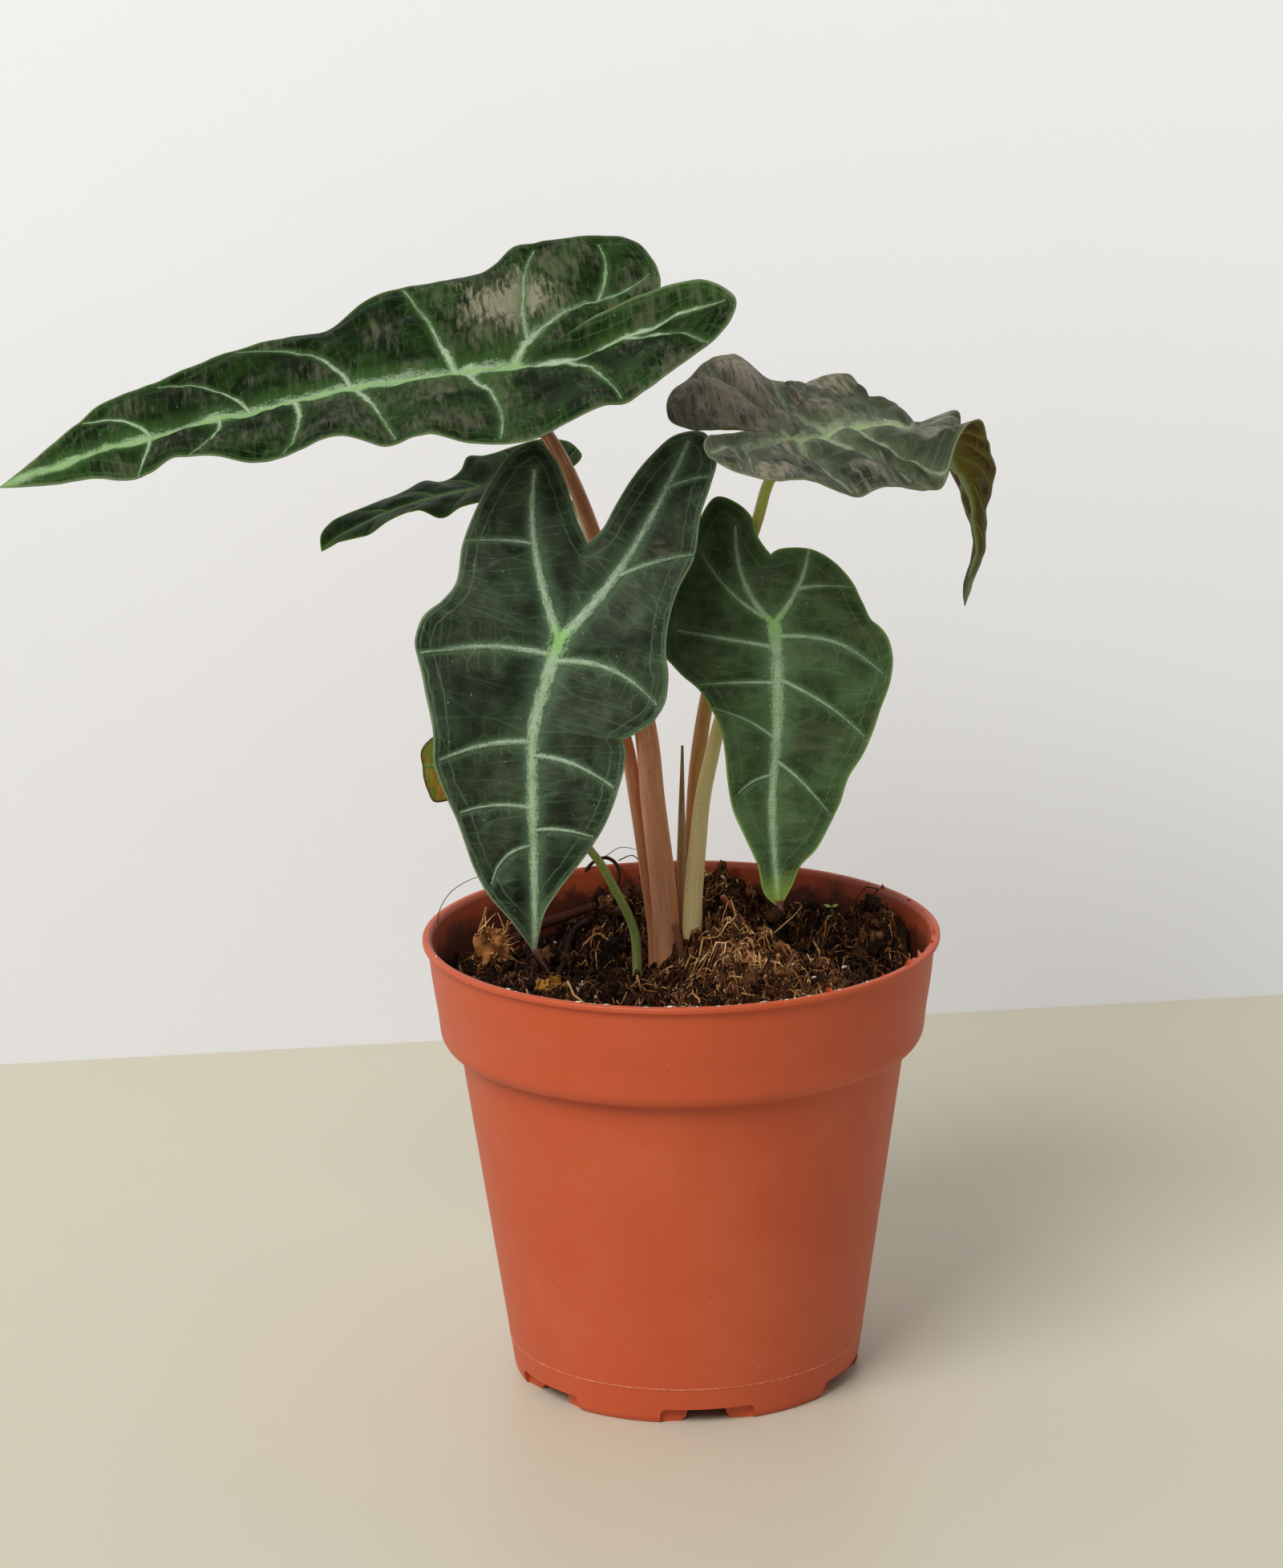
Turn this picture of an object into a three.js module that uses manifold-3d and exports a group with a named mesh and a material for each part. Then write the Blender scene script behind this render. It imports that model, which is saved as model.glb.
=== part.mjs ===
// Potted african mask plant: six arrow-shaped leaves on slender stalks, in a 12 cm nursery pot.
// Units are millimetres and +Z is up. The pieces are laid out about the pot's axis, with the
// ground at z = 0 and the viewer's side at -Y, and the whole plant is centred on its base at the end.
import * as THREE from "three";
import { mergeVertices } from "three/addons/utils/BufferGeometryUtils.js";
import Module from "manifold-3d";

const wasm = await Module();
wasm.setup();

const GAP = 0.35;
const FRONT = -Math.PI / 2;

// Colours and finishes
const finish = (color, roughness) =>
  new THREE.MeshStandardMaterial({ color, roughness, metalness: 0, side: THREE.DoubleSide });
const TERRACOTTA_PLASTIC = finish("#b9522f", 0.55);
const PEAT = finish("#3b2417", 0.95);
const BARK = finish("#8a4a24", 0.9);
const DRY_LEAF = finish("#b07a3c", 0.85);
const CORM = finish("#6d4a30", 0.85);
const DARK_BLADE = finish("#2d4a2e", 0.45);
const BRIGHT_BLADE = finish("#2f5c2f", 0.45);
const GREY_BLADE = finish("#4d5546", 0.5);
const OLD_BLADE = finish("#7d7a24", 0.6);
const RED_STALK = finish("#8d5238", 0.5);
const KHAKI_STALK = finish("#9a8558", 0.5);
const GREEN_STALK = finish("#86a04c", 0.5);

// Pot sizes
const pot = {
  rimRadius: 60,
  height: 106,
  wall: 1.1,
  footRadius: 40,
  collarFoot: 81,
  bodyTop: 52,
  floorUnder: 4.2,
  floorTop: 5.4,
  facets: 60,
};
const foot = {
  notches: 6,
  turn: THREE.MathUtils.degToRad(6.3),
  width: 21.7,
  height: 3.6,
  tabInner: 36.8,
  tabOuter: 38.0,
  webWidth: 1.2,
  gap: 8.8,
  ringInner: 38.8,
  cutInner: 30,
  cutOuter: 45,
  overlap: 0.2,
};
const drain = { holes: 6, radius: 4.5, ringRadius: 27, middleRadius: 5.5 };

// Small helpers for closed meshes and booleans
function closedGeometry(vertices, triangles) {
  const geometry = new THREE.BufferGeometry();
  geometry.setAttribute("position", new THREE.Float32BufferAttribute(vertices.flat(), 3));
  geometry.setIndex(triangles.flat());
  return geometry;
}

function toSolid(geometry) {
  const bare = geometry.clone();
  for (const name of Object.keys(bare.attributes)) {
    if (name !== "position") bare.deleteAttribute(name);
  }
  const merged = mergeVertices(bare, 1e-4);
  return new wasm.Manifold(new wasm.Mesh({
    numProp: 3,
    vertProperties: new Float32Array(merged.attributes.position.array),
    triVerts: new Uint32Array(merged.index.array),
  }));
}

function toGeometry(solid) {
  const mesh = solid.getMesh();
  const geometry = new THREE.BufferGeometry();
  geometry.setAttribute("position", new THREE.Float32BufferAttribute(mesh.vertProperties, 3));
  geometry.setIndex(Array.from(mesh.triVerts));
  return geometry;
}

function lathe(profile, facets) {
  const points = profile.map(([radius, z]) => new THREE.Vector2(radius, z));
  return new THREE.LatheGeometry(points, facets).rotateX(Math.PI / 2);
}

function postAt(radius, x, y, bottom, top, sides = 12) {
  const post = new THREE.CylinderGeometry(radius, radius, top - bottom, sides).rotateX(Math.PI / 2);
  return toSolid(post.translate(x, y, (bottom + top) / 2));
}

// Smooth interpolation of rows of numbers over increasing knots, straight beyond both ends.
function smoothRows(knots, rows) {
  const count = knots.length;
  const slope = (i, c) => (rows[i + 1][c] - rows[i][c]) / (knots[i + 1] - knots[i]);
  const tangents = rows.map((row, i) => row.map((_, c) => {
    if (count === 2) return slope(0, c);
    if (i === 0 || i === count - 1) return 0;
    const before = knots[i] - knots[i - 1];
    const after = knots[i + 1] - knots[i];
    return (slope(i - 1, c) * after + slope(i, c) * before) / (before + after);
  }));
  if (count > 2) {
    tangents[0] = rows[0].map((_, c) => 1.5 * slope(0, c) - 0.5 * tangents[1][c]);
    tangents[count - 1] = rows[0].map((_, c) => 1.5 * slope(count - 2, c) - 0.5 * tangents[count - 2][c]);
  }
  return (x) => {
    if (x <= knots[0]) return rows[0].map((value, c) => value + (x - knots[0]) * tangents[0][c]);
    const last = count - 1;
    if (x >= knots[last]) return rows[last].map((value, c) => value + (x - knots[last]) * tangents[last][c]);
    let i = 0;
    while (x > knots[i + 1]) i += 1;
    const h = knots[i + 1] - knots[i];
    const t = (x - knots[i]) / h;
    const a = 2 * t ** 3 - 3 * t ** 2 + 1;
    const b = (t ** 3 - 2 * t ** 2 + t) * h;
    const d = (t ** 3 - t ** 2) * h;
    return rows[i].map((value, c) =>
      a * value + b * tangents[i][c] + (1 - a) * rows[i + 1][c] + d * tangents[i + 1][c]);
  };
}

function chordKnots(rows, columns, power = 1) {
  const knots = [0];
  for (let i = 1; i < rows.length; i += 1) {
    const squares = rows[i].slice(0, columns).map((value, c) => (value - rows[i - 1][c]) ** 2);
    knots.push(knots[i - 1] + Math.sqrt(squares.reduce((sum, value) => sum + value, 0)) ** power);
  }
  return knots;
}

// Pot: one turned shell with a beaded rim, a wide collar, a raised drained floor and a notched foot
const bodyTaper = (pot.bodyTop - pot.footRadius - 0.5) / pot.collarFoot;
const bodyRadius = (z) => pot.footRadius + 0.5 + bodyTaper * z;
const collarOuter = [[53.5, 81], [55.2, 81.7], [56.2, 83.5], [56.9, 89.4], [57.5, 93], [58.3, 99], [58.7, 104]];
const innerLedge = 82.1;
const collarInner = (z) => 55.1 + (z - 83.6) * 0.122;

function potProfile() {
  const beadUnder = pot.height - 1.7;
  return [
    [0, pot.floorUnder], [foot.ringInner, pot.floorUnder], [foot.ringInner, 0], [pot.footRadius, 0],
    [bodyRadius(1.4), 1.4], [bodyRadius(8.5), 8.5], [bodyRadius(8.8) + 0.15, 8.8], [bodyRadius(9.1), 9.1],
    [bodyRadius(pot.collarFoot), pot.collarFoot],
    ...collarOuter,
    [59.5, beadUnder + 0.1], [pot.rimRadius, beadUnder + 0.6], [pot.rimRadius, pot.height - 0.5],
    [59.5, pot.height], [58.4, pot.height], [collarInner(105.2), 105.2],
    [collarInner(95), 95], [collarInner(83.6), 83.6], [54.4, 82.5], [53.6, innerLedge],
    [bodyRadius(pot.collarFoot) - pot.wall + 0.1, innerLedge],
    [bodyRadius(80) - pot.wall, 80], [bodyRadius(pot.floorTop) - pot.wall, pot.floorTop],
    [0, pot.floorTop],
  ];
}

function ringSolid(inner, outer, bottom, top) {
  return toSolid(lathe([[inner, bottom], [outer, bottom], [outer, top], [inner, top], [inner, bottom]], pot.facets));
}

function footBlock(angle, width, inner, outer, height) {
  const block = new THREE.BoxGeometry(outer - inner, width, height);
  return toSolid(block.translate((inner + outer) / 2, 0, height / 2).rotateZ(angle));
}

function buildPot() {
  let solid = toSolid(lathe(potProfile(), pot.facets));
  const blockTop = pot.floorUnder + foot.overlap;
  const tabRing = ringSolid(foot.tabInner, foot.ringInner + 2 * foot.overlap, 0, blockTop);
  for (let i = 0; i < foot.notches; i += 1) {
    const angle = FRONT + foot.turn + (i * 2 * Math.PI) / foot.notches;
    const sector = footBlock(angle, foot.width + 2 * foot.webWidth, foot.cutInner, foot.cutOuter, blockTop);
    const outerCut = footBlock(angle, foot.width, foot.tabOuter, foot.cutOuter, foot.height);
    const middleCut = footBlock(angle, foot.gap, foot.cutInner, foot.cutOuter, foot.height);
    solid = solid.add(tabRing.intersect(sector)).subtract(outerCut).subtract(middleCut);
  }
  for (let i = 0; i < drain.holes; i += 1) {
    const angle = FRONT + foot.turn + ((i + 0.5) * 2 * Math.PI) / drain.holes;
    const [x, y] = [Math.cos(angle) * drain.ringRadius, Math.sin(angle) * drain.ringRadius];
    solid = solid.subtract(postAt(drain.radius, x, y, 0, pot.floorTop + 1));
  }
  return toGeometry(solid.subtract(postAt(drain.middleRadius, 0, 0, 0, pot.floorTop + 1)));
}

// Soil: a plug that fills the pot, with a lumpy top: [x, y, height, reach] of each lump
const SOIL_LEVEL = 92;
const soilMesh = { rings: 9, spread: 0.625, edgeProbe: 56 };
const lumps = [
  [16, -18, 10, 12], [4, -26, 6, 9], [30, -20, 6, 9], [48, 8, 9, 11], [34, 30, 6, 13], [10, 44, 6, 14],
  [-10, -34, 4, 8], [22, 4, 5, 9], [-38, 22, 2.5, 8], [-30, -22, 3.5, 9], [-20, 20, -3, 13], [-34, 40, -3, 12],
  [-44, -6, 2, 7], [-17, -8, 2, 6], [38, -34, 4, 8], [12, 20, 3.5, 8],
];
const grain = (x, y) =>
  0.8 * Math.sin(0.83 * x + 1.7 * Math.sin(0.31 * y)) * Math.cos(0.71 * y + 1.3) +
  0.6 * Math.sin(1.37 * y + 0.9 * Math.sin(0.57 * x)) * Math.cos(1.13 * x - 0.6);
function soilHeight(x, y) {
  const mounds = lumps.map(([cx, cy, height, reach]) =>
    height * Math.exp(-((x - cx) ** 2 + (y - cy) ** 2) / reach ** 2));
  return SOIL_LEVEL + mounds.reduce((sum, value) => sum + value, 0) + grain(x, y);
}

function buildSoilPlug() {
  const { rings, spread, edgeProbe } = soilMesh;
  const wallStations = [
    [collarInner(84) - GAP, 84], [53.9 - GAP, 82.9], [50.9 - GAP, innerLedge + GAP],
    [bodyRadius(79.6) - pot.wall - GAP, 79.6],
    [bodyRadius(pot.floorTop) - pot.wall - GAP, pot.floorTop + GAP],
  ];
  const vertices = [[0, 0, soilHeight(0, 0)]];
  const around = pot.facets;
  const ringCount = rings + wallStations.length;
  for (let ring = 1; ring <= rings; ring += 1) {
    for (let i = 0; i < around; i += 1) {
      const angle = (i / around) * 2 * Math.PI;
      const edgeHeight = soilHeight(edgeProbe * Math.sin(angle), edgeProbe * Math.cos(angle));
      const radius = (collarInner(edgeHeight) - GAP) * (ring / rings) ** spread;
      const [x, y] = [radius * Math.sin(angle), radius * Math.cos(angle)];
      vertices.push([x, y, soilHeight(x, y)]);
    }
  }
  for (const [radius, z] of wallStations) {
    for (let i = 0; i < around; i += 1) {
      const angle = (i / around) * 2 * Math.PI;
      vertices.push([radius * Math.sin(angle), radius * Math.cos(angle), z]);
    }
  }
  vertices.push([0, 0, pot.floorTop + GAP]);
  const triangles = [];
  const at = (ring, i) => 1 + (ring - 1) * around + (i % around);
  const bottom = vertices.length - 1;
  for (let i = 0; i < around; i += 1) {
    triangles.push([0, at(1, i + 1), at(1, i)]);
    for (let ring = 1; ring < ringCount; ring += 1) {
      triangles.push([at(ring, i), at(ring, i + 1), at(ring + 1, i)]);
      triangles.push([at(ring, i + 1), at(ring + 1, i + 1), at(ring + 1, i)]);
    }
    triangles.push([at(ringCount, i), at(ringCount, i + 1), bottom]);
  }
  return toSolid(closedGeometry(vertices, triangles));
}

// Corm: the short fleshy stem hidden in the soil, which every stalk grows from
const corm = { x: -3, y: 10.5, top: 79, radius: 12.5 };
function cormSolid(grow) {
  const profile = [
    [0, corm.top - 16 - grow], [5.5 + grow, corm.top - 15 - grow], [10.5 + grow, corm.top - 10],
    [corm.radius + grow, corm.top - 4], [corm.radius - 0.6 + grow, corm.top + grow], [0, corm.top + grow],
  ];
  return toSolid(lathe(profile, 20).translate(corm.x, corm.y, 0));
}

// Leaf blades. A blade is drawn flat, in millimetres along its midrib from the joint (along),
// across it (across, positive on the right when seen from the joint with the upper face up) and
// lifted off the flat (lift), and is then laid over its bent and folded midrib.
const BLADE_THICKNESS = 0.8;
const RIB_DEPTH = 1.1;

class Blade {
  constructor({ spine, right, left, sinus, rightLobe, leftLobe, rightShoulder, leftShoulder }) {
    const points = spine.map((station) => station.at);
    const knots = chordKnots(points, 3);
    this.knots = knots.map((knot) => knot - knots[1]);
    this.length = this.knots[this.knots.length - 1];
    this.midrib = smoothRows(this.knots, points);
    this.facing = smoothRows(this.knots, spine.map((station) =>
      new THREE.Vector3(...station.face).normalize().toArray()));
    this.folding = smoothRows(this.knots, spine.map((station) => station.fold));
    this.sides = [
      { margin: right, lobe: rightLobe, shoulder: rightShoulder },
      { margin: left, lobe: leftLobe, shoulder: leftShoulder },
    ];
    this.sinus = sinus;
  }

  frameAt(along) {
    const centre = new THREE.Vector3(...this.midrib(along));
    const ahead = new THREE.Vector3(...this.midrib(along + 0.5));
    const tangent = ahead.sub(new THREE.Vector3(...this.midrib(along - 0.5))).normalize();
    const normal = new THREE.Vector3(...this.facing(along));
    normal.addScaledVector(tangent, -normal.dot(tangent)).normalize();
    return { centre, normal, lateral: tangent.cross(normal) };
  }

  place(along, across, lift) {
    const { centre, normal, lateral } = this.frameAt(along);
    const fold = THREE.MathUtils.degToRad(this.folding(along)[across < 0 ? 0 : 1]);
    return centre.addScaledVector(lateral, across * Math.cos(fold))
      .addScaledVector(normal, Math.abs(across) * Math.sin(fold) + lift);
  }

  seat(depth) {
    const { centre, normal } = this.frameAt(0);
    return centre.addScaledVector(normal, -depth);
  }

  // Panels between a vein and the margin: rows of [vein point, margin point, rib depth]
  panels(midribRows, lobeRows) {
    return this.sides.flatMap(({ margin, lobe, shoulder }) => {
      const points = [[this.length, 0, 0], ...margin, this.sinus];
      const raw = chordKnots(points, 2, 0.8);
      const knots = raw.map((knot) => knot / raw[raw.length - 1]);
      const edge = smoothRows(knots, points);
      const tip = points[lobe];
      const lobeVein = (w) => [tip[0] * w, tip[1] * w, tip[2] * w ** 1.5];
      const outer = [];
      for (let i = 0; i <= midribRows; i += 1) {
        const w = i / midribRows;
        const vein = [this.length * (1 - w), 0, 0];
        outer.push([vein, i === 0 ? vein : edge(knots[shoulder] * w), RIB_DEPTH * w]);
      }
      for (let i = 1; i <= lobeRows; i += 1) {
        const w = i / lobeRows;
        outer.push([lobeVein(w), edge(knots[shoulder] + (knots[lobe] - knots[shoulder]) * w), RIB_DEPTH * (1 - w)]);
      }
      const inner = [];
      for (let i = 0; i <= lobeRows; i += 1) {
        const w = i / lobeRows;
        inner.push([lobeVein(w), edge(1 + (knots[lobe] - 1) * w), RIB_DEPTH * (1 - w)]);
      }
      return [outer, inner];
    });
  }

  geometry({ midribRows = 16, lobeRows = 8, columns = 4 } = {}) {
    const points = [];
    const ids = new Map();
    const faces = [];
    const vertexFor = (along, across, lift, rib) => {
      const key = [along, across].map((value) => Math.round(value * 1000) + 0).join();
      if (!ids.has(key)) {
        ids.set(key, points.length);
        points.push({ flat: [across, along], at: this.place(along, across, lift), rib, normal: new THREE.Vector3() });
      }
      return ids.get(key);
    };
    for (const rows of this.panels(midribRows, lobeRows)) {
      const grid = rows.map(([vein, margin, rib]) => Array.from({ length: columns + 1 }, (_, j) => {
        const v = j / columns;
        const [along, across] = [0, 1].map((c) => vein[c] + (margin[c] - vein[c]) * v);
        return vertexFor(along, across, vein[2] + (margin[2] - vein[2]) * v ** 1.6, j === 0 ? rib : 0);
      }));
      for (let i = 0; i + 1 < grid.length; i += 1) {
        for (let j = 0; j < columns; j += 1) {
          const [a, b, c, d] = [grid[i][j], grid[i + 1][j], grid[i + 1][j + 1], grid[i][j + 1]];
          for (const face of [[a, b, c], [a, c, d]]) {
            if (new Set(face).size === 3) faces.push(this.turnedUp(face, points));
          }
        }
      }
    }
    return this.thicken(points, faces);
  }

  turnedUp(face, points) {
    const [p, q, r] = face.map((id) => points[id].flat);
    const area = (q[0] - p[0]) * (r[1] - p[1]) - (q[1] - p[1]) * (r[0] - p[0]);
    return area > 0 ? face : [face[0], face[2], face[1]];
  }

  thicken(points, faces) {
    const edges = new Map();
    for (const [a, b, c] of faces) {
      const side = points[b].at.clone().sub(points[a].at);
      const normal = side.cross(points[c].at.clone().sub(points[a].at));
      for (const id of [a, b, c]) points[id].normal.add(normal);
      for (const [from, to] of [[a, b], [b, c], [c, a]]) {
        if (!edges.delete(`${to},${from}`)) edges.set(`${from},${to}`, [from, to]);
      }
    }
    const half = BLADE_THICKNESS / 2;
    const offset = (point, distance) => point.at.clone().addScaledVector(point.normal, distance).toArray();
    for (const point of points) point.normal.normalize();
    const upper = points.map((point) => offset(point, half));
    const lower = points.map((point) => offset(point, -half - point.rib));
    const under = points.length;
    const triangles = faces.flatMap(([a, b, c]) => [[a, b, c], [under + a, under + c, under + b]]);
    for (const [from, to] of edges.values()) {
      triangles.push([from, under + from, to], [to, under + from, under + to]);
    }
    return closedGeometry([...upper, ...lower], triangles);
  }
}

const station = (at, face, fold) => ({ at, face, fold });
const UPWARD = [-0.15, -0.28, 0.95];

// The largest leaf, held nearly level, pointing to the left
const largeLeft = new Blade({
  spine: [
    station([0, 2, 245.5], UPWARD, [9, 9]), station([-36, 0, 238.5], UPWARD, [9, 9]),
    station([-51.5, -1, 237], UPWARD, [9, 9]), station([-69, -2, 235], UPWARD, [9, 9]),
    station([-87, -3, 231.5], UPWARD, [9, 9]), station([-105.5, -4, 227.5], UPWARD, [9, 9]),
    station([-128.5, -5, 222], UPWARD, [9, 9]), station([-152.5, -6, 214.5], UPWARD, [9, 9]),
  ],
  right: [
    [112, 2.5, 1], [101, 8, 2.5], [94, 13, 3.2], [88, 16, 2.4], [80, 19, 1.6], [73, 21, 1.6], [62.5, 25, 0.8],
    [54.5, 27, 0], [45.5, 29, -1.8], [40, 30, -2.7], [36, 32, -1.8], [32, 33, 0.4], [26.5, 35, 1.3], [18, 38, 0.2],
    [11, 40, -0.8], [3.5, 42, -1], [0, 43, 0.1], [-4.5, 44.5, 2.5], [-10.5, 46, 2], [-17, 47, 0.8], [-26.5, 47, -0.5],
    [-31, 45, -1], [-35, 40, -1.3], [-36.5, 34, -1], [-37.3, 28, -1], [-36.5, 21, -1], [-30, 13.5, -2], [-21, 8, -1],
  ],
  left: [
    [112, -2.5, -2], [98.5, -6, -3.8], [90.5, -12, -4.5], [83.5, -16, -3], [78, -19, 0.1], [73, -22, 0.6],
    [67, -26, -0.3], [59.5, -29, -2.5], [51, -31, -1.9], [44.5, -33, 0.7], [40, -35, 1], [30.5, -38, -2.3],
    [23, -40, -0.2], [20.5, -41, 0.2], [14, -43, -2], [7, -44, -3], [-2, -45, -2.8], [-8.5, -45, -0.6],
    [-17, -44, 1.4], [-22.5, -42, 0.5], [-32.5, -38, 3.3], [-41.5, -33, 5.7], [-48.5, -26, 8], [-51.3, -18, 10.4],
    [-50, -13, 12.2], [-46, -8, 13.5], [-39, -4, 13.4], [-28, -0.5, 10.8], [-19, 1.8, 7.5],
  ],
  sinus: [-13, 4.5, 3],
  rightLobe: 24, leftLobe: 24, rightShoulder: 15, leftShoulder: 16,
});

// The front leaf, hanging with its face to the viewer
const front = new Blade({
  spine: [
    station([-19, -14, 222.5], [0.08, -0.93, 0.4], [4, 4]), station([-26.5, -28, 182], [0.05, -0.96, 0.28], [6, 6]),
    station([-29.5, -31, 173.5], [0.05, -0.97, 0.22], [7, 7]), station([-32.5, -33, 163.5], [0.05, -0.98, 0.15], [8, 8]),
    station([-33, -34.5, 154], [0.05, -0.98, 0.12], [8, 8]), station([-33, -35.5, 136.5], [0.05, -0.99, 0.08], [9, 9]),
    station([-33, -34, 110.5], [0.05, -0.99, 0], [10, 10]),
  ],
  right: [
    [63.5, 6, 0.5], [57.5, 10.5, 0.8], [51.5, 13.5, 0], [40.5, 17, -0.8], [28, 22, 0.5], [22, 22.5, 1.2],
    [17, 26, -0.5], [10.5, 30.5, -1], [6, 30.8, 0.5], [0, 28, 1.2], [-6, 25.7, 0.5], [-18, 25.7, -0.8],
    [-32, 22, 0.5], [-41, 17, 0.5], [-43.8, 12, 0], [-41, 8.2, 0], [-36, 5, 0.6], [-28, 1.5, 0.5],
  ],
  left: [
    [68, -1, 0], [63, -2.2, 0.3], [58, -5, 0.6], [49, -12, -0.5], [42.5, -16, 0.6], [35, -19, 0.8], [25.5, -21, -0.6],
    [19.5, -20, 0.8], [14.5, -22.7, 0.6], [10.5, -25.8, -0.8], [6, -26.7, 0.2], [1.5, -25.8, 1], [-3.5, -23.5, 1.2],
    [-9.5, -22.7, 0.2], [-16, -23.5, -0.8], [-22, -25.7, 0.4], [-31.5, -26, 1], [-38, -27.5, 0.5], [-44, -28.3, 0],
    [-49.5, -25, 0], [-48.5, -18.8, 0], [-43.5, -13.8, 0.5], [-37.5, -9.8, 0.8], [-31, -6.7, 0.8], [-25.7, -4.5, 0.4],
  ],
  sinus: [-22.6, -1.8, 0],
  rightLobe: 15, leftLobe: 20, rightShoulder: 9, leftShoulder: 12,
});

// The brighter leaf behind it, hanging to the right
const brightRight = new Blade({
  spine: [
    station([26, 4, 203.5], [-0.05, -0.88, 0.45], [4, 4]), station([22, -4, 179.5], [-0.05, -0.95, 0.3], [5, 5]),
    station([22.5, -6, 172], [-0.03, -0.96, 0.25], [5, 5]), station([22.5, -9, 160.5], [0, -0.97, 0.2], [6, 6]),
    station([21, -13, 138], [0, -0.98, 0.15], [7, 7]), station([22.5, -15, 115.5], [0, -0.99, 0.1], [8, 8]),
  ],
  right: [
    [62, 3, 0], [54.5, 4.2, 0.3], [48, 6.6, 0.5], [42.5, 9, -0.4], [36.7, 10.4, 0.4], [30.6, 11.5, 0.6],
    [24.6, 13, -0.5], [19.5, 15.3, 0.5], [15, 18, 0.4], [11, 22, 0], [6, 25, 0], [-2, 26, 0.5], [-10, 24, 0],
    [-18, 20.5, 0], [-25.5, 17, 0.5], [-25, 12, 0.6], [-23, 8.5, 0.4], [-18.7, 5.8, 0.2],
  ],
  left: [
    [60, -3.6, 0], [56, -5.6, 0.3], [52, -9.6, 0.6], [46, -13.2, -0.4], [40.7, -15.3, 0.5], [33, -17.2, 0.8],
    [28.4, -19.8, -0.5], [18.8, -23.5, 0.3], [13, -25.7, 0.5], [8.5, -26.3, 0], [6, -25.7, 0.3], [0.6, -22.5, 0.6],
    [-6.7, -19.9, -0.3], [-12.3, -16.9, 0.3], [-16.5, -12, 0.5], [-18.3, -7, 0.5], [-18, -2.5, 0.3], [-16.9, 1, 0],
  ],
  sinus: [-15.6, 2.4, 0],
  rightLobe: 15, leftLobe: 15, rightShoulder: 11, leftShoulder: 9,
});

// The high grey-green leaf at the right, whose tip has curled over and hangs
const curledRight = new Blade({
  spine: [
    station([2.5, -17, 227], [0, -0.12, 1], [0, 0]), station([27.5, -8, 223], [0, -0.12, 1], [0, 0]),
    station([39.5, -4, 225], [0, -0.1, 1], [0, 0]), station([52.5, 3, 223], [0.1, -0.1, 1], [0, 0]),
    station([61.5, 10, 218.5], [0.5, 0.2, 0.8], [0, 5]), station([67, 13, 210.5], [0.85, 0.45, 0.3], [5, 8]),
    station([69.5, 14, 199], [0.85, 0.5, 0.1], [10, 10]), station([70, 13, 189.5], [0.85, 0.5, 0.1], [15, 15]),
    station([67, 10, 179.5], [0.85, 0.5, 0.2], [20, 20]),
  ],
  right: [
    [76, 2, -3], [67.5, 4, -1.5], [59, 7, -1.8], [52, 10, -1], [46, 13, 1], [37, 16, 4], [30.3, 19, 8.3],
    [27.3, 21, 7], [25, 23, 3.5], [23, 26, -3], [21, 28, -5.6], [17, 29, -6.5], [12.3, 30, -6], [8.2, 31.5, -4],
    [2.2, 33, -3.2], [-2.7, 34, -1.3], [-7.5, 34, 0.6], [-12.7, 34, 1.4], [-18.5, 33, 0.2], [-22.7, 31, 0],
    [-26.3, 28, 0], [-28.5, 23, 0.2], [-29, 18, 1], [-27.5, 13, 2.3], [-21.3, 8, 3], [-14, 4, 3.6],
  ],
  left: [
    [78.4, -2, -1.3], [70.7, -4, 0], [66.7, -6, 1.6], [61, -9, 2.5], [56, -12, 2.6], [52.4, -14, 3],
    [48.5, -18, 11], [46.5, -20, 13], [45.5, -22, 8], [44, -24, 1.5], [40.3, -26, 1.8], [38.4, -28, 1.8],
    [34.6, -30, 4], [31.3, -31, 4.7], [24, -32, 2.9], [18.3, -33, 1.2], [10.5, -33, 2.3], [4.4, -32, 5.4],
    [-0.5, -31, 10], [-11, -29, 11.5], [-15, -27, 10.9], [-19.2, -24, 7], [-24.2, -20, 4.4], [-26.8, -15, 1.7],
    [-26.8, -10, -0.2], [-23.8, -6, -0.4], [-19.3, -4, 0.6], [-15.5, -3, 2.4],
  ],
  sinus: [-8, 0.5, 2.2],
  rightLobe: 23, leftLobe: 21, rightShoulder: 15, leftShoulder: 17,
});

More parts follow.
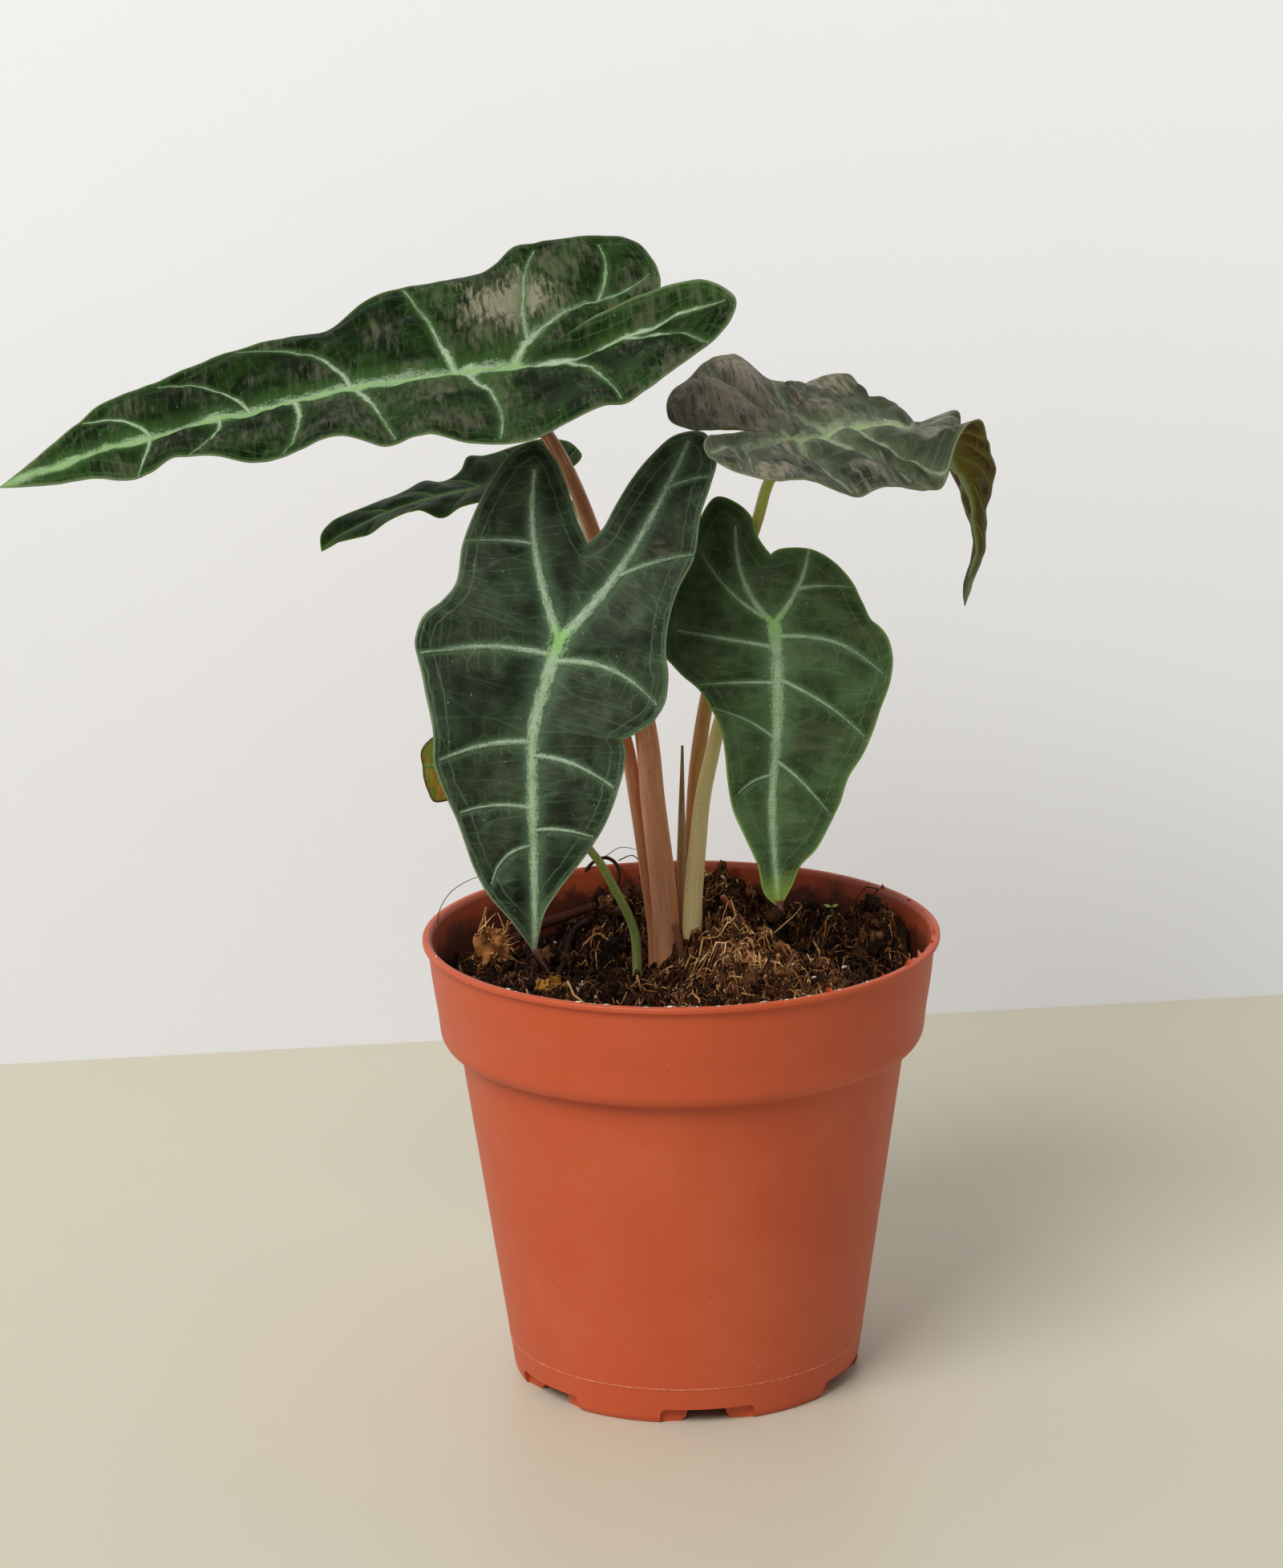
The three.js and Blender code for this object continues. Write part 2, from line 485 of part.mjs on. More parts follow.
// The narrow leaf behind the front one, seen nearly edge-on
const narrowBehind = new Blade({
  spine: [
    station([-21.5, 25, 211], [0.1, 0.02, 1], [6, 0]), station([-31.5, 28, 208.5], [0.1, 0.02, 1], [6, 0]),
    station([-43.5, 30, 205.5], [0.1, 0.02, 1], [6, 0]), station([-58, 30, 202.5], [0, 0.02, 1], [6, 0]),
    station([-72.5, 28, 197.5], [-0.15, 0.02, 1], [6, 0]), station([-82.5, 25, 192], [-0.3, 0, 1], [6, 0]),
  ],
  right: [
    [52.5, 3, 2.3], [49, 5, 3], [44.5, 7, 2.7], [40, 8.5, 2], [31, 11, 1.6], [26.5, 12.5, 2.2], [24, 13, 1.2],
    [18.7, 14.5, 3], [17.4, 15.5, 5.2], [14, 16, 5], [8, 16.5, 6], [3.5, 16, 6.6], [-3.3, 13, 5.8], [-7, 9, 4.3],
    [-9.3, 5, 2], [-8, 2, 0.5],
  ],
  left: [
    [52, -2.4, 0], [46, -5, -1.5], [43.5, -6, -2], [37.5, -7.5, -1], [29, -10, -1], [25, -11, -4], [18.5, -12, -2.5],
    [12.5, -13, -2.5], [6.5, -14, -2.5], [-1.5, -14, -3], [-7.5, -12, -3.5], [-10.5, -7.5, -2.5], [-8, -3, -1],
  ],
  sinus: [-5, 0.5, 0],
  rightLobe: 15, leftLobe: 12, rightShoulder: 11, leftShoulder: 9,
});

// The small yellowing leaf low behind the front one, with its tip dried off square
const smallOld = new Blade({
  spine: [
    station([-27, -15, 150.5], [0, -0.95, 0.3], [6, 6]), station([-37.5, -15, 150], [0, -0.95, 0.3], [6, 6]),
    station([-47.5, -16, 150], [0, -0.95, 0.3], [6, 6]), station([-58, -18, 151], [0, -0.95, 0.3], [6, 6]),
  ],
  right: [
    [21.3, 3.5, 0], [19.3, 6.3, 0.3], [13, 9, 0], [5, 10.5, -0.4], [-3, 10, 0], [-9, 7.5, 0], [-10, 4, 0],
    [-7.5, 1.5, 0],
  ],
  left: [
    [20.6, -2.5, 0], [19.6, -5.5, 0], [18.2, -8, 0], [14, -7.6, 0.4], [5, -9.5, -0.4], [-3, -10, 0], [-9, -7.5, 0],
    [-10, -4, 0], [-7.5, -1.5, 0],
  ],
  sinus: [-5.5, 0, 0],
  rightLobe: 6, leftLobe: 7, rightShoulder: 4, leftShoulder: 5,
});

// Stalks: tapered round tubes that stand on the corm, rise through the soil and end under a blade
const STALK_FOOT = corm.top + GAP;
const SOIL_EXIT = 101;
const SEAT_DEPTH = BLADE_THICKNESS / 2 + RIB_DEPTH + GAP;
const SEAT_RUN = 4;
const STALK_STEPS = 20;
const stalks = {
  large_left: {
    blade: largeLeft, foot: [-3.2, 9], radii: [3.1, 3, 2.5, 1.8, 1.5], sides: 9, paint: RED_STALK,
    route: [[-4, 9, 115], [-6, 8.5, 134.5], [-7.5, 8, 152], [-12.5, 7, 174], [-19, 5, 199.5], [-26, 3, 217.5]],
  },
  front: {
    blade: front, foot: [-5.9, 14.4], radii: [1.9, 1.8, 1.7, 1.5, 1.3], sides: 8, paint: RED_STALK,
    route: [[-7.2, 13.4, 113], [-9.6, 12.4, 132], [-11.8, 9.5, 147], [-15.3, -1, 161.5], [-20, -13, 173.5]],
  },
  bright_right: {
    blade: brightRight, foot: [2.6, 6.5], radii: [2.6, 2.3, 1.9, 1.5, 1.2], sides: 8, paint: KHAKI_STALK,
    route: [[3, 6.5, 112], [4.2, 6, 125], [5.5, 5.5, 136.5], [7.5, 4.5, 146], [10, 4, 156], [14.5, 3, 167.5]],
  },
  curled_right: {
    blade: curledRight, foot: [2.9, 16], radii: [2.1, 2, 1.7, 1.4, 1.2], sides: 8, paint: RED_STALK,
    route: [
      [2.9, 15.8, 113], [3.6, 15.2, 131], [4.5, 15, 142.5], [6.5, 14, 156], [10, 12.5, 172], [14, 10.5, 186.5],
      [18.5, 8, 200.5], [21.8, 2.5, 212],
    ],
  },
  narrow_behind: {
    blade: narrowBehind, foot: [-2.2, 18.4], radii: [1.5, 1.4, 1.2, 1.1, 1], sides: 7, paint: GREEN_STALK,
    route: [[-3, 18.5, 112.5], [-6, 19, 132], [-9.5, 21, 151], [-14.5, 25, 175], [-19.5, 29, 192], [-23.5, 30, 200.5]],
  },
  small_old: {
    blade: smallOld, foot: [-10.4, 3], radii: [1.2, 1.1, 1, 0.9, 0.8], sides: 7, paint: GREEN_STALK,
    route: [
      [-11, 3, 105.5], [-13.2, 2, 111.5], [-16, 0.8, 117.5], [-18.2, 0, 122], [-20.8, -1, 126],
      [-26.5, -5, 135], [-32.5, -8, 143],
    ],
  },
};
const sheath = {
  foot: [0.7, 12.1], radii: [1.3, 1.3, 1.3, 0.8, 0.3], middle: [0.5, 11.8, 122], tip: [0.9, 10.6, 147.5],
  sides: 7, steps: 12,
};

function sweptTube(points, radii, sides, steps) {
  const curve = new THREE.CatmullRomCurve3(points.map((point) => new THREE.Vector3(...point)));
  const frames = curve.computeFrenetFrames(steps, false);
  const radiusAt = smoothRows(radii.map((_, i) => i / (radii.length - 1)), radii.map((radius) => [radius]));
  const vertices = [];
  for (let i = 0; i <= steps; i += 1) {
    const centre = curve.getPointAt(i / steps);
    const radius = radiusAt(i / steps)[0];
    for (let j = 0; j < sides; j += 1) {
      const angle = (j / sides) * 2 * Math.PI;
      vertices.push(centre.clone()
        .addScaledVector(frames.normals[i], radius * Math.cos(angle))
        .addScaledVector(frames.binormals[i], radius * Math.sin(angle)).toArray());
    }
  }
  vertices.push(curve.getPointAt(0).toArray(), curve.getPointAt(1).toArray());
  const [start, end] = [vertices.length - 2, vertices.length - 1];
  const at = (i, j) => i * sides + (j % sides);
  const triangles = [];
  for (let j = 0; j < sides; j += 1) {
    triangles.push([start, at(0, j + 1), at(0, j)], [end, at(steps, j), at(steps, j + 1)]);
    for (let i = 0; i < steps; i += 1) {
      triangles.push([at(i, j), at(i, j + 1), at(i + 1, j)], [at(i, j + 1), at(i + 1, j + 1), at(i + 1, j)]);
    }
  }
  return closedGeometry(vertices, triangles);
}

function buildStalk({ blade, foot: [x, y], radii, sides, route }) {
  const upper = [blade.seat(SEAT_DEPTH + SEAT_RUN).toArray(), blade.seat(SEAT_DEPTH).toArray()];
  const points = [[x, y, STALK_FOOT], [x, y, SOIL_EXIT], ...route, ...upper];
  return sweptTube(points, radii, sides, STALK_STEPS);
}

function buildSheath() {
  const [x, y] = sheath.foot;
  const points = [[x, y, STALK_FOOT], [x, y, SOIL_EXIT], sheath.middle, sheath.tip];
  return sweptTube(points, sheath.radii, sheath.sides, sheath.steps);
}

// Litter that lies on the soil: a chip of bark and a curled scrap of dry leaf
const barkChip = { x: -44, y: 18, sink: 1.5, size: [3.4, 2.4, 4.2] };
const dryScrap = { x: -30.5, y: 0, sink: 0.4, length: 7, width: 4.6, thickness: 0.8 };

function barkGeometry(grow) {
  const chip = new THREE.DodecahedronGeometry(1, 0);
  const [width, depth, height] = barkChip.size;
  chip.scale(width + grow, depth + grow, height + grow).rotateY(0.35).rotateZ(0.6);
  return chip.translate(barkChip.x, barkChip.y, soilHeight(barkChip.x, barkChip.y) + barkChip.sink);
}

function scrapGeometry(grow) {
  const across = 6;
  const outline = new THREE.Shape();
  const curl = (i) => (i / across - 0.5) * dryScrap.width;
  const rise = (i) => 1.6 * (i / across - 0.5) ** 2 * dryScrap.width;
  const half = dryScrap.thickness / 2 + grow;
  outline.moveTo(curl(0) - grow, rise(0) - half);
  for (let i = 1; i <= across; i += 1) outline.lineTo(curl(i) + (i === across ? grow : 0), rise(i) - half);
  for (let i = across; i >= 0; i -= 1) outline.lineTo(curl(i) + grow * Math.sign(i - across / 2), rise(i) + half);
  const length = dryScrap.length + 2 * grow;
  const scrap = new THREE.ExtrudeGeometry(outline, { depth: length, bevelEnabled: false });
  scrap.translate(0, 0, -length / 2).rotateX(Math.PI / 2).rotateZ(1.1);
  return scrap.translate(dryScrap.x, dryScrap.y, soilHeight(dryScrap.x, dryScrap.y) + dryScrap.sink);
}

function buildSoil() {
  let soil = buildSoilPlug().subtract(cormSolid(GAP));
  const feet = Object.values(stalks).map(({ foot: [x, y], radii }) => [x, y, radii[0]]);
  feet.push([...sheath.foot, sheath.radii[0]]);
  const sides = 10;
  const cornerRatio = Math.cos(Math.PI / sides);
  for (const [x, y, radius] of feet) {
    const clear = (radius + GAP) / cornerRatio;
    soil = soil.subtract(postAt(clear, x, y, corm.top - 1, pot.height + 10, sides));
  }
  soil = soil.subtract(toSolid(barkGeometry(GAP))).subtract(toSolid(scrapGeometry(GAP)));
  return toGeometry(soil);
}

// Assembly
const plant = new THREE.Group();
function addPiece(name, geometry, material) {
  const mesh = new THREE.Mesh(geometry, material);
  mesh.name = name;
  plant.add(mesh);
}

addPiece("pot", buildPot(), TERRACOTTA_PLASTIC);
addPiece("soil", buildSoil(), PEAT);
addPiece("corm", toGeometry(cormSolid(0)), CORM);
addPiece("bark_chip", barkGeometry(0), BARK);
addPiece("dry_leaf_scrap", scrapGeometry(0), DRY_LEAF);
addPiece("young_sheath", buildSheath(), KHAKI_STALK);
for (const [name, stalk] of Object.entries(stalks)) addPiece(`stalk_${name}`, buildStalk(stalk), stalk.paint);
addPiece("blade_large_left", largeLeft.geometry(), DARK_BLADE);
addPiece("blade_front", front.geometry(), DARK_BLADE);
addPiece("blade_bright_right", brightRight.geometry(), BRIGHT_BLADE);
addPiece("blade_curled_right", curledRight.geometry(), GREY_BLADE);
addPiece("blade_narrow_behind", narrowBehind.geometry({ midribRows: 18, lobeRows: 5, columns: 3 }), DARK_BLADE);
addPiece("blade_small_old", smallOld.geometry({ midribRows: 8, lobeRows: 4, columns: 3 }), OLD_BLADE);

// The origin is the middle of the whole plant's plan, on the ground
const bounds = new THREE.Box3().setFromObject(plant);
const middle = bounds.getCenter(new THREE.Vector3());
for (const mesh of plant.children) mesh.geometry.translate(-middle.x, -middle.y, -bounds.min.z);

export default plant;
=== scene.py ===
"""Potted african mask plant: six arrow-shaped leaves with pale veins, in a nursery pot.

Every piece is laid out in millimetres about the pot's axis, with the ground at z = 0 and the
viewer's side at -Y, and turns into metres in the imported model's frame when its mesh is made.
"""

import logging
import math
from dataclasses import dataclass, field
from enum import Enum
from typing import Sequence

import bmesh
import bpy
import numpy as np
from mathutils import Matrix, Vector


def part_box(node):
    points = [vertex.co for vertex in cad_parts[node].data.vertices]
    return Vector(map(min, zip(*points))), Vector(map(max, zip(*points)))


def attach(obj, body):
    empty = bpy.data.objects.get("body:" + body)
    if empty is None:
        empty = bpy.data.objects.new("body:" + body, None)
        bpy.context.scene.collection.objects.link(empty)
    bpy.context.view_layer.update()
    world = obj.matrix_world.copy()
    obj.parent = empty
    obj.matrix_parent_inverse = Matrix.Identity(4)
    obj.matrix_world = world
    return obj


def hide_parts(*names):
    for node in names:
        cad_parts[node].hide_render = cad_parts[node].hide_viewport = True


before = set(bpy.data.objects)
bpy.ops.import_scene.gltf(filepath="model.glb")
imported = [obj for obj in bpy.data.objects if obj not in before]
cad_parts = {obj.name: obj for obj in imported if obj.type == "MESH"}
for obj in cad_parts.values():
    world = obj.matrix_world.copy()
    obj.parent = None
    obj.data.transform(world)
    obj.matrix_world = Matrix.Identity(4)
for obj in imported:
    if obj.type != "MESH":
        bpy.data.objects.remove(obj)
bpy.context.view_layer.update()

log = logging.getLogger("mask_plant")

MM = 0.001
POT_LOW, POT_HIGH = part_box("pot")
AXIS = np.array([(POT_LOW.x + POT_HIGH.x) / 2, (POT_LOW.y + POT_HIGH.y) / 2, 0.0])
WHITE = (1.0, 1.0, 1.0, 1.0)
BLACK = (0.0, 0.0, 0.0, 1.0)
SOOT = (0.03, 0.012, 0.006, 1.0)
# Farther than any point of a blade lies from a vein or from the margin, in mm
FAR = 60.0
# The place and the size of a spot of painted sheen on a blade that has none
NO_SHEEN_AND_STAIN_SPOT = (0.0, 0.0, 0.01)

Pair = tuple[float, float]
Triple = tuple[float, float, float]
Colour = tuple[float, float, float]
Point = Triple | np.ndarray
Socket = bpy.types.NodeSocket


class Slot(Enum):
    """The record's material slots."""

    POT = "pot_plastic"
    PEAT = "peat"
    BARK = "bark"
    DRY_LEAF = "dry_leaf"
    CORM = "corm_skin"
    LEAF_DARK = "leaf_dark"
    LEAF_BRIGHT = "leaf_bright"
    LEAF_GREY = "leaf_grey"
    LEAF_OLD = "leaf_old"
    STALK_RED = "stalk_red"
    STALK_KHAKI = "stalk_khaki"
    STALK_GREEN = "stalk_green"


def to_frame(points: np.ndarray) -> np.ndarray:
    """Turns millimetres about the pot's axis into metres in the model's frame."""
    return np.asarray(points, float) * MM + AXIS


def linear(red: int, green: int, blue: int) -> tuple[float, float, float, float]:
    """Turns an 8-bit display colour into a linear one with full alpha.

    Args:
        red: Red, from 0 to 255.
        green: Green, from 0 to 255.
        blue: Blue, from 0 to 255.

    Returns:
        The linear red, green, blue and alpha.
    """
    channels = [value / 255 for value in (red, green, blue)]
    curved = [v / 12.92 if v <= 0.04045 else ((v + 0.055) / 1.055) ** 2.4 for v in channels]
    return (*curved, 1.0)


def unit(vectors: np.ndarray) -> np.ndarray:
    """Scales vectors in the last axis to length one."""
    return vectors / np.maximum(np.linalg.norm(vectors, axis=-1, keepdims=True), 1e-12)


def smoothstep(low: float, high: float, values: np.ndarray) -> np.ndarray:
    """Rises smoothly from 0 at low to 1 at high."""
    t = np.clip((values - low) / (high - low), 0.0, 1.0)
    return t * t * (3 - 2 * t)


def ripple(x: np.ndarray, y: np.ndarray, seed: int, size: float, octaves: int = 3) -> np.ndarray:
    """Gives a smooth random relief between about -1 and 1 from turned sine waves.

    Args:
        x: First coordinates, in mm.
        y: Second coordinates, in mm.
        seed: Seed of the waves' directions and phases.
        size: Length of the largest waves, in mm.
        octaves: Number of layers, each half the size of the one before.

    Returns:
        One height per point.
    """
    draw = np.random.default_rng(seed)
    total = np.zeros_like(np.asarray(x, float))
    for octave in range(octaves):
        layer = np.zeros_like(total)
        for _ in range(6):
            turn = draw.uniform(0, 2 * math.pi)
            phase = draw.uniform(0, 2 * math.pi)
            wave = 2 * math.pi * 2**octave / (size * draw.uniform(0.7, 1.4))
            layer += np.sin(wave * (x * math.cos(turn) + y * math.sin(turn)) + phase)
        total += layer * 0.32 / 2**octave
    return total


class SmoothRows:
    """Cubic Hermite interpolation of rows of numbers, straight beyond both ends."""

    def __init__(self, knots: Sequence[float], rows: Sequence[Sequence[float]]) -> None:
        """Sets the tangents.

        Args:
            knots: Increasing places of the rows.
            rows: The numbers at each place.
        """
        self.knots = np.asarray(knots, float)
        self.rows = np.asarray(rows, float)
        steps = np.diff(self.knots)[:, None]
        slopes = np.diff(self.rows, axis=0) / steps
        self.tangents = np.empty_like(self.rows)
        middle = (slopes[:-1] * steps[1:] + slopes[1:] * steps[:-1]) / (steps[:-1] + steps[1:])
        self.tangents[1:-1] = middle
        self.tangents[0] = 1.5 * slopes[0] - 0.5 * self.tangents[1]
        self.tangents[-1] = 1.5 * slopes[-1] - 0.5 * self.tangents[-2]

    def __call__(self, places: np.ndarray) -> np.ndarray:
        """Gives the smooth rows at the given places.

        Args:
            places: Where to read the curve.

        Returns:
            One row for each place, in a new last axis.
        """
        x = np.asarray(places, float)
        i = np.clip(np.searchsorted(self.knots, x, side="right") - 1, 0, len(self.knots) - 2)
        h = self.knots[i + 1] - self.knots[i]
        u = np.clip((x - self.knots[i]) / h, 0.0, 1.0)[..., None]
        h = h[..., None]
        a = 2 * u**3 - 3 * u**2 + 1
        b = (u**3 - 2 * u**2 + u) * h
        d = (u**3 - u**2) * h
        ends = a * self.rows[i] + (1 - a) * self.rows[i + 1]
        inside = ends + b * self.tangents[i] + d * self.tangents[i + 1]
        before = np.minimum(x - self.knots[0], 0.0)[..., None]
        after = np.maximum(x - self.knots[-1], 0.0)[..., None]
        return inside + before * self.tangents[0] + after * self.tangents[-1]


def chord_knots(points: np.ndarray, power: float = 1.0) -> np.ndarray:
    """Adds up the chords between points, each raised to a power, from zero."""
    chords = np.linalg.norm(np.diff(np.asarray(points, float), axis=0), axis=1) ** power
    return np.concatenate([[0.0], np.cumsum(chords)])


def cells(rows: int, columns: int, wrap: bool = True) -> tuple[np.ndarray, ...]:
    """Gives the four corners of each cell of a grid of points, going round the cell.

    Args:
        rows: Number of rows of points.
        columns: Number of points in a row.
        wrap: Whether a row's last point is joined to its first.

    Returns:
        The indices of the first, second, third and fourth corners.
    """
    i, j = np.meshgrid(np.arange(rows - 1), np.arange(columns if wrap else columns - 1), indexing="ij")
    a = (i * columns + j).ravel()
    b = (i * columns + (j + 1) % columns).ravel()
    return a, b, b + columns, a + columns


def split_cells(a: np.ndarray, b: np.ndarray, c: np.ndarray, d: np.ndarray) -> np.ndarray:
    """Splits cells into triangles from their first corner to their third."""
    return np.concatenate([np.stack([a, b, c], 1), np.stack([a, c, d], 1)])


def tube_faces(stations: int, sides: int) -> np.ndarray:
    """Gives the triangles of one closed tube: its wall and its two flat ends.

    Args:
        stations: Number of rings along the tube.
        sides: Number of points in a ring.

    Returns:
        The triangles, as indices of points.
    """
    fan = np.arange(1, sides - 1)
    start = np.stack([0 * fan, fan + 1, fan], 1)
    end = np.stack([0 * fan, fan, fan + 1], 1) + (stations - 1) * sides
    return np.concatenate([split_cells(*cells(stations, sides)), start, end])


def centre_fans(rings: int, around: int) -> np.ndarray:
    """Gives the triangles from the first and last ring to the two centre points that follow them.

    Args:
        rings: Number of rings.
        around: Number of points in a ring.

    Returns:
        The triangles, as indices of points.
    """
    ring = np.arange(around)
    after = (ring + 1) % around
    last = (rings - 1) * around
    first_centre = 0 * ring + rings * around
    start = np.stack([first_centre, ring, after], 1)
    end = np.stack([first_centre + 1, last + after, last + ring], 1)
    return np.concatenate([start, end])


@dataclass
class MeshSketch:
    """Vertices, faces and material indices gathered in mm before they become one mesh."""

    points: list[np.ndarray] = field(default_factory=list)
    faces: list[np.ndarray] = field(default_factory=list)
    marks: list[np.ndarray] = field(default_factory=list)
    values: dict[str, list[np.ndarray]] = field(default_factory=dict)
    count: int = 0

    def add(
        self, points: np.ndarray, faces: np.ndarray, mark: int = 0, **values: np.ndarray | float
    ) -> None:
        """Adds one closed shape.

        Args:
            points: Its vertices, in mm.
            faces: Its faces, as indices of its own vertices, all with as many corners.
            mark: Material index of its faces.
            values: A number or a vector for each vertex, or one number for all, by attribute name.
        """
        self.points.append(np.asarray(points, float))
        self.faces.append(np.asarray(faces, int) + self.count)
        self.marks.append(np.full(len(faces), mark))
        for name, value in values.items():
            rows = np.asarray(value, float)
            if rows.ndim == 0:
                rows = np.full(len(points), rows)
            self.values.setdefault(name, []).append(rows)
        self.count += len(points)

    def build(self, name: str, smooth: bool = True) -> bpy.types.Object:
        """Makes the mesh object.

        Args:
            name: Name of the object and its mesh.
            smooth: Whether its faces are shaded smooth.

        Returns:
            The new object, linked to the scene.
        """
        mesh = bpy.data.meshes.new(name)
        faces = [face for block in self.faces for face in block.tolist()]
        mesh.from_pydata(to_frame(np.concatenate(self.points)).tolist(), [], faces)
        mesh.polygons.foreach_set("material_index", np.concatenate(self.marks).astype(np.int32))
        mesh.polygons.foreach_set("use_smooth", np.full(len(faces), smooth))
        for key, blocks in self.values.items():
            rows = np.concatenate(blocks)
            kind = "FLOAT_VECTOR" if rows.ndim == 2 else "FLOAT"
            layer = mesh.attributes.new(key, kind, "POINT")
            layer.data.foreach_set("vector" if rows.ndim == 2 else "value", rows.astype(np.float32).ravel())
        mesh.update()
        made = bpy.data.objects.new(name, mesh)
        bpy.context.scene.collection.objects.link(made)
        return made


def settle(
    piece: bpy.types.Object, slot: Slot, materials: Sequence[bpy.types.Material], *nodes: str
) -> None:
    """Dresses a piece, lets it ride on the plant and names the nodes that it stands for.

    Args:
        piece: The mesh object.
        slot: The record's slot that its finish belongs to; not used.
        materials: Materials in the order of the piece's material indices.
        nodes: CAD nodes that the piece replaces.
    """
    for material in materials:
        piece.data.materials.append(material)
    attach(piece, "root")
    if nodes:
        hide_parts(*nodes)
    log.info("%s: %d faces", piece.name, len(piece.data.polygons))


def tubes(
    paths: np.ndarray, radii: np.ndarray, sides: int, reference: Triple = (0.0, 0.0, 1.0)
) -> tuple[np.ndarray, np.ndarray]:
    """Sweeps round closed tubes along many paths at once.

    Args:
        paths: Points in mm, shaped (tube, station, 3).
        radii: Radius in mm at each station, shaped (tube, station).
        sides: Number of sides of each tube.
        reference: A direction that no path runs along.

    Returns:
        Vertices and triangles of all the tubes.
    """
    count, stations, _ = paths.shape
    tangents = unit(np.gradient(paths, axis=1))
    first = unit(np.cross(tangents, np.asarray(reference)))
    second = np.cross(tangents, first)
    turn = np.arange(sides) * 2 * math.pi / sides
    ring = first[:, :, None] * np.cos(turn)[:, None] + second[:, :, None] * np.sin(turn)[:, None]
    points = paths[:, :, None] + ring * radii[:, :, None, None]
    shifts = np.arange(count)[:, None, None] * stations * sides
    return points.reshape(-1, 3), (tube_faces(stations, sides) + shifts).reshape(-1, 3)


def centripetal(points: Sequence[Point], samples: int) -> np.ndarray:
    """Draws a centripetal Catmull-Rom curve through points, evenly spaced along its length.

    Args:
        points: Points on the curve, in mm.
        samples: Number of points to return.

    Returns:
        The points along the curve.
    """
    inner = np.asarray(points, float)
    rows = np.concatenate([[2 * inner[0] - inner[1]], inner, [2 * inner[-1] - inner[-2]]])
    dense = []
    for p0, p1, p2, p3 in zip(rows, rows[1:], rows[2:], rows[3:]):
        t0, t1, t2, t3 = np.concatenate(
            [[0.0], np.cumsum([np.linalg.norm(q - p) ** 0.5 for p, q in ((p0, p1), (p1, p2), (p2, p3))])]
        )
        t = np.linspace(t1, t2, 24, endpoint=False)[:, None]
        a1 = (t1 - t) / (t1 - t0) * p0 + (t - t0) / (t1 - t0) * p1
        a2 = (t2 - t) / (t2 - t1) * p1 + (t - t1) / (t2 - t1) * p2
        a3 = (t3 - t) / (t3 - t2) * p2 + (t - t2) / (t3 - t2) * p3
        b1 = (t2 - t) / (t2 - t0) * a1 + (t - t0) / (t2 - t0) * a2
        b2 = (t3 - t) / (t3 - t1) * a2 + (t - t1) / (t3 - t1) * a3
        dense.append((t2 - t) / (t2 - t1) * b1 + (t - t1) / (t2 - t1) * b2)
    curve = np.concatenate([*dense, inner[-1:]])
    length = chord_knots(curve)
    wanted = np.linspace(0, length[-1], samples)
    return np.stack([np.interp(wanted, length, curve[:, axis]) for axis in range(3)], 1)


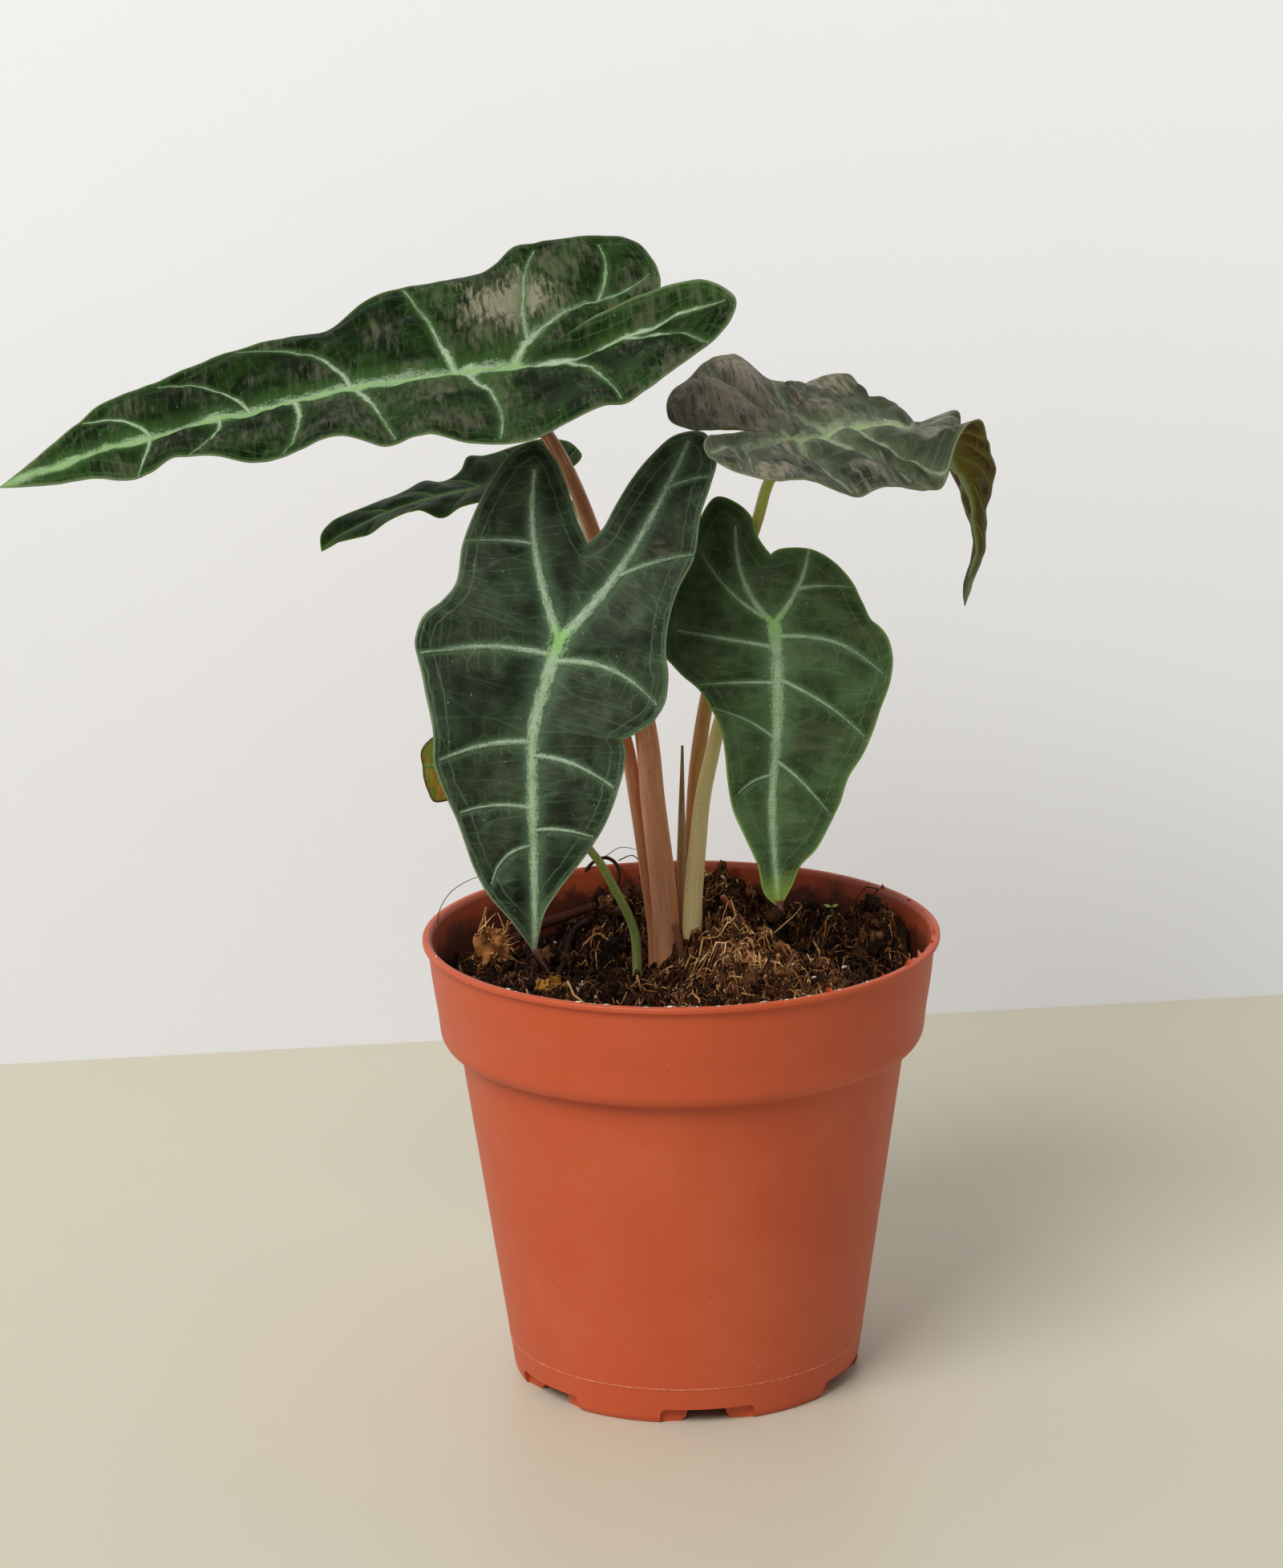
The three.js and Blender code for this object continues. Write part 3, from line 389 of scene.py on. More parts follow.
class Board:
    """Lays out and links the nodes of one shader tree."""

    def __init__(self, tree: bpy.types.NodeTree) -> None:
        """Keeps the tree that the nodes go into."""
        self.tree = tree

    def node(self, kind: str, sockets: dict | None = None, **settings: object) -> bpy.types.Node:
        """Adds a node.

        Args:
            kind: The node's type, without its ShaderNode prefix.
            sockets: Values or other nodes' sockets, by input name or index.
            settings: Properties of the node.

        Returns:
            The new node.
        """
        made = self.tree.nodes.new("ShaderNode" + kind)
        for name, value in settings.items():
            setattr(made, name, value)
        for key, value in (sockets or {}).items():
            if isinstance(value, Socket):
                self.tree.links.new(value, made.inputs[key])
            else:
                made.inputs[key].default_value = value
        return made

    def math(self, operation: str, *values: object) -> Socket:
        """Adds a Math node and gives its value."""
        return self.node("Math", dict(enumerate(values)), operation=operation).outputs[0]

    def times(self, first: object, second: object) -> Socket:
        """Multiplies two numbers."""
        return self.math("MULTIPLY", first, second)

    def times_plus(self, first: object, second: object, added: object) -> Socket:
        """Multiplies two numbers and adds a third."""
        return self.math("MULTIPLY_ADD", first, second, added)

    def vector(self, operation: str, *values: object) -> Socket:
        """Adds a Vector Math node and gives its vector."""
        return self.node("VectorMath", dict(enumerate(values)), operation=operation).outputs["Vector"]

    def stretch(self, vector: object, factors: object) -> Socket:
        """Multiplies a vector's coordinates by their own factors."""
        return self.vector("MULTIPLY", vector, factors)

    def measure(self, operation: str, *values: object) -> Socket:
        """Adds a Vector Math node and gives its number."""
        return self.node("VectorMath", dict(enumerate(values)), operation=operation).outputs["Value"]

    def span(self, value: object, low: float, high: float, start: float = 0.0, stop: float = 1.0) -> Socket:
        """Maps a value smoothly from one range to another, held at both ends."""
        sockets = {0: value, 1: low, 2: high, 3: start, 4: stop}
        return self.node("MapRange", sockets, interpolation_type="SMOOTHSTEP").outputs[0]

    def mix(self, factor: object, first: object, second: object) -> Socket:
        """Blends two colours."""
        return self.node("Mix", {0: factor, 6: first, 7: second}, data_type="RGBA").outputs[2]

    def noise(self, place: object, scale: float, detail: float = 3.0, rough: float = 0.5) -> Socket:
        """Adds a noise texture and gives its value."""
        sockets = {"Vector": place, "Scale": scale, "Detail": detail, "Roughness": rough}
        return self.node("TexNoise", sockets).outputs["Fac"]

    def attribute(self, name: str, output: str) -> Socket:
        """Reads a value that the mesh carries."""
        return self.node("Attribute", attribute_name=name).outputs[output]

    def bump(self, height: object, depth: float) -> Socket:
        """Turns a height in 0 to 1, whose real height is the depth in mm, into a normal."""
        sockets = {"Strength": 1.0, "Distance": depth * MM, "Height": height}
        return self.node("Bump", sockets).outputs["Normal"]

    def group(self, effect: "Effect", sockets: dict) -> bpy.types.Node:
        """Places a shared effect."""
        return self.node("Group", sockets, node_tree=effect.tree)

    def wire(self, target: bpy.types.Node, sockets: dict[str, Socket]) -> None:
        """Links sockets to a node's inputs, by name."""
        for key, socket in sockets.items():
            self.tree.links.new(socket, target.inputs[key])


class Effect:
    """A shader node group with named inputs and outputs, built once and placed in many materials."""

    name = "effect"
    inputs: dict[str, str] = {}
    outputs: dict[str, str] = {}

    def __init__(self) -> None:
        """Makes the group's sockets and lays out its nodes."""
        self.tree = bpy.data.node_groups.new(self.name, "ShaderNodeTree")
        for direction, sockets in (("INPUT", self.inputs), ("OUTPUT", self.outputs)):
            for label, kind in sockets.items():
                self.tree.interface.new_socket(label, in_out=direction, socket_type="NodeSocket" + kind)
        board = Board(self.tree)
        source = self.tree.nodes.new("NodeGroupInput")
        target = self.tree.nodes.new("NodeGroupOutput")
        board.wire(target, self.lay_out(board, source.outputs))

    def lay_out(self, board: Board, given: bpy.types.NodeOutputs) -> dict[str, Socket]:
        """Lays out the group's nodes.

        Args:
            board: The group's board.
            given: The group's inputs.

        Returns:
            The sockets that feed the group's outputs.
        """
        raise NotImplementedError


class VeinReach(Effect):
    """How far a point of a flat blade lies from a bowed vein, in half widths of the vein.

    The least reach so far travels as the flat point's third coordinate, from vein to vein, and
    the place along that nearest vein travels beside it.
    """

    name = "vein_reach"
    inputs = {
        "Flat": "Vector", "Along": "Float", "Start": "Vector", "End": "Vector", "Bow": "Float",
        "Width": "Float", "Taper": "Float",
    }
    outputs = {"Flat": "Vector", "Along": "Float"}

    def lay_out(self, board: Board, given: bpy.types.NodeOutputs) -> dict[str, Socket]:
        """Measures along and across the vein's chord, takes off its bow and keeps the least reach.

        Args:
            board: The group's board.
            given: The group's inputs.

        Returns:
            The flat point with its least reach, and the place along the nearest vein.
        """
        chord = board.vector("SUBTRACT", given["End"], given["Start"])
        length = board.measure("LENGTH", chord)
        direction = board.vector("NORMALIZE", chord)
        offset = board.vector("SUBTRACT", given["Flat"], given["Start"])
        travel = board.measure("DOT_PRODUCT", offset, direction)
        along = board.math("DIVIDE", travel, length)
        turned = board.vector("CROSS_PRODUCT", direction, offset)
        across = board.node("SeparateXYZ", {0: turned}).outputs[2]
        held = board.node("Clamp", {0: along, 1: 0.0, 2: 1.0}).outputs[0]
        arch = board.times(held, board.math("SUBTRACT", 1.0, held))
        arch = board.times(board.times(arch, 4.0), given["Bow"])
        overrun = board.times(board.math("SUBTRACT", along, held), length)
        apart = board.math("SUBTRACT", across, arch)
        squares = board.times_plus(overrun, overrun, board.times(apart, apart))
        thin = board.times_plus(held, board.times(given["Taper"], -1.0), 1.0)
        width = board.times(given["Width"], thin)
        reach = board.math("DIVIDE", board.math("SQRT", squares), width)
        x, y, least = board.node("SeparateXYZ", {0: given["Flat"]}).outputs
        nearer = board.math("LESS_THAN", reach, least)
        change = board.math("SUBTRACT", travel, given["Along"])
        least = board.math("MINIMUM", least, reach)
        return {
            "Flat": board.node("CombineXYZ", {0: x, 1: y, 2: least}).outputs[0],
            "Along": board.times_plus(nearer, change, given["Along"]),
        }


class LeafSkin(Effect):
    """Leaf colours between the veins with streaks and a spot of painted sheen (a real stain on the small old
    blade), the veins' feathered core and glow, and the pale margin.
    """

    name = "leaf_skin"
    inputs = {
        "Flat": "Vector", "Along": "Float", "Edge": "Float", "Ground": "Color", "Deep": "Color",
        "Glow": "Color", "Vein": "Color", "Margin": "Color", "Sheen And Stain": "Color", "Tip": "Color",
        "Joint": "Color", "Sheen And Stain Spot": "Vector", "Green": "Float", "Net": "Float", "Sheen And Stain Amount": "Float",
        "Sheen And Stain To": "Float", "Tip At": "Float", "Seed": "Float",
    }
    outputs = {"Color": "Color", "Height": "Float", "Roughness": "Float"}
    inner_line = 4.1
    outer_line = 1.7

    def lay_out(self, board: Board, given: bpy.types.NodeOutputs) -> dict[str, Socket]:
        """Feathers the veins' reach, draws the fine network and layers the colours, painted sheen among
        them.

        Args:
            board: The group's board.
            given: The group's inputs.

        Returns:
            The group's outputs by name.
        """
        x, y, reach = board.node("SeparateXYZ", {0: given["Flat"]}).outputs
        flat = board.node("CombineXYZ", {0: x, 1: y, 2: given["Seed"]}).outputs[0]
        away = board.math("ABSOLUTE", y)
        combed = board.node("CombineXYZ", {
            0: given["Along"], 1: board.times(reach, 0.22), 2: given["Seed"],
        }).outputs[0]
        comb = board.noise(combed, 2.4, 3.0, 0.7)
        streak = board.noise(board.stretch(combed, (0.3, 9.0, 1.0)), 1.2, 4.0, 0.7)
        grain = board.math("ADD", streak, board.noise(flat, 2.6, 4.0, 0.75))
        near = board.times(reach, board.times_plus(comb, 0.6, 0.7))
        fading = board.span(away, 2.0, 26.0, 1.0, 0.7)
        profile = board.times(board.span(near, 0.0, 1.9, 1.0, 0.0), fading)
        core = board.span(board.times_plus(grain, 1.5, profile), 1.8, 2.65, 0.0, 0.95)
        glow = board.math("POWER", board.span(near, 0.4, 4.4, 1.0, 0.0), 2.0)
        bent = board.node("TexNoise", {"Vector": flat, "Scale": 0.14, "Detail": 2.0}).outputs["Color"]
        bent = board.stretch(board.vector("SUBTRACT", bent, (0.5, 0.5, 0.5)), (8.0, 8.0, 0.0))
        bent = board.stretch(board.vector("ADD", flat, bent), (1.0, 0.5, 1.0))
        cells = board.node("TexVoronoi", {"Vector": bent, "Scale": 0.3}, feature="DISTANCE_TO_EDGE")
        rows = board.stretch(combed, (0.3, 0.36, 1.0))
        rows = board.node("TexVoronoi", {"Vector": rows, "Scale": 1.0}, feature="DISTANCE_TO_EDGE")
        net = board.times(board.span(cells.outputs[0], 0.0, 0.06, 1.0, 0.0), 0.5)
        net_rows = board.span(rows.outputs[0], 0.01, 0.07, 1.0, 0.0)
        patchy = board.span(board.noise(flat, 0.09, 2.0), 0.35, 0.65, 0.25, 1.0)
        net = board.times(board.math("MAXIMUM", net, net_rows), given["Net"])
        net = board.times(net, patchy)
        clouds = board.span(board.noise(flat, 0.1, 5.0, 0.62), 0.36, 0.66)
        colour = board.mix(clouds, given["Deep"], given["Ground"])
        wrinkle = board.noise(board.stretch(flat, (1.0, 0.2, 1.0)), 0.8, 4.0, 0.6)
        coarse = board.noise(flat, 0.075, 3.0)
        # Painted sheen: pale streaks across the blade, as if its folds caught the light, fading out past a
        # place along it; on the small old blade the same colour is a real stain.
        sheen_and_stain = board.span(board.times_plus(wrinkle, 0.9, coarse), 0.9, 1.25)
        reach_of_sheen_and_stain = board.span(board.math("SUBTRACT", x, given["Sheen And Stain To"]), -6.0, 6.0, 1.0, 0.0)
        sheen_and_stain = board.times(board.times(sheen_and_stain, reach_of_sheen_and_stain), given["Sheen And Stain Amount"])
        colour = board.mix(sheen_and_stain, colour, given["Sheen And Stain"])
        # Painted sheen: one round spot of the same colour with tufted edges. It is a painted highlight on
        # most blades, painted light over the curled blade's lobe that the large left blade shades, and a
        # real stain on the small old blade.
        spot = board.stretch(board.vector("SUBTRACT", flat, given["Sheen And Stain Spot"]), (1.0, 1.0, 0.0))
        size = board.node("SeparateXYZ", {0: given["Sheen And Stain Spot"]}).outputs[2]
        spot = board.math("DIVIDE", board.measure("LENGTH", spot), size)
        tuft = board.noise(board.stretch(flat, (1.6, 0.4, 1.0)), 0.6, 5.0, 0.7)
        spot = board.times_plus(coarse, 2.6, spot)
        patch = board.span(board.times_plus(tuft, 3.4, spot), 3.1, 4.3, 0.8, 0.0)
        colour = board.mix(patch, colour, given["Sheen And Stain"])
        colour = board.mix(net, colour, given["Glow"])
        wander = board.times_plus(board.noise(flat, 0.3, 2.0), 1.4, given["Edge"])
        inner = board.math("ABSOLUTE", board.math("SUBTRACT", wander, self.inner_line))
        outer = board.math("ABSOLUTE", board.math("SUBTRACT", wander, self.outer_line))
        inner = board.span(inner, 0.05, 0.3, 0.85, 0.0)
        line = board.math("MAXIMUM", inner, board.span(outer, 0.12, 0.5, 0.8, 0.0))
        line = board.times(line, board.times(given["Net"], 1.5))
        colour = board.mix(board.times(glow, 0.7), colour, given["Glow"])
        colour = board.mix(line, colour, given["Glow"])
        colour = board.mix(core, colour, given["Vein"])
        hub = board.measure("LENGTH", board.stretch(flat, (1.0, 1.0, 0.0)))
        hub = board.times(board.span(hub, 0.5, 6.0, 0.9, 0.0), core)
        ahead = board.times(board.span(x, -4.0, 0.0), board.span(away, 0.3, 1.7, 1.0, 0.0))
        joint = board.math("MAXIMUM", hub, board.times(ahead, given["Green"]))
        colour = board.mix(joint, colour, given["Joint"])
        dots = board.node("TexVoronoi", {"Vector": flat, "Scale": 0.42})
        chance = board.node("SeparateColor", {0: dots.outputs["Color"]}).outputs[0]
        dots = board.times(board.span(dots.outputs["Distance"], 0.04, 0.08, 0.55, 0.0),
                          board.math("GREATER_THAN", chance, 0.6))
        colour = board.mix(dots, colour, given["Vein"])
        border = board.span(board.times_plus(comb, 0.5, given["Edge"]), 0.35, 0.95, 1.0, 0.0)
        colour = board.mix(board.times(border, 0.7), colour, given["Margin"])
        ragged = board.times_plus(wrinkle, 4.0, x)
        end = board.span(board.math("SUBTRACT", ragged, given["Tip At"]), 0.0, 13.0, 0.0, 0.9)
        colour = board.mix(end, colour, given["Tip"])
        fine = board.noise(flat, 5.0, 3.0, 0.6)
        raised = board.times(board.span(near, 0.0, 1.6, 1.0, 0.0), 1.3)
        raised = board.times_plus(board.span(reach, 0.8, 5.0, 1.0, 0.0), -0.9, raised)
        height = board.times_plus(fine, 0.14, board.times_plus(wrinkle, 0.6, raised))
        height = board.times_plus(net, -0.3, height)
        height = board.times_plus(board.times(patch, tuft), 2.2, height)
        gloss = board.times_plus(board.noise(flat, 0.3, 3.0), 0.2, 0.36)
        rough = board.times_plus(core, 0.12, gloss)
        return {"Color": colour, "Height": height, "Roughness": rough}


class StemSkin(Effect):
    """Streaks and flecks that run along a stalk, over a colour that changes up its length."""

    name = "stem_skin"
    inputs = {"Stem": "Vector", "Low": "Color", "Middle": "Color", "High": "Color", "Fleck": "Color"}
    outputs = {"Color": "Color", "Height": "Float"}

    def lay_out(self, board: Board, given: bpy.types.NodeOutputs) -> dict[str, Socket]:
        """Blends three colours up the stalk and lays streaks and flecks over them.

        Args:
            board: The group's board.
            given: The group's inputs.

        Returns:
            The group's outputs by name.
        """
        rise = board.node("SeparateXYZ", {0: given["Stem"]}).outputs[2]
        colour = board.mix(board.span(rise, 0.1, 0.6), given["Low"], given["Middle"])
        colour = board.mix(board.span(rise, 0.55, 0.98), colour, given["High"])
        place = board.stretch(given["Stem"], (1.0, 0.06, 0.0))
        streak = board.noise(place, 1.5, 5.0, 0.72)
        fleck = board.noise(board.stretch(given["Stem"], (1.0, 0.45, 0.0)), 1.7, 2.0)
        colour = board.mix(board.span(streak, 0.45, 0.7, 0.0, 0.7), colour, given["Fleck"])
        dark = board.mix(0.6, colour, SOOT)
        colour = board.mix(board.span(streak, 0.3, 0.42, 0.6, 0.0), colour, dark)
        colour = board.mix(board.span(fleck, 0.64, 0.7, 0.0, 0.7), colour, dark)
        return {"Color": colour, "Height": streak}


class Dust(Effect):
    """Sparse pale specks and faint clouds of dust."""

    name = "dust"
    inputs = {"Place": "Vector"}
    outputs = {"Speck": "Float", "Cloud": "Float"}

    def lay_out(self, board: Board, given: bpy.types.NodeOutputs) -> dict[str, Socket]:
        """Finds small round cells of a Voronoi pattern, only where a coarse noise is high.

        Args:
            board: The group's board.
            given: The group's inputs.

        Returns:
            The group's outputs by name.
        """
        cells = board.node("TexVoronoi", {"Vector": given["Place"], "Scale": 0.55})
        size = board.times(board.node("SeparateColor", {0: cells.outputs["Color"]}).outputs[0], 0.13)
        speck = board.math("LESS_THAN", cells.outputs["Distance"], board.math("SUBTRACT", size, 0.03))
        patch = board.span(board.noise(given["Place"], 0.05, 3.0), 0.45, 0.65)
        cloud = board.noise(given["Place"], 0.03, 5.0, 0.62)
        return {"Speck": board.times(speck, patch), "Cloud": cloud}


class Litter(Effect):
    """Mottled browns of peat, bark and fibres."""

    name = "litter"
    inputs = {"Place": "Vector", "Dark": "Color", "Brown": "Color", "Tan": "Color", "Shade": "Float"}
    outputs = {"Color": "Color", "Height": "Float"}

    def lay_out(self, board: Board, given: bpy.types.NodeOutputs) -> dict[str, Socket]:
        """Blends three browns by noises of two sizes.

        Args:
            board: The group's board.
            given: The group's inputs.

        Returns:
            The group's outputs by name.
        """
        coarse = board.noise(given["Place"], 0.16, 5.0, 0.65)
        fine = board.noise(given["Place"], 1.3, 5.0, 0.7)
        blend = board.math("ADD", board.times_plus(fine, 0.55, board.times(coarse, 0.45)),
                           given["Shade"])
        colour = board.mix(board.span(blend, 0.38, 0.62), given["Dark"], given["Brown"])
        colour = board.mix(board.span(blend, 0.6, 0.95), colour, given["Tan"])
        return {"Color": colour, "Height": fine}


@dataclass(frozen=True)
class Effects:
    """The shared shader effects."""

    vein_reach: VeinReach
    leaf_skin: LeafSkin
    stem_skin: StemSkin
    dust: Dust
    litter: Litter

    @staticmethod
    def make() -> "Effects":
        """Builds each effect once."""
        return Effects(VeinReach(), LeafSkin(), StemSkin(), Dust(), Litter())


def new_material(name: str, **constants: object) -> tuple[bpy.types.Material, Board, bpy.types.Node]:
    """Starts a material with one Principled BSDF.

    Args:
        name: The material's name.
        constants: Values that are the same all over, by socket name with underscores.

    Returns:
        The material, its board and its shader node.
    """
    material = bpy.data.materials.new(name)
    material.use_nodes = True
    board = Board(material.node_tree)
    shader = material.node_tree.nodes["Principled BSDF"]
    for key, value in constants.items():
        shader.inputs[key.replace("_", " ")].default_value = value
    return material, board, shader


def place_in_mm(board: Board) -> Socket:
    """Gives the surface point in mm about the pot's axis, from the object's own coordinates.

    Args:
        board: The material's board.

    Returns:
        The point.
    """
    place = board.node("TexCoord").outputs["Object"]
    place = board.vector("SUBTRACT", place, tuple(AXIS))
    return board.stretch(place, (1 / MM, 1 / MM, 1 / MM))


@dataclass(frozen=True)
class Station:
    """One station of a midrib: its place, the way the upper face looks and the fold of each side."""

    at: Triple
    face: Triple
    fold: Pair


@dataclass(frozen=True)
class Vein:
    """A vein on the flat blade, by [along, across] of its two ends, its bow and its half width."""

    start: Pair
    end: Pair
    bow: float = 0.0
    width: float = 0.45
    taper: float = 0.55
    ridge: float = 0.35


@dataclass(frozen=True)
class BladeSide:
    """One side of a flat blade: its margin from the tip round to the notch, as [along, across, lift].

    The lobe is the margin point that the lobe's main vein runs to, and the shoulder is the one
    straight out from the joint, both counted from the tip, which is point 0.
    """

    margin: tuple[Triple, ...]
    lobe: int
    shoulder: int


SHEEN = linear(255, 246, 228)


@dataclass(frozen=True)
class LeafFinish:
    """Colours of one blade's upper and under faces, with its painted sheen."""

    deep: Colour
    ground: Colour
    glow: Colour
    vein: Colour
    margin: Colour
    under: Colour
    under_deep: Colour
    under_vein: Colour
    # A paler colour laid in streaks and in one round spot: painted sheen on most blades, painted light over
    # the curled blade's shaded lobe, and a real orange stain on the small old blade. The next two fields set
    # how strong the streaks are and where along the blade they fade; the patch gives the spot's place along
    # and across and its radius, in mm.
    sheen_and_stain: Colour = (104, 98, 78)
    sheen_and_stain_amount: float = 0.4
    sheen_and_stain_to: float = 300.0
    joint: Colour = (138, 194, 100)
    green: float = 0.1
    patch: Triple = NO_SHEEN_AND_STAIN_SPOT
    shine: float = 0.2
    tip: Colour = (84, 60, 40)
    tip_at: float = 300.0
    net: float = 0.35
    depth: float = 0.35
    seed: float = 0.0

    def material(
        self, name: str, effects: Effects, veins: Sequence[Vein], upper: bool
    ) -> bpy.types.Material:
        """Makes the material of one face of the blade.

        Args:
            name: The material's name.
            effects: The shared effects.
            veins: The blade's veins.
            upper: Whether it is the upper face.

        Returns:
            The material.
        """
        material, board, shader = new_material(name, Specular_IOR_Level=self.shine, Specular_Tint=SHEEN)
        flat, along = board.attribute("flat", "Vector"), 0.0
        for vein in veins:
            placed = board.group(effects.vein_reach, {
                "Flat": flat, "Along": along, "Start": (*vein.start, 0.0), "End": (*vein.end, 0.0),
                "Bow": vein.bow, "Width": vein.width, "Taper": vein.taper,
            })
            flat, along = placed.outputs
        skin = board.group(effects.leaf_skin, {
            "Flat": flat,
            "Along": along,
            "Edge": board.attribute("edge", "Fac"),
            "Ground": linear(*(self.ground if upper else self.under)),
            "Deep": linear(*(self.deep if upper else self.under_deep)),
            "Glow": linear(*(self.glow if upper else self.under_vein)),
            "Vein": linear(*(self.vein if upper else self.under_vein)),
            "Margin": linear(*self.margin),
            "Sheen And Stain": linear(*self.sheen_and_stain),
            "Tip": linear(*self.tip),
            "Joint": linear(*self.joint),
            "Sheen And Stain Spot": self.patch if upper else NO_SHEEN_AND_STAIN_SPOT,
            "Green": self.green,
            "Net": self.net,
            "Sheen And Stain Amount": self.sheen_and_stain_amount if upper else 0.0,
            "Sheen And Stain To": self.sheen_and_stain_to,
            "Tip At": self.tip_at,
            "Seed": self.seed,
        })
        board.wire(shader, {
            "Base Color": skin.outputs["Color"],
            "Roughness": skin.outputs["Roughness"],
            "Normal": board.bump(skin.outputs["Height"], self.depth),
        })
        return material


@dataclass
class LeafBlade:
    """A blade drawn flat about its joint and laid over its bent and folded midrib."""

    name: str
    slot: Slot
    finish: LeafFinish
    spine: tuple[Station, ...]
    right: BladeSide
    left: BladeSide
    sinus: Triple
    veins: tuple[Vein, ...]
    midrib_width: float = 1.0
    quilt: float = 0.8
    crinkle: float = 0.35
    crinkle_size: float = 17.0
    seed: int = 1
    midrib_rows: int = 110
    lobe_rows: int = 52
    columns: int = 38
    column_power: float = 0.9
    lift_power: float = 1.6
    lobe_lift_power: float = 1.5
    margin_power: float = 0.8
    quilt_reach: float = 3.2
    calm_margin: float = 6.0
    margin_half: float = 0.14
    inner_half: float = 0.4
    thinning: float = 1.5
    ribs_from: float = 2.5

    def __post_init__(self) -> None:
        """Sets up the splines of the midrib."""
        knots = chord_knots(np.array([station.at for station in self.spine]))
        self.knots = knots - knots[1]
        self.length = float(self.knots[-1])
        self.midrib = SmoothRows(self.knots, [station.at for station in self.spine])
        faces = unit(np.array([station.face for station in self.spine], float))
        self.facing = SmoothRows(self.knots, faces)
        self.folding = SmoothRows(self.knots, [station.fold for station in self.spine])
        midrib_vein = Vein((0.0, 0.0), (self.length, 0.0), 0.0, self.midrib_width, 0.62, 1.1)
        self.veins = (midrib_vein, *self.veins)

    def frame_at(self, along: np.ndarray) -> tuple[np.ndarray, np.ndarray, np.ndarray]:
        """Gives the midrib's place, the blade's normal and its sideways direction.

        Args:
            along: Places along the midrib, in flat mm.

        Returns:
            The three rows of vectors, in that order.
        """
        tangent = unit(self.midrib(along + 0.5) - self.midrib(along - 0.5))
        facing = self.facing(along)
        normal = unit(facing - (facing * tangent).sum(-1, keepdims=True) * tangent)
        return self.midrib(along), normal, np.cross(tangent, normal)

    def place(self, along: np.ndarray, across: np.ndarray, lift: np.ndarray) -> np.ndarray:
        """Lays flat points over the midrib.

        Args:
            along: Distance from the joint towards the tip, in mm.
            across: Distance from the midrib, positive on the right.
            lift: Height off the flat blade.

        Returns:
            The points in space, in mm.
        """
        centre, normal, lateral = self.frame_at(along)
        folds = np.radians(self.folding(along))
        fold = np.where(across < 0, folds[..., 0], folds[..., 1])
        rise = np.abs(across) * np.sin(fold) + lift
        return centre + lateral * (across * np.cos(fold))[..., None] + normal * rise[..., None]

    def seat(self, depth: float) -> np.ndarray:
        """Gives the point under the joint where the stalk ends."""
        centre, normal, _ = self.frame_at(np.zeros(1))
        return (centre - normal * depth)[0]

    def panels(self) -> list[tuple[np.ndarray, np.ndarray]]:
        """Gives the rows of each panel, as points on a vein and on the margin.

        Returns:
            Two arrays for each panel, row by row.
        """
        found = []
        for side in (self.right, self.left):
            points = np.array([(self.length, 0, 0), *side.margin, self.sinus], float)
            knots = chord_knots(points[:, :2], self.margin_power)
            knots /= knots[-1]
            edge = SmoothRows(knots, points)
            tip = points[side.lobe]
            turn = knots[side.shoulder]
            end = knots[side.lobe]
            w = np.linspace(0, 1, self.midrib_rows + 1)
            midrib = np.stack([self.length * (1 - w), 0 * w, 0 * w], 1)
            rim = edge(turn * w)
            rim[0] = midrib[0]
            w = np.linspace(0, 1, self.lobe_rows + 1)
            lobe_vein = np.stack([tip[0] * w, tip[1] * w, tip[2] * w**self.lobe_lift_power], 1)
            outer = np.concatenate([rim, edge(turn + (end - turn) * w[1:])])
            found.append((np.concatenate([midrib, lobe_vein[1:]]), outer))
            found.append((lobe_vein, edge(1 + (end - 1) * w)))
        return found

    def vein_field(self, flat: np.ndarray) -> tuple[np.ndarray, np.ndarray]:
        """Measures flat points against the veins.

        Args:
            flat: Points as [along, across], in mm.

        Returns:
            The distance to the nearest vein, and the height of the ribs under the blade.
        """
        nearest = np.full(len(flat), FAR)
        ribs = np.zeros(len(flat))
        for vein in self.veins:
            start = np.array(vein.start)
            chord = np.array(vein.end) - start
            length = np.linalg.norm(chord)
            direction = chord / length
            offset = flat - start
            along = offset @ direction / length
            held = np.clip(along, 0, 1)
            across = direction[0] * offset[:, 1] - direction[1] * offset[:, 0]
            apart = across - 4 * vein.bow * held * (1 - held)
            distance = np.hypot(apart, (along - held) * length)
            nearest = np.minimum(nearest, distance)
            width = 0.5 + 0.45 * vein.width * (1 - vein.taper * held)
            ribs = np.maximum(ribs, vein.ridge * (1 - 0.75 * held) * np.exp(-((distance / width) ** 2)))
        return nearest, ribs

    def edge_distance(self, flat: np.ndarray, panels: list[tuple[np.ndarray, np.ndarray]]) -> np.ndarray:
        """Measures how far flat points lie from the margin, in mm.

        Args:
            flat: Points as [along, across], in mm.
            panels: The rows of each panel.

        Returns:
            One distance for each point.
        """
        nearest = np.full(len(flat), FAR)
        for _, rim in panels:
            for a, b in zip(rim[:-1, :2], rim[1:, :2]):
                chord = b - a
                held = np.clip((flat - a) @ chord / max(float(chord @ chord), 1e-9), 0, 1)
                nearest = np.minimum(nearest, np.linalg.norm(flat - a - held[:, None] * chord, axis=1))
        return nearest

    def relief(self, flat: np.ndarray, nearest: np.ndarray, edge: np.ndarray) -> np.ndarray:
        """Swells the blade between its veins and ripples it.

        Args:
            flat: Points as [along, across], in mm.
            nearest: Distance to the nearest vein.
            edge: Distance to the margin.

        Returns:
            The lift of each point.
        """
        inner = smoothstep(0.0, self.calm_margin, edge)
        quilting = self.quilt * (1 - np.exp(-((nearest / self.quilt_reach) ** 2))) * (0.25 + 0.75 * inner)
        ripples = self.crinkle * ripple(flat[:, 0], flat[:, 1], self.seed, self.crinkle_size, 3)
        return quilting + ripples * (0.35 + 0.65 * inner) - 0.5 * self.quilt

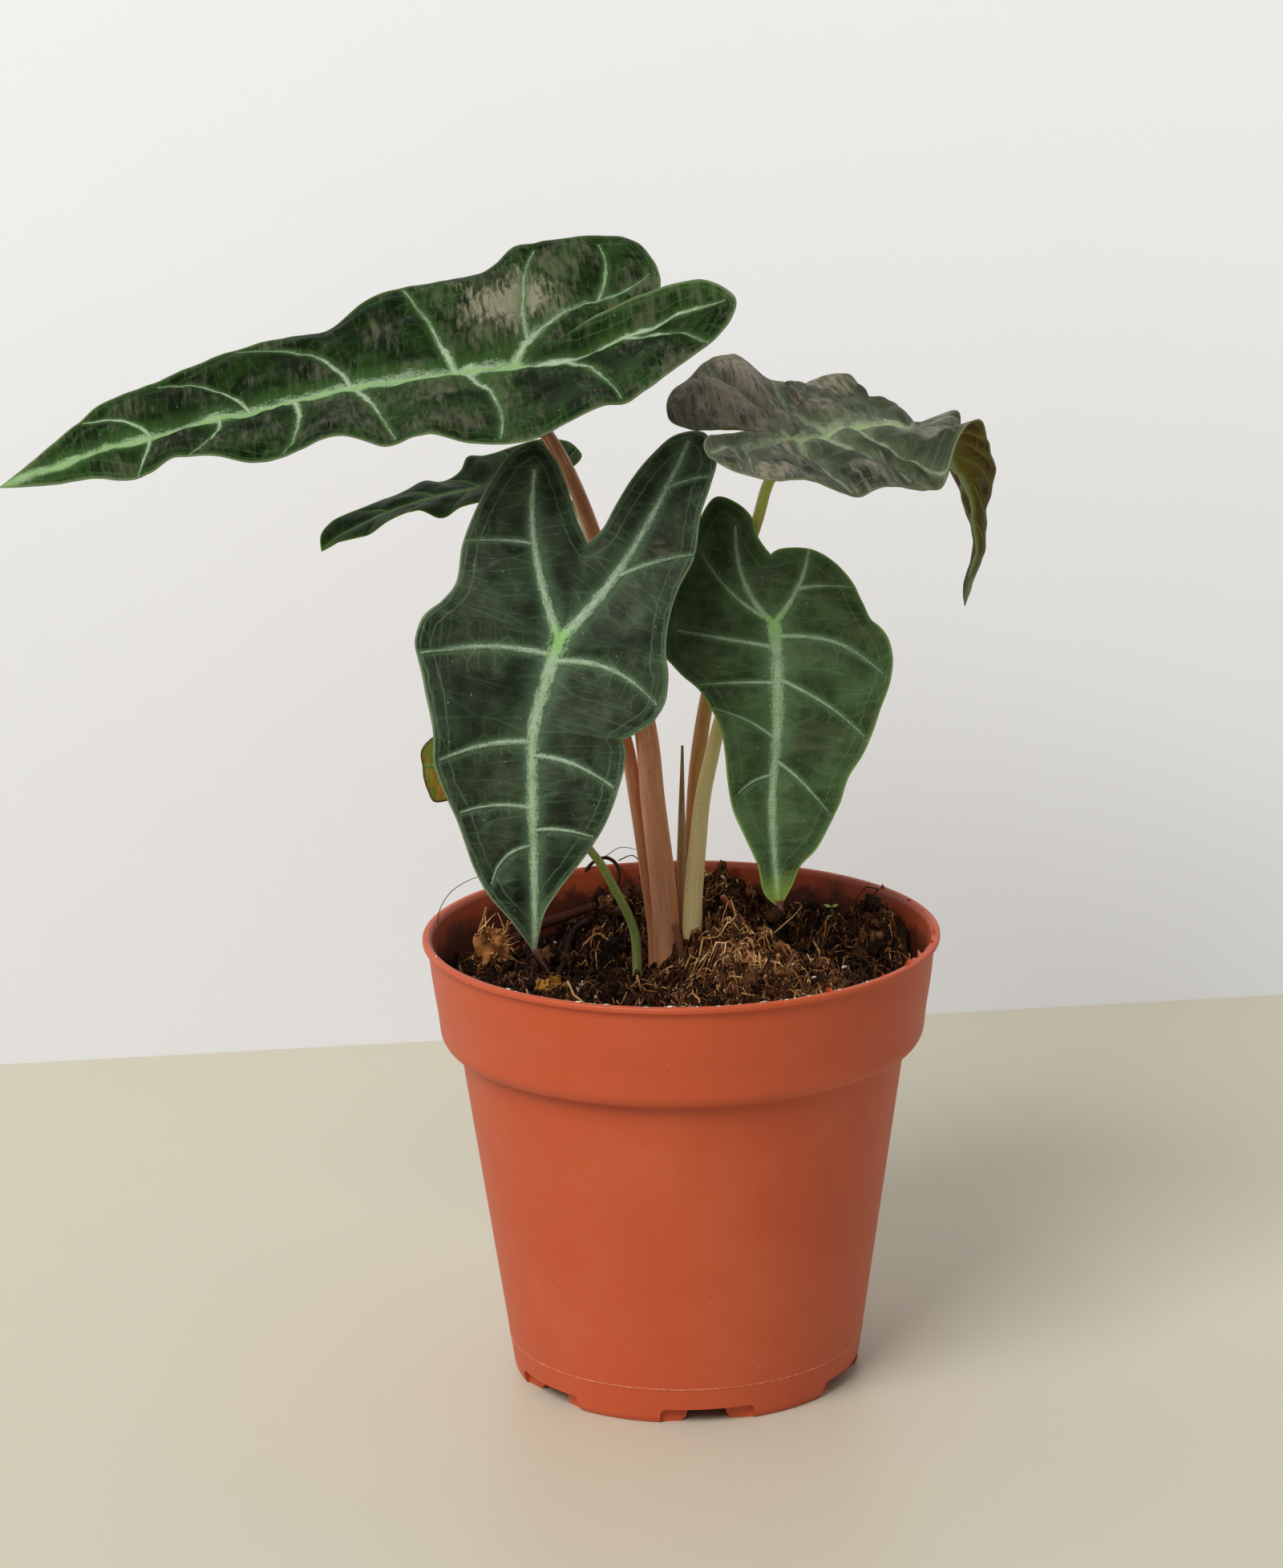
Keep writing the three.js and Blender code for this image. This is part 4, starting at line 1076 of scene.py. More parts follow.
    def build(self, effects: Effects) -> bpy.types.Object:
        """Makes the blade's two faces and its thin margin, and dresses them.

        Args:
            effects: The shared effects.

        Returns:
            The blade.
        """
        panels = self.panels()
        v = np.linspace(0, 1, self.columns + 1) ** self.column_power
        keys: dict[tuple[int, int], int] = {}
        flat_rows: list[np.ndarray] = []
        lifts: list[float] = []
        triangles: list[np.ndarray] = []
        for vein, rim in panels:
            grid = vein[:, None] + (rim - vein)[:, None] * v[None, :, None]
            grid[..., 2] = vein[:, None, 2] + (rim - vein)[:, None, 2] * v[None] ** self.lift_power
            ids = np.empty(grid.shape[:2], int)
            rounded = np.round(grid[..., :2] / MM).astype(int)
            for i, row in enumerate(rounded.tolist()):
                for j, key in enumerate(row):
                    found = keys.setdefault(tuple(key), len(keys))
                    if found == len(flat_rows):
                        flat_rows.append(grid[i, j, :2])
                        lifts.append(grid[i, j, 2])
                    ids[i, j] = found
            corners = (ids[:-1, :-1], ids[1:, :-1], ids[1:, 1:], ids[:-1, 1:])
            triangles.append(split_cells(*(corner.ravel() for corner in corners)))
        flat = np.array(flat_rows)
        faces = np.concatenate(triangles)
        distinct = (faces[:, 0] != faces[:, 1]) & (faces[:, 1] != faces[:, 2]) & (faces[:, 2] != faces[:, 0])
        faces = faces[distinct]
        first, second, third = (flat[faces[:, k]] for k in range(3))
        side, other = second - first, third - first
        area = side[:, 1] * other[:, 0] - side[:, 0] * other[:, 1]
        faces = np.where(area[:, None] > 0, faces, faces[:, [0, 2, 1]])
        return self.thicken(effects, flat, np.array(lifts), faces, panels)

    def thicken(
        self, effects: Effects, flat: np.ndarray, lifts: np.ndarray, faces: np.ndarray,
        panels: list[tuple[np.ndarray, np.ndarray]],
    ) -> bpy.types.Object:
        """Turns the laid-out sheet into a closed blade with ribs under its veins.

        Args:
            effects: The shared effects.
            flat: The sheet's points as [along, across].
            lifts: The lift of each point.
            faces: The sheet's triangles, turned up.
            panels: The rows of each panel.

        Returns:
            The blade.
        """
        nearest, ribs = self.vein_field(flat)
        edge = self.edge_distance(flat, panels)
        points = self.place(flat[:, 0], flat[:, 1], lifts + self.relief(flat, nearest, edge))
        corners = points[faces]
        facing = np.cross(corners[:, 1] - corners[:, 0], corners[:, 2] - corners[:, 0])
        normals = np.zeros_like(points)
        for k in range(3):
            np.add.at(normals, faces[:, k], facing)
        normals = unit(normals)
        thicker = 1 - np.exp(-edge / self.thinning)
        half = (self.margin_half + (self.inner_half - self.margin_half) * thicker)[:, None]
        inside = smoothstep(0.0, self.ribs_from, edge)[:, None]
        upper = points + normals * half
        lower = points - normals * (half + ribs[:, None] * inside)
        under = len(points)
        ways = np.concatenate([faces[:, [0, 1]], faces[:, [1, 2]], faces[:, [2, 0]]])
        forward = {(a, b) for a, b in ways.tolist()}
        border = np.array([(a, b) for a, b in ways.tolist() if (b, a) not in forward])
        a, b = border[:, 0], border[:, 1]
        rim = np.concatenate([np.stack([a, a + under, b], 1), np.stack([b, a + under, b + under], 1)])
        values = {
            "flat": np.tile(np.column_stack([flat, np.full(under, FAR)]), (2, 1)),
            "edge": np.tile(edge, 2),
        }
        sketch = MeshSketch()
        sketch.add(np.concatenate([upper, lower]), np.concatenate([faces, rim]), 0, **values)
        sketch.faces.append(faces[:, ::-1] + under)
        sketch.marks.append(np.full(len(faces), 1))
        piece = sketch.build("leaf_" + self.name)
        dressed = [
            self.finish.material("upper_" + self.name, effects, self.veins, True),
            self.finish.material("under_" + self.name, effects, self.veins, False),
        ]
        settle(piece, self.slot, dressed, "blade_" + self.name)
        return piece


# Its pale streaks and its spot are painted sheen.
LARGE_LEFT_FINISH = LeafFinish(
    deep=(12, 22, 7), ground=(33, 55, 20), glow=(66, 98, 50), vein=(168, 188, 156), margin=(112, 130, 88),
    under=(92, 66, 58), under_deep=(66, 50, 44), under_vein=(120, 130, 88), sheen_and_stain=(150, 146, 120),
    sheen_and_stain_amount=0.24, joint=(128, 166, 100), green=0.75, patch=(-2.0, 24.0, 12.0), shine=0.02,
    net=0.3, seed=3.0,
)
# Its pale streaks and its spot are painted sheen.
FRONT_FINISH = LeafFinish(
    deep=(26, 37, 24), ground=(55, 69, 49), glow=(84, 112, 82), vein=(166, 188, 158), margin=(132, 150, 112),
    under=(92, 64, 60), under_deep=(64, 48, 44), under_vein=(120, 130, 88), sheen_and_stain=(84, 80, 66),
    sheen_and_stain_amount=0.25, patch=(-22.0, -19.0, 5.0), shine=0.14, tip=(96, 72, 56), tip_at=66.0,
    net=0.4, seed=11.0,
)
BRIGHT_RIGHT_FINISH = LeafFinish(
    deep=(40, 56, 31), ground=(64, 88, 51), glow=(82, 110, 74), vein=(148, 172, 138), margin=(136, 166, 84),
    under=(96, 84, 56), under_deep=(70, 66, 44), under_vein=(126, 146, 90), sheen_and_stain=(92, 90, 64),
    sheen_and_stain_amount=0.35, joint=(130, 176, 96), green=0.15, shine=0.14, tip=(128, 152, 58), tip_at=56.0,
    net=0.36, seed=23.0,
)
# Its pale streaks are painted sheen, and its spot is painted light over the lobe that the large left blade
# shades.
CURLED_RIGHT_FINISH = LeafFinish(
    deep=(34, 43, 28), ground=(70, 76, 54), glow=(86, 98, 72), vein=(140, 152, 122), margin=(120, 126, 92),
    under=(84, 54, 20), under_deep=(58, 50, 16), under_vein=(120, 118, 50), sheen_and_stain=(166, 154, 136),
    sheen_and_stain_amount=0.6, joint=(150, 172, 118), green=0.8, patch=(-12.0, -16.0, 19.0), shine=0.1,
    tip=(64, 40, 28), tip_at=96.0, net=0.35, seed=31.0,
)
NARROW_BEHIND_FINISH = LeafFinish(
    deep=(26, 48, 22), ground=(46, 72, 36), glow=(76, 116, 58), vein=(116, 156, 88), margin=(124, 156, 70),
    under=(80, 76, 46), under_deep=(58, 58, 36), under_vein=(120, 136, 80), sheen_and_stain=(86, 82, 62),
    tip=(120, 128, 50), tip_at=56.0, shine=0.05, net=0.3, seed=43.0,
)
# Its orange streaks and spot are a real stain of the yellowing blade.
SMALL_OLD_FINISH = LeafFinish(
    deep=(76, 92, 22), ground=(104, 114, 36), glow=(98, 112, 36), vein=(110, 120, 44), margin=(26, 18, 8),
    under=(176, 112, 36), under_deep=(140, 88, 30), under_vein=(180, 140, 60), sheen_and_stain=(172, 104, 22),
    sheen_and_stain_amount=0.2, patch=(13.0, -3.0, 7.0), tip=(150, 96, 30), tip_at=21.0, net=0.15, seed=53.0,
)


@dataclass(frozen=True)
class StalkFinish:
    """Colours of a stalk from its foot to its top, and of its streaks."""

    low: Colour
    middle: Colour
    high: Colour
    fleck: Colour
    roughness: float = 0.46
    depth: float = 0.18

    def material(self, name: str, effects: Effects) -> bpy.types.Material:
        """Makes the stalk's material.

        Args:
            name: The material's name.
            effects: The shared effects.

        Returns:
            The material.
        """
        material, board, shader = new_material(name, Roughness=self.roughness)
        stem = board.group(effects.stem_skin, {
            "Stem": board.attribute("stem", "Vector"),
            "Low": linear(*self.low),
            "Middle": linear(*self.middle),
            "High": linear(*self.high),
            "Fleck": linear(*self.fleck),
        })
        normal = board.bump(stem.outputs["Height"], self.depth)
        board.wire(shader, {"Base Color": stem.outputs["Color"], "Normal": normal})
        return material


@dataclass
class LeafStalk:
    """A tapered stalk that stands on the corm, rises through the soil and ends under a blade."""

    name: str
    slot: Slot
    finish: StalkFinish
    foot: Pair
    radii: tuple[float, ...]
    route: tuple[Triple, ...]
    foot_height: float = 79.35
    soil_exit: float = 101.0
    seat_depth: float = 1.85
    seat_run: float = 4.0
    stations: int = 120
    sides: int = 20
    wide_ridges: float = 0.018
    fine_ridges: float = 0.012

    def path(self, blade: LeafBlade | None) -> np.ndarray:
        """Gives the stalk's centre line, which ends under the blade's joint where it has one.

        Args:
            blade: The blade that it carries, or None.

        Returns:
            Points in mm, from the corm upwards.
        """
        x, y = self.foot
        points = [(x, y, self.foot_height), (x, y, self.soil_exit), *self.route]
        if blade is not None:
            points += [blade.seat(self.seat_depth + self.seat_run), blade.seat(self.seat_depth)]
        return centripetal(points, self.stations)

    def build(self, effects: Effects, blade: LeafBlade | None, node: str) -> bpy.types.Object:
        """Makes the stalk with shallow ridges along it.

        Args:
            effects: The shared effects.
            blade: The blade that it carries.
            node: The CAD node that it stands for.

        Returns:
            The stalk.
        """
        path = self.path(blade)
        rise = np.linspace(0, 1, self.stations)
        steps = np.linspace(0, 1, len(self.radii))
        radii = SmoothRows(steps, [(radius,) for radius in self.radii])(rise)[:, 0]
        points, faces = tubes(path[None], radii[None], self.sides, (0.0, 1.0, 0.05))
        turn = np.tile(np.arange(self.sides) * 2 * math.pi / self.sides, self.stations)
        length = chord_knots(path)
        centre = np.repeat(path, self.sides, axis=0)
        wander = np.repeat(length, self.sides)
        ridges = 1 + self.wide_ridges * np.sin(5 * turn + 0.02 * wander)
        ridges += self.fine_ridges * np.sin(9 * turn + 2.0)
        points = centre + (points - centre) * ridges[:, None]
        around = turn * np.repeat(radii, self.sides)
        stem = np.stack([around, wander, np.repeat(rise, self.sides)], 1)
        sketch = MeshSketch()
        sketch.add(points, faces, 0, stem=stem)
        piece = sketch.build("stem_" + self.name)
        settle(piece, self.slot, [self.finish.material("skin_" + self.name, effects)], node)
        return piece


@dataclass(frozen=True)
class PotFinish:
    """Matte terracotta-coloured plastic with faint clouds of dust, soil smeared on its inner wall and
    painted shade over the whole inner wall.
    """

    plastic: Colour = (193, 81, 43)
    worn: Colour = (206, 104, 66)
    dust: Colour = (226, 178, 150)
    smear: Colour = (52, 26, 14)
    roughness: float = 0.44
    inside_foot: float = 39.95
    inside_taper: float = 0.142
    collar_from: float = 82.6
    collar_step: float = 3.75
    inside_from: float = 20.0
    seam_height: float = 8.8
    inside_shade: float = 0.28

    def material(self, effects: Effects) -> bpy.types.Material:
        """Makes the pot's material.

        Args:
            effects: The shared effects.

        Returns:
            The material.
        """
        material, board, shader = new_material("pot_plastic", Specular_IOR_Level=0.4)
        place = place_in_mm(board)
        dust = board.group(effects.dust, {"Place": place})
        x, y, z = board.node("SeparateXYZ", {0: place}).outputs
        radius = board.math("SQRT", board.times_plus(x, x, board.times(y, y)))
        body = board.times_plus(z, self.inside_taper, self.inside_foot)
        in_collar = board.math("GREATER_THAN", z, self.collar_from)
        nearer = board.math("LESS_THAN", radius, board.times_plus(in_collar, self.collar_step, body))
        inner = board.times(nearer, board.math("GREATER_THAN", z, self.inside_from))
        cloud = board.span(dust.outputs["Cloud"], 0.4, 0.7, 0.0, 0.35)
        colour = board.mix(cloud, linear(*self.plastic), linear(*self.worn))
        colour = board.mix(board.times(dust.outputs["Speck"], 0.6), colour, linear(*self.dust))
        seam = board.math("ABSOLUTE", board.math("SUBTRACT", z, self.seam_height))
        broken = board.span(board.noise(place, 0.7, 4.0, 0.7), 0.4, 0.7, 0.0, 0.6)
        seam = board.times(board.span(seam, 0.05, 0.28, 1.0, 0.0), broken)
        colour = board.mix(seam, colour, linear(*self.dust))
        # Painted shade: the whole inner wall above 20 mm is darkened evenly towards the smear colour.
        colour = board.mix(board.times(inner, self.inside_shade), colour, linear(*self.smear))
        wet = board.times_plus(z, -0.055, 5.75)
        smear = board.math("ADD", board.noise(place, 0.11, 6.0, 0.7), wet)
        smear = board.times(board.span(smear, 0.52, 0.82), inner)
        colour = board.mix(board.times(smear, 0.85), colour, linear(*self.smear))
        fine = board.noise(place, 2.4, 4.0, 0.6)
        rough = board.times_plus(fine, 0.12, self.roughness)
        board.wire(shader, {"Base Color": colour, "Roughness": rough, "Normal": board.bump(fine, 0.03)})
        return material


def round_corners(corners: Sequence[Triple], steps: int = 6) -> np.ndarray:
    """Rounds the corners of an open outline.

    Args:
        corners: Each corner's two coordinates and the radius that rounds it.
        steps: Number of points on each rounded corner.

    Returns:
        The outline's points.
    """
    outline = []
    for i, (x, y, radius) in enumerate(corners):
        corner = np.array([x, y])
        if radius <= 0 or i in (0, len(corners) - 1):
            outline.append(corner)
            continue
        before = np.array(corners[i - 1][:2]) - corner
        after = np.array(corners[i + 1][:2]) - corner
        reach = min(radius, 0.45 * np.linalg.norm(before), 0.45 * np.linalg.norm(after))
        start = corner + unit(before) * reach
        stop = corner + unit(after) * reach
        for t in np.linspace(0, 1, steps):
            outline.append((1 - t) ** 2 * start + 2 * t * (1 - t) * corner + t * t * stop)
    return np.array(outline)


def lathe(profile: np.ndarray, facets: int) -> tuple[np.ndarray, np.ndarray]:
    """Turns a profile of radius and height, whose ends lie on the axis, into a closed shell.

    Args:
        profile: Points as [radius, height], in mm.
        facets: Number of facets round the axis.

    Returns:
        Points in mm and the triangles between them.
    """
    turn = np.arange(facets) * 2 * math.pi / facets
    body = profile[1:-1]
    radius, height = body[:, :1], np.repeat(body[:, 1:], facets, axis=1)
    rings = np.stack([radius * np.sin(turn), radius * np.cos(turn), height], 2).reshape(-1, 3)
    points = np.concatenate([rings, [[0, 0, profile[0, 1]], [0, 0, profile[-1, 1]]]])
    a, b, c, d = cells(len(body), facets)
    walls = np.concatenate([np.stack([a, d, b], 1), np.stack([b, d, c], 1)])
    return points, np.concatenate([walls, centre_fans(len(body), facets)])


@dataclass
class NurseryPot:
    """A thin-walled pot with a beaded rim, a wide collar, a drained floor and a notched foot."""

    finish: PotFinish = PotFinish()
    height: float = 106.0
    foot_radius: float = 40.0
    wall: float = 1.1
    taper: float = 11.5 / 81
    collar_foot: float = 81.0
    floor_under: float = 4.2
    floor_top: float = 5.4
    facets: int = 240
    notches: int = 6
    notch_turn: float = 6.3
    notch_width: float = 21.7
    notch_height: float = 3.6
    notch_gap: float = 8.8
    tab_inner: float = 36.8
    tab_outer: float = 38.0
    ring_inner: float = 38.8
    drain_radius: float = 4.5
    drain_ring: float = 27.0
    drain_middle: float = 5.5
    collar_inner_foot: float = 83.6
    collar_inner: float = 55.1
    collar_taper: float = 0.122
    tab_overlap: float = 1.2
    tab_bite: float = 0.4
    cutter_near: float = 30.0
    cutter_far: float = 45.0
    sharp_angle: float = 32.0
    burrs: int = 46
    burr_turn: Pair = (-18.0, 30.0)
    burr_sizes: Pair = (0.45, 1.5)
    burr_radii: Pair = (58.2, 59.9)
    burr_seed: int = 5

    def body_radius(self, z: float) -> float:
        """Gives the body's outer radius at a height."""
        return self.foot_radius + 0.5 + self.taper * z

    def inner_radius(self, z: float) -> float:
        """Gives the collar's inner radius at a height."""
        return self.collar_inner + (z - self.collar_inner_foot) * self.collar_taper

    def profile(self) -> np.ndarray:
        """Gives the pot's profile, from the floor's underside round the outside to its top.

        Returns:
            Points as [radius, height], in mm.
        """
        body, inner, top = self.body_radius, self.inner_radius, self.height
        under, floor = self.floor_under, self.floor_top
        foot, collar = self.collar_foot, self.collar_inner_foot
        corners = [
            (0, under, 0), (self.ring_inner, under, 0), (self.ring_inner, 0, 0.2),
            (self.foot_radius, 0, 0.35), (body(1.4), 1.4, 1.0), (body(2.4), 2.4, 0), (body(8.2), 8.2, 0),
            (body(8.6), 8.6, 0), (body(8.8) + 0.12, 8.8, 0), (body(9.0), 9.0, 0), (body(9.4), 9.4, 0),
            (body(80.2), 80.2, 0), (body(foot), foot, 0.3), (54.9, foot, 1.3), (56.2, 83.0, 1.6),
            (56.9, 89.4, 3.0), (57.5, 93.0, 3.0), (58.3, 99.0, 3.0), (58.7, 103.9, 0.3), (59.4, 104.3, 0.25),
            (60.0, 104.7, 0.4), (60.0, 105.7, 0.5), (59.6, top, 0.4), (58.4, top, 0.4),
            (inner(105.1), 105.1, 0.5), (inner(95.0), 95.0, 0), (inner(collar), collar, 1.2),
            (53.9, 82.1, 0.8), (body(foot) - self.wall + 0.1, 82.1, 0.8),
            (body(79.5) - self.wall, 79.5, 0.6), (body(floor) - self.wall, floor, 1.2), (0, floor, 0),
        ]
        return round_corners(corners)

    def turned_block(
        self, outline: np.ndarray, angle: float, near: float, far: float
    ) -> tuple[np.ndarray, np.ndarray]:
        """Extrudes an outline of [sideways, height] outwards and turns it about the pot's axis.

        Args:
            outline: Points as [sideways, height], in mm.
            angle: Its direction, in radians.
            near: Where it starts from the axis, in mm.
            far: Where it ends from the axis, in mm.

        Returns:
            Points in mm and the triangles between them.
        """
        count = len(outline)
        rows = [np.column_stack([np.full(count, r), outline[:, 0], outline[:, 1]]) for r in (near, far)]
        points = np.concatenate(rows)
        c, s = math.cos(angle), math.sin(angle)
        spin = np.array([[c, s, 0], [-s, c, 0], [0, 0, 1]])
        return points @ spin, tube_faces(2, count)

    def tab_block(self, angle: float) -> tuple[np.ndarray, np.ndarray]:
        """Gives the short ring piece that backs one notch.

        Args:
            angle: Its direction, in radians.

        Returns:
            Points in mm and the triangles between them.
        """
        reach = (self.notch_width / 2 + self.tab_overlap) / self.tab_outer
        turns = angle + np.linspace(-reach, reach, 13)
        outer, top = self.ring_inner + self.tab_bite, self.floor_under + self.tab_bite / 2
        corners = [(self.tab_inner, 0.0), (outer, 0.0), (outer, top), (self.tab_inner, top)]
        rows = [[(r * math.cos(t), r * math.sin(t), z) for r, z in corners] for t in turns]
        points = np.array(rows).reshape(-1, 3)
        return points, tube_faces(len(turns), len(corners))[:, ::-1]

    def outlines(self) -> tuple[np.ndarray, np.ndarray]:
        """Gives the outlines of a notch and of the gap between its tabs.

        Returns:
            Both as points of [sideways, height], in mm.
        """
        half, top, gap = self.notch_width / 2, self.notch_height, self.notch_gap / 2
        notch = round_corners([
            (-half, -1, 0), (half, -1, 0), (half, top, 1.6), (-half, top, 1.6), (-half, -1, 0),
        ])
        opening = round_corners([
            (-gap - 1.7, -1, 0), (gap + 1.7, -1, 0), (gap + 1.4, 0.1, 0.6), (gap + 0.35, 0.9, 1.0),
            (gap, 2.6, 0.6), (gap - 0.5, top - 0.2, 0.5), (-gap + 0.5, top - 0.2, 0.5), (-gap, 2.6, 0.6),
            (-gap - 0.35, 0.9, 1.0), (-gap - 1.4, 0.1, 0.6), (-gap - 1.7, -1, 0),
        ], 5)
        return notch[:-1], opening[:-1]

    def cut(self, piece: bpy.types.Object, sketch: MeshSketch, operation: str) -> None:
        """Joins or cuts a sketch with the pot and leaves the result in its mesh.

        Args:
            piece: The pot's object.
            sketch: The mesh that is joined or taken off.
            operation: The boolean modifier's operation.
        """
        tool = sketch.build("pot_tool")
        change = piece.modifiers.new("cut", "BOOLEAN")
        change.object = tool
        change.operation = operation
        change.solver = "EXACT"
        seen = piece.evaluated_get(bpy.context.evaluated_depsgraph_get())
        old, piece.data = piece.data, bpy.data.meshes.new_from_object(seen)
        piece.modifiers.clear()
        used = tool.data
        bpy.data.objects.remove(tool)
        for mesh in (old, used):
            bpy.data.meshes.remove(mesh)

    def add_burrs(self, sketch: MeshSketch) -> None:
        """Adds the small frayed slivers of plastic that stand on the rim.

        Args:
            sketch: The mesh to add to.
        """
        draw = np.random.default_rng(self.burr_seed)
        for _ in range(self.burrs):
            turn = math.radians(draw.normal(*self.burr_turn))
            size = draw.uniform(*self.burr_sizes)
            radius = draw.uniform(*self.burr_radii)
            centre = np.array([radius * math.cos(turn), radius * math.sin(turn), self.height - 0.15])
            spike = draw.normal(0, 0.35, 3) + np.array([0, 0, 1.0])
            shape = np.array([(-1, 0, 0), (0.7, -0.5, 0), (0.7, 0.5, 0), (0, 0, 0)]) * size * 0.6
            shape[3] = spike * size * draw.choice([0.5, 1.0, 1.9], p=[0.55, 0.3, 0.15])
            sketch.add(shape + centre, np.array([(0, 2, 1), (0, 1, 3), (1, 2, 3), (2, 0, 3)]))

    def build(self, effects: Effects) -> bpy.types.Object:
        """Turns the shell, then adds the foot's tabs and cuts its notches and the drain holes.

        Args:
            effects: The shared effects.

        Returns:
            The pot's object.
        """
        shell = MeshSketch()
        shell.add(*lathe(self.profile(), self.facets))
        self.add_burrs(shell)
        piece = shell.build("nursery_pot")
        tabs, notches, openings = MeshSketch(), MeshSketch(), MeshSketch()
        notch, opening = self.outlines()
        for i in range(self.notches):
            angle = math.radians(self.notch_turn - 90 + i * 360 / self.notches)
            tabs.add(*self.tab_block(angle))
            notches.add(*self.turned_block(notch, angle, self.tab_outer, self.cutter_far))
            openings.add(*self.turned_block(opening, angle, self.cutter_near, self.cutter_far))
            between = angle + math.pi / self.notches
            x, y = math.cos(between) * self.drain_ring, math.sin(between) * self.drain_ring
            self.add_drain(openings, x, y, self.drain_radius)
        self.add_drain(openings, 0.0, 0.0, self.drain_middle)
        self.cut(piece, tabs, "UNION")
        self.cut(piece, notches, "DIFFERENCE")
        self.cut(piece, openings, "DIFFERENCE")
        piece.data.shade_smooth()
        piece.data.set_sharp_from_angle(angle=math.radians(self.sharp_angle))
        settle(piece, Slot.POT, [self.finish.material(effects)], "pot")
        return piece

    def add_drain(self, sketch: MeshSketch, x: float, y: float, radius: float) -> None:
        """Adds the cutter of one drain hole."""
        path = np.array([[[x, y, 1.0], [x, y, 4.5], [x, y, 8.0]]])
        sketch.add(*tubes(path, np.full((1, 3), radius), 32, (1.0, 0.0, 0.0)))


@dataclass(frozen=True)
class LitterFinish:
    """A mottled brown finish for peat, bark, fibres and dry scraps."""

    name: str
    dark: Colour
    brown: Colour
    tan: Colour
    roughness: float = 0.85
    depth: float = 0.35

    def material(self, effects: Effects) -> bpy.types.Material:
        """Makes the material, which each crumb or fibre shifts by its own tone.

        Args:
            effects: The shared effects.

        Returns:
            The material.
        """
        material, board, shader = new_material(self.name, Roughness=self.roughness, Specular_IOR_Level=0.12)
        litter = board.group(effects.litter, {
            "Place": place_in_mm(board),
            "Dark": linear(*self.dark),
            "Brown": linear(*self.brown),
            "Tan": linear(*self.tan),
            "Shade": board.attribute("tone", "Fac"),
        })
        normal = board.bump(litter.outputs["Height"], self.depth)
        board.wire(shader, {"Base Color": litter.outputs["Color"], "Normal": normal})
        return material


PEAT_FINISH = LitterFinish("peat", (22, 11, 6), (62, 38, 22), (122, 84, 50))
CRUMB_FINISH = LitterFinish("peat_crumb", (27, 14, 7), (88, 54, 31), (174, 122, 74))
FIBRE_FINISH = LitterFinish("peat_fibre", (60, 32, 17), (146, 94, 52), (234, 190, 128), 0.8, 0.1)
BARK_FINISH = LitterFinish("bark", (96, 52, 26), (178, 118, 66), (232, 184, 120), 0.8, 0.3)
SCRAP_FINISH = LitterFinish("dry_leaf", (110, 62, 22), (176, 120, 48), (226, 186, 104), 0.7, 0.2)
DRY_TIP_FINISH = LitterFinish("dry_tip", (74, 44, 34), (122, 80, 62), (170, 130, 96), 0.6, 0.1)
GRIT_FINISH = LitterFinish("grit", (150, 136, 112), (206, 196, 176), (238, 232, 218), 0.6, 0.1)


@dataclass(frozen=True)
class Lump:
    """A mound of the soil's top: its centre, height and reach, in mm."""

    x: float
    y: float
    height: float
    reach: float


LUMPS = tuple(Lump(*row) for row in (
    (13, 1, 12.5, 13), (16, -17, 8, 12), (31, -12, 5.5, 9), (4, 8, 5, 7), (45, 22, 12, 12),
    (9, 51, 12, 11), (-13, 46, 9, 12), (-20, 30, 3.5, 8), (-10, -34, 4, 8), (25, 28, -3, 7),
    (33, 3, -2, 7), (-38, 22, 2.5, 8), (35, 45, 6, 12), (-52, 16, 3, 9), (-30, -22, 3.5, 9),
    (-24, 12, -3, 10), (-40, 38, -3, 10), (-44, -6, 2, 7), (-14, -8, 3, 7), (38, -34, 4, 8),
))


def random_turns(draw: np.random.Generator, count: int) -> np.ndarray:
    """Gives random rotation matrices.

    Args:
        draw: Source of random numbers.
        count: Number of matrices.

    Returns:
        Matrices of three rows and three columns.
    """
    w, x, y, z = unit(draw.normal(size=(count, 4))).T
    rows = [
        [1 - 2 * (y * y + z * z), 2 * (x * y - z * w), 2 * (x * z + y * w)],
        [2 * (x * y + z * w), 1 - 2 * (x * x + z * z), 2 * (y * z - x * w)],
        [2 * (x * z - y * w), 2 * (y * z + x * w), 1 - 2 * (x * x + y * y)],
    ]
    return np.moveaxis(np.array(rows), 2, 0)


def pebble_shapes(draw: np.random.Generator, kinds: int, detail: int) -> tuple[np.ndarray, np.ndarray]:
    """Makes a few lumpy round shapes that crumbs are copies of.

    Args:
        draw: Source of random numbers.
        kinds: Number of shapes.
        detail: Subdivision of the round shape that they start from.

    Returns:
        The shapes' vertices, and the triangles that they share.
    """
    ball = bmesh.new()
    bmesh.ops.create_icosphere(ball, subdivisions=detail, radius=1.0)
    points = np.array([vertex.co[:] for vertex in ball.verts])
    faces = np.array([[vertex.index for vertex in face.verts] for face in ball.faces])
    ball.free()
    shapes = []
    for _ in range(kinds):
        waves = draw.normal(size=(7, 3)) * 3.0
        phases = draw.uniform(0, 6.28, 7)
        swell = np.sin(points @ waves.T + phases).sum(1) * 0.15
        shapes.append(points * (1 + swell)[:, None])
    return np.array(shapes), faces


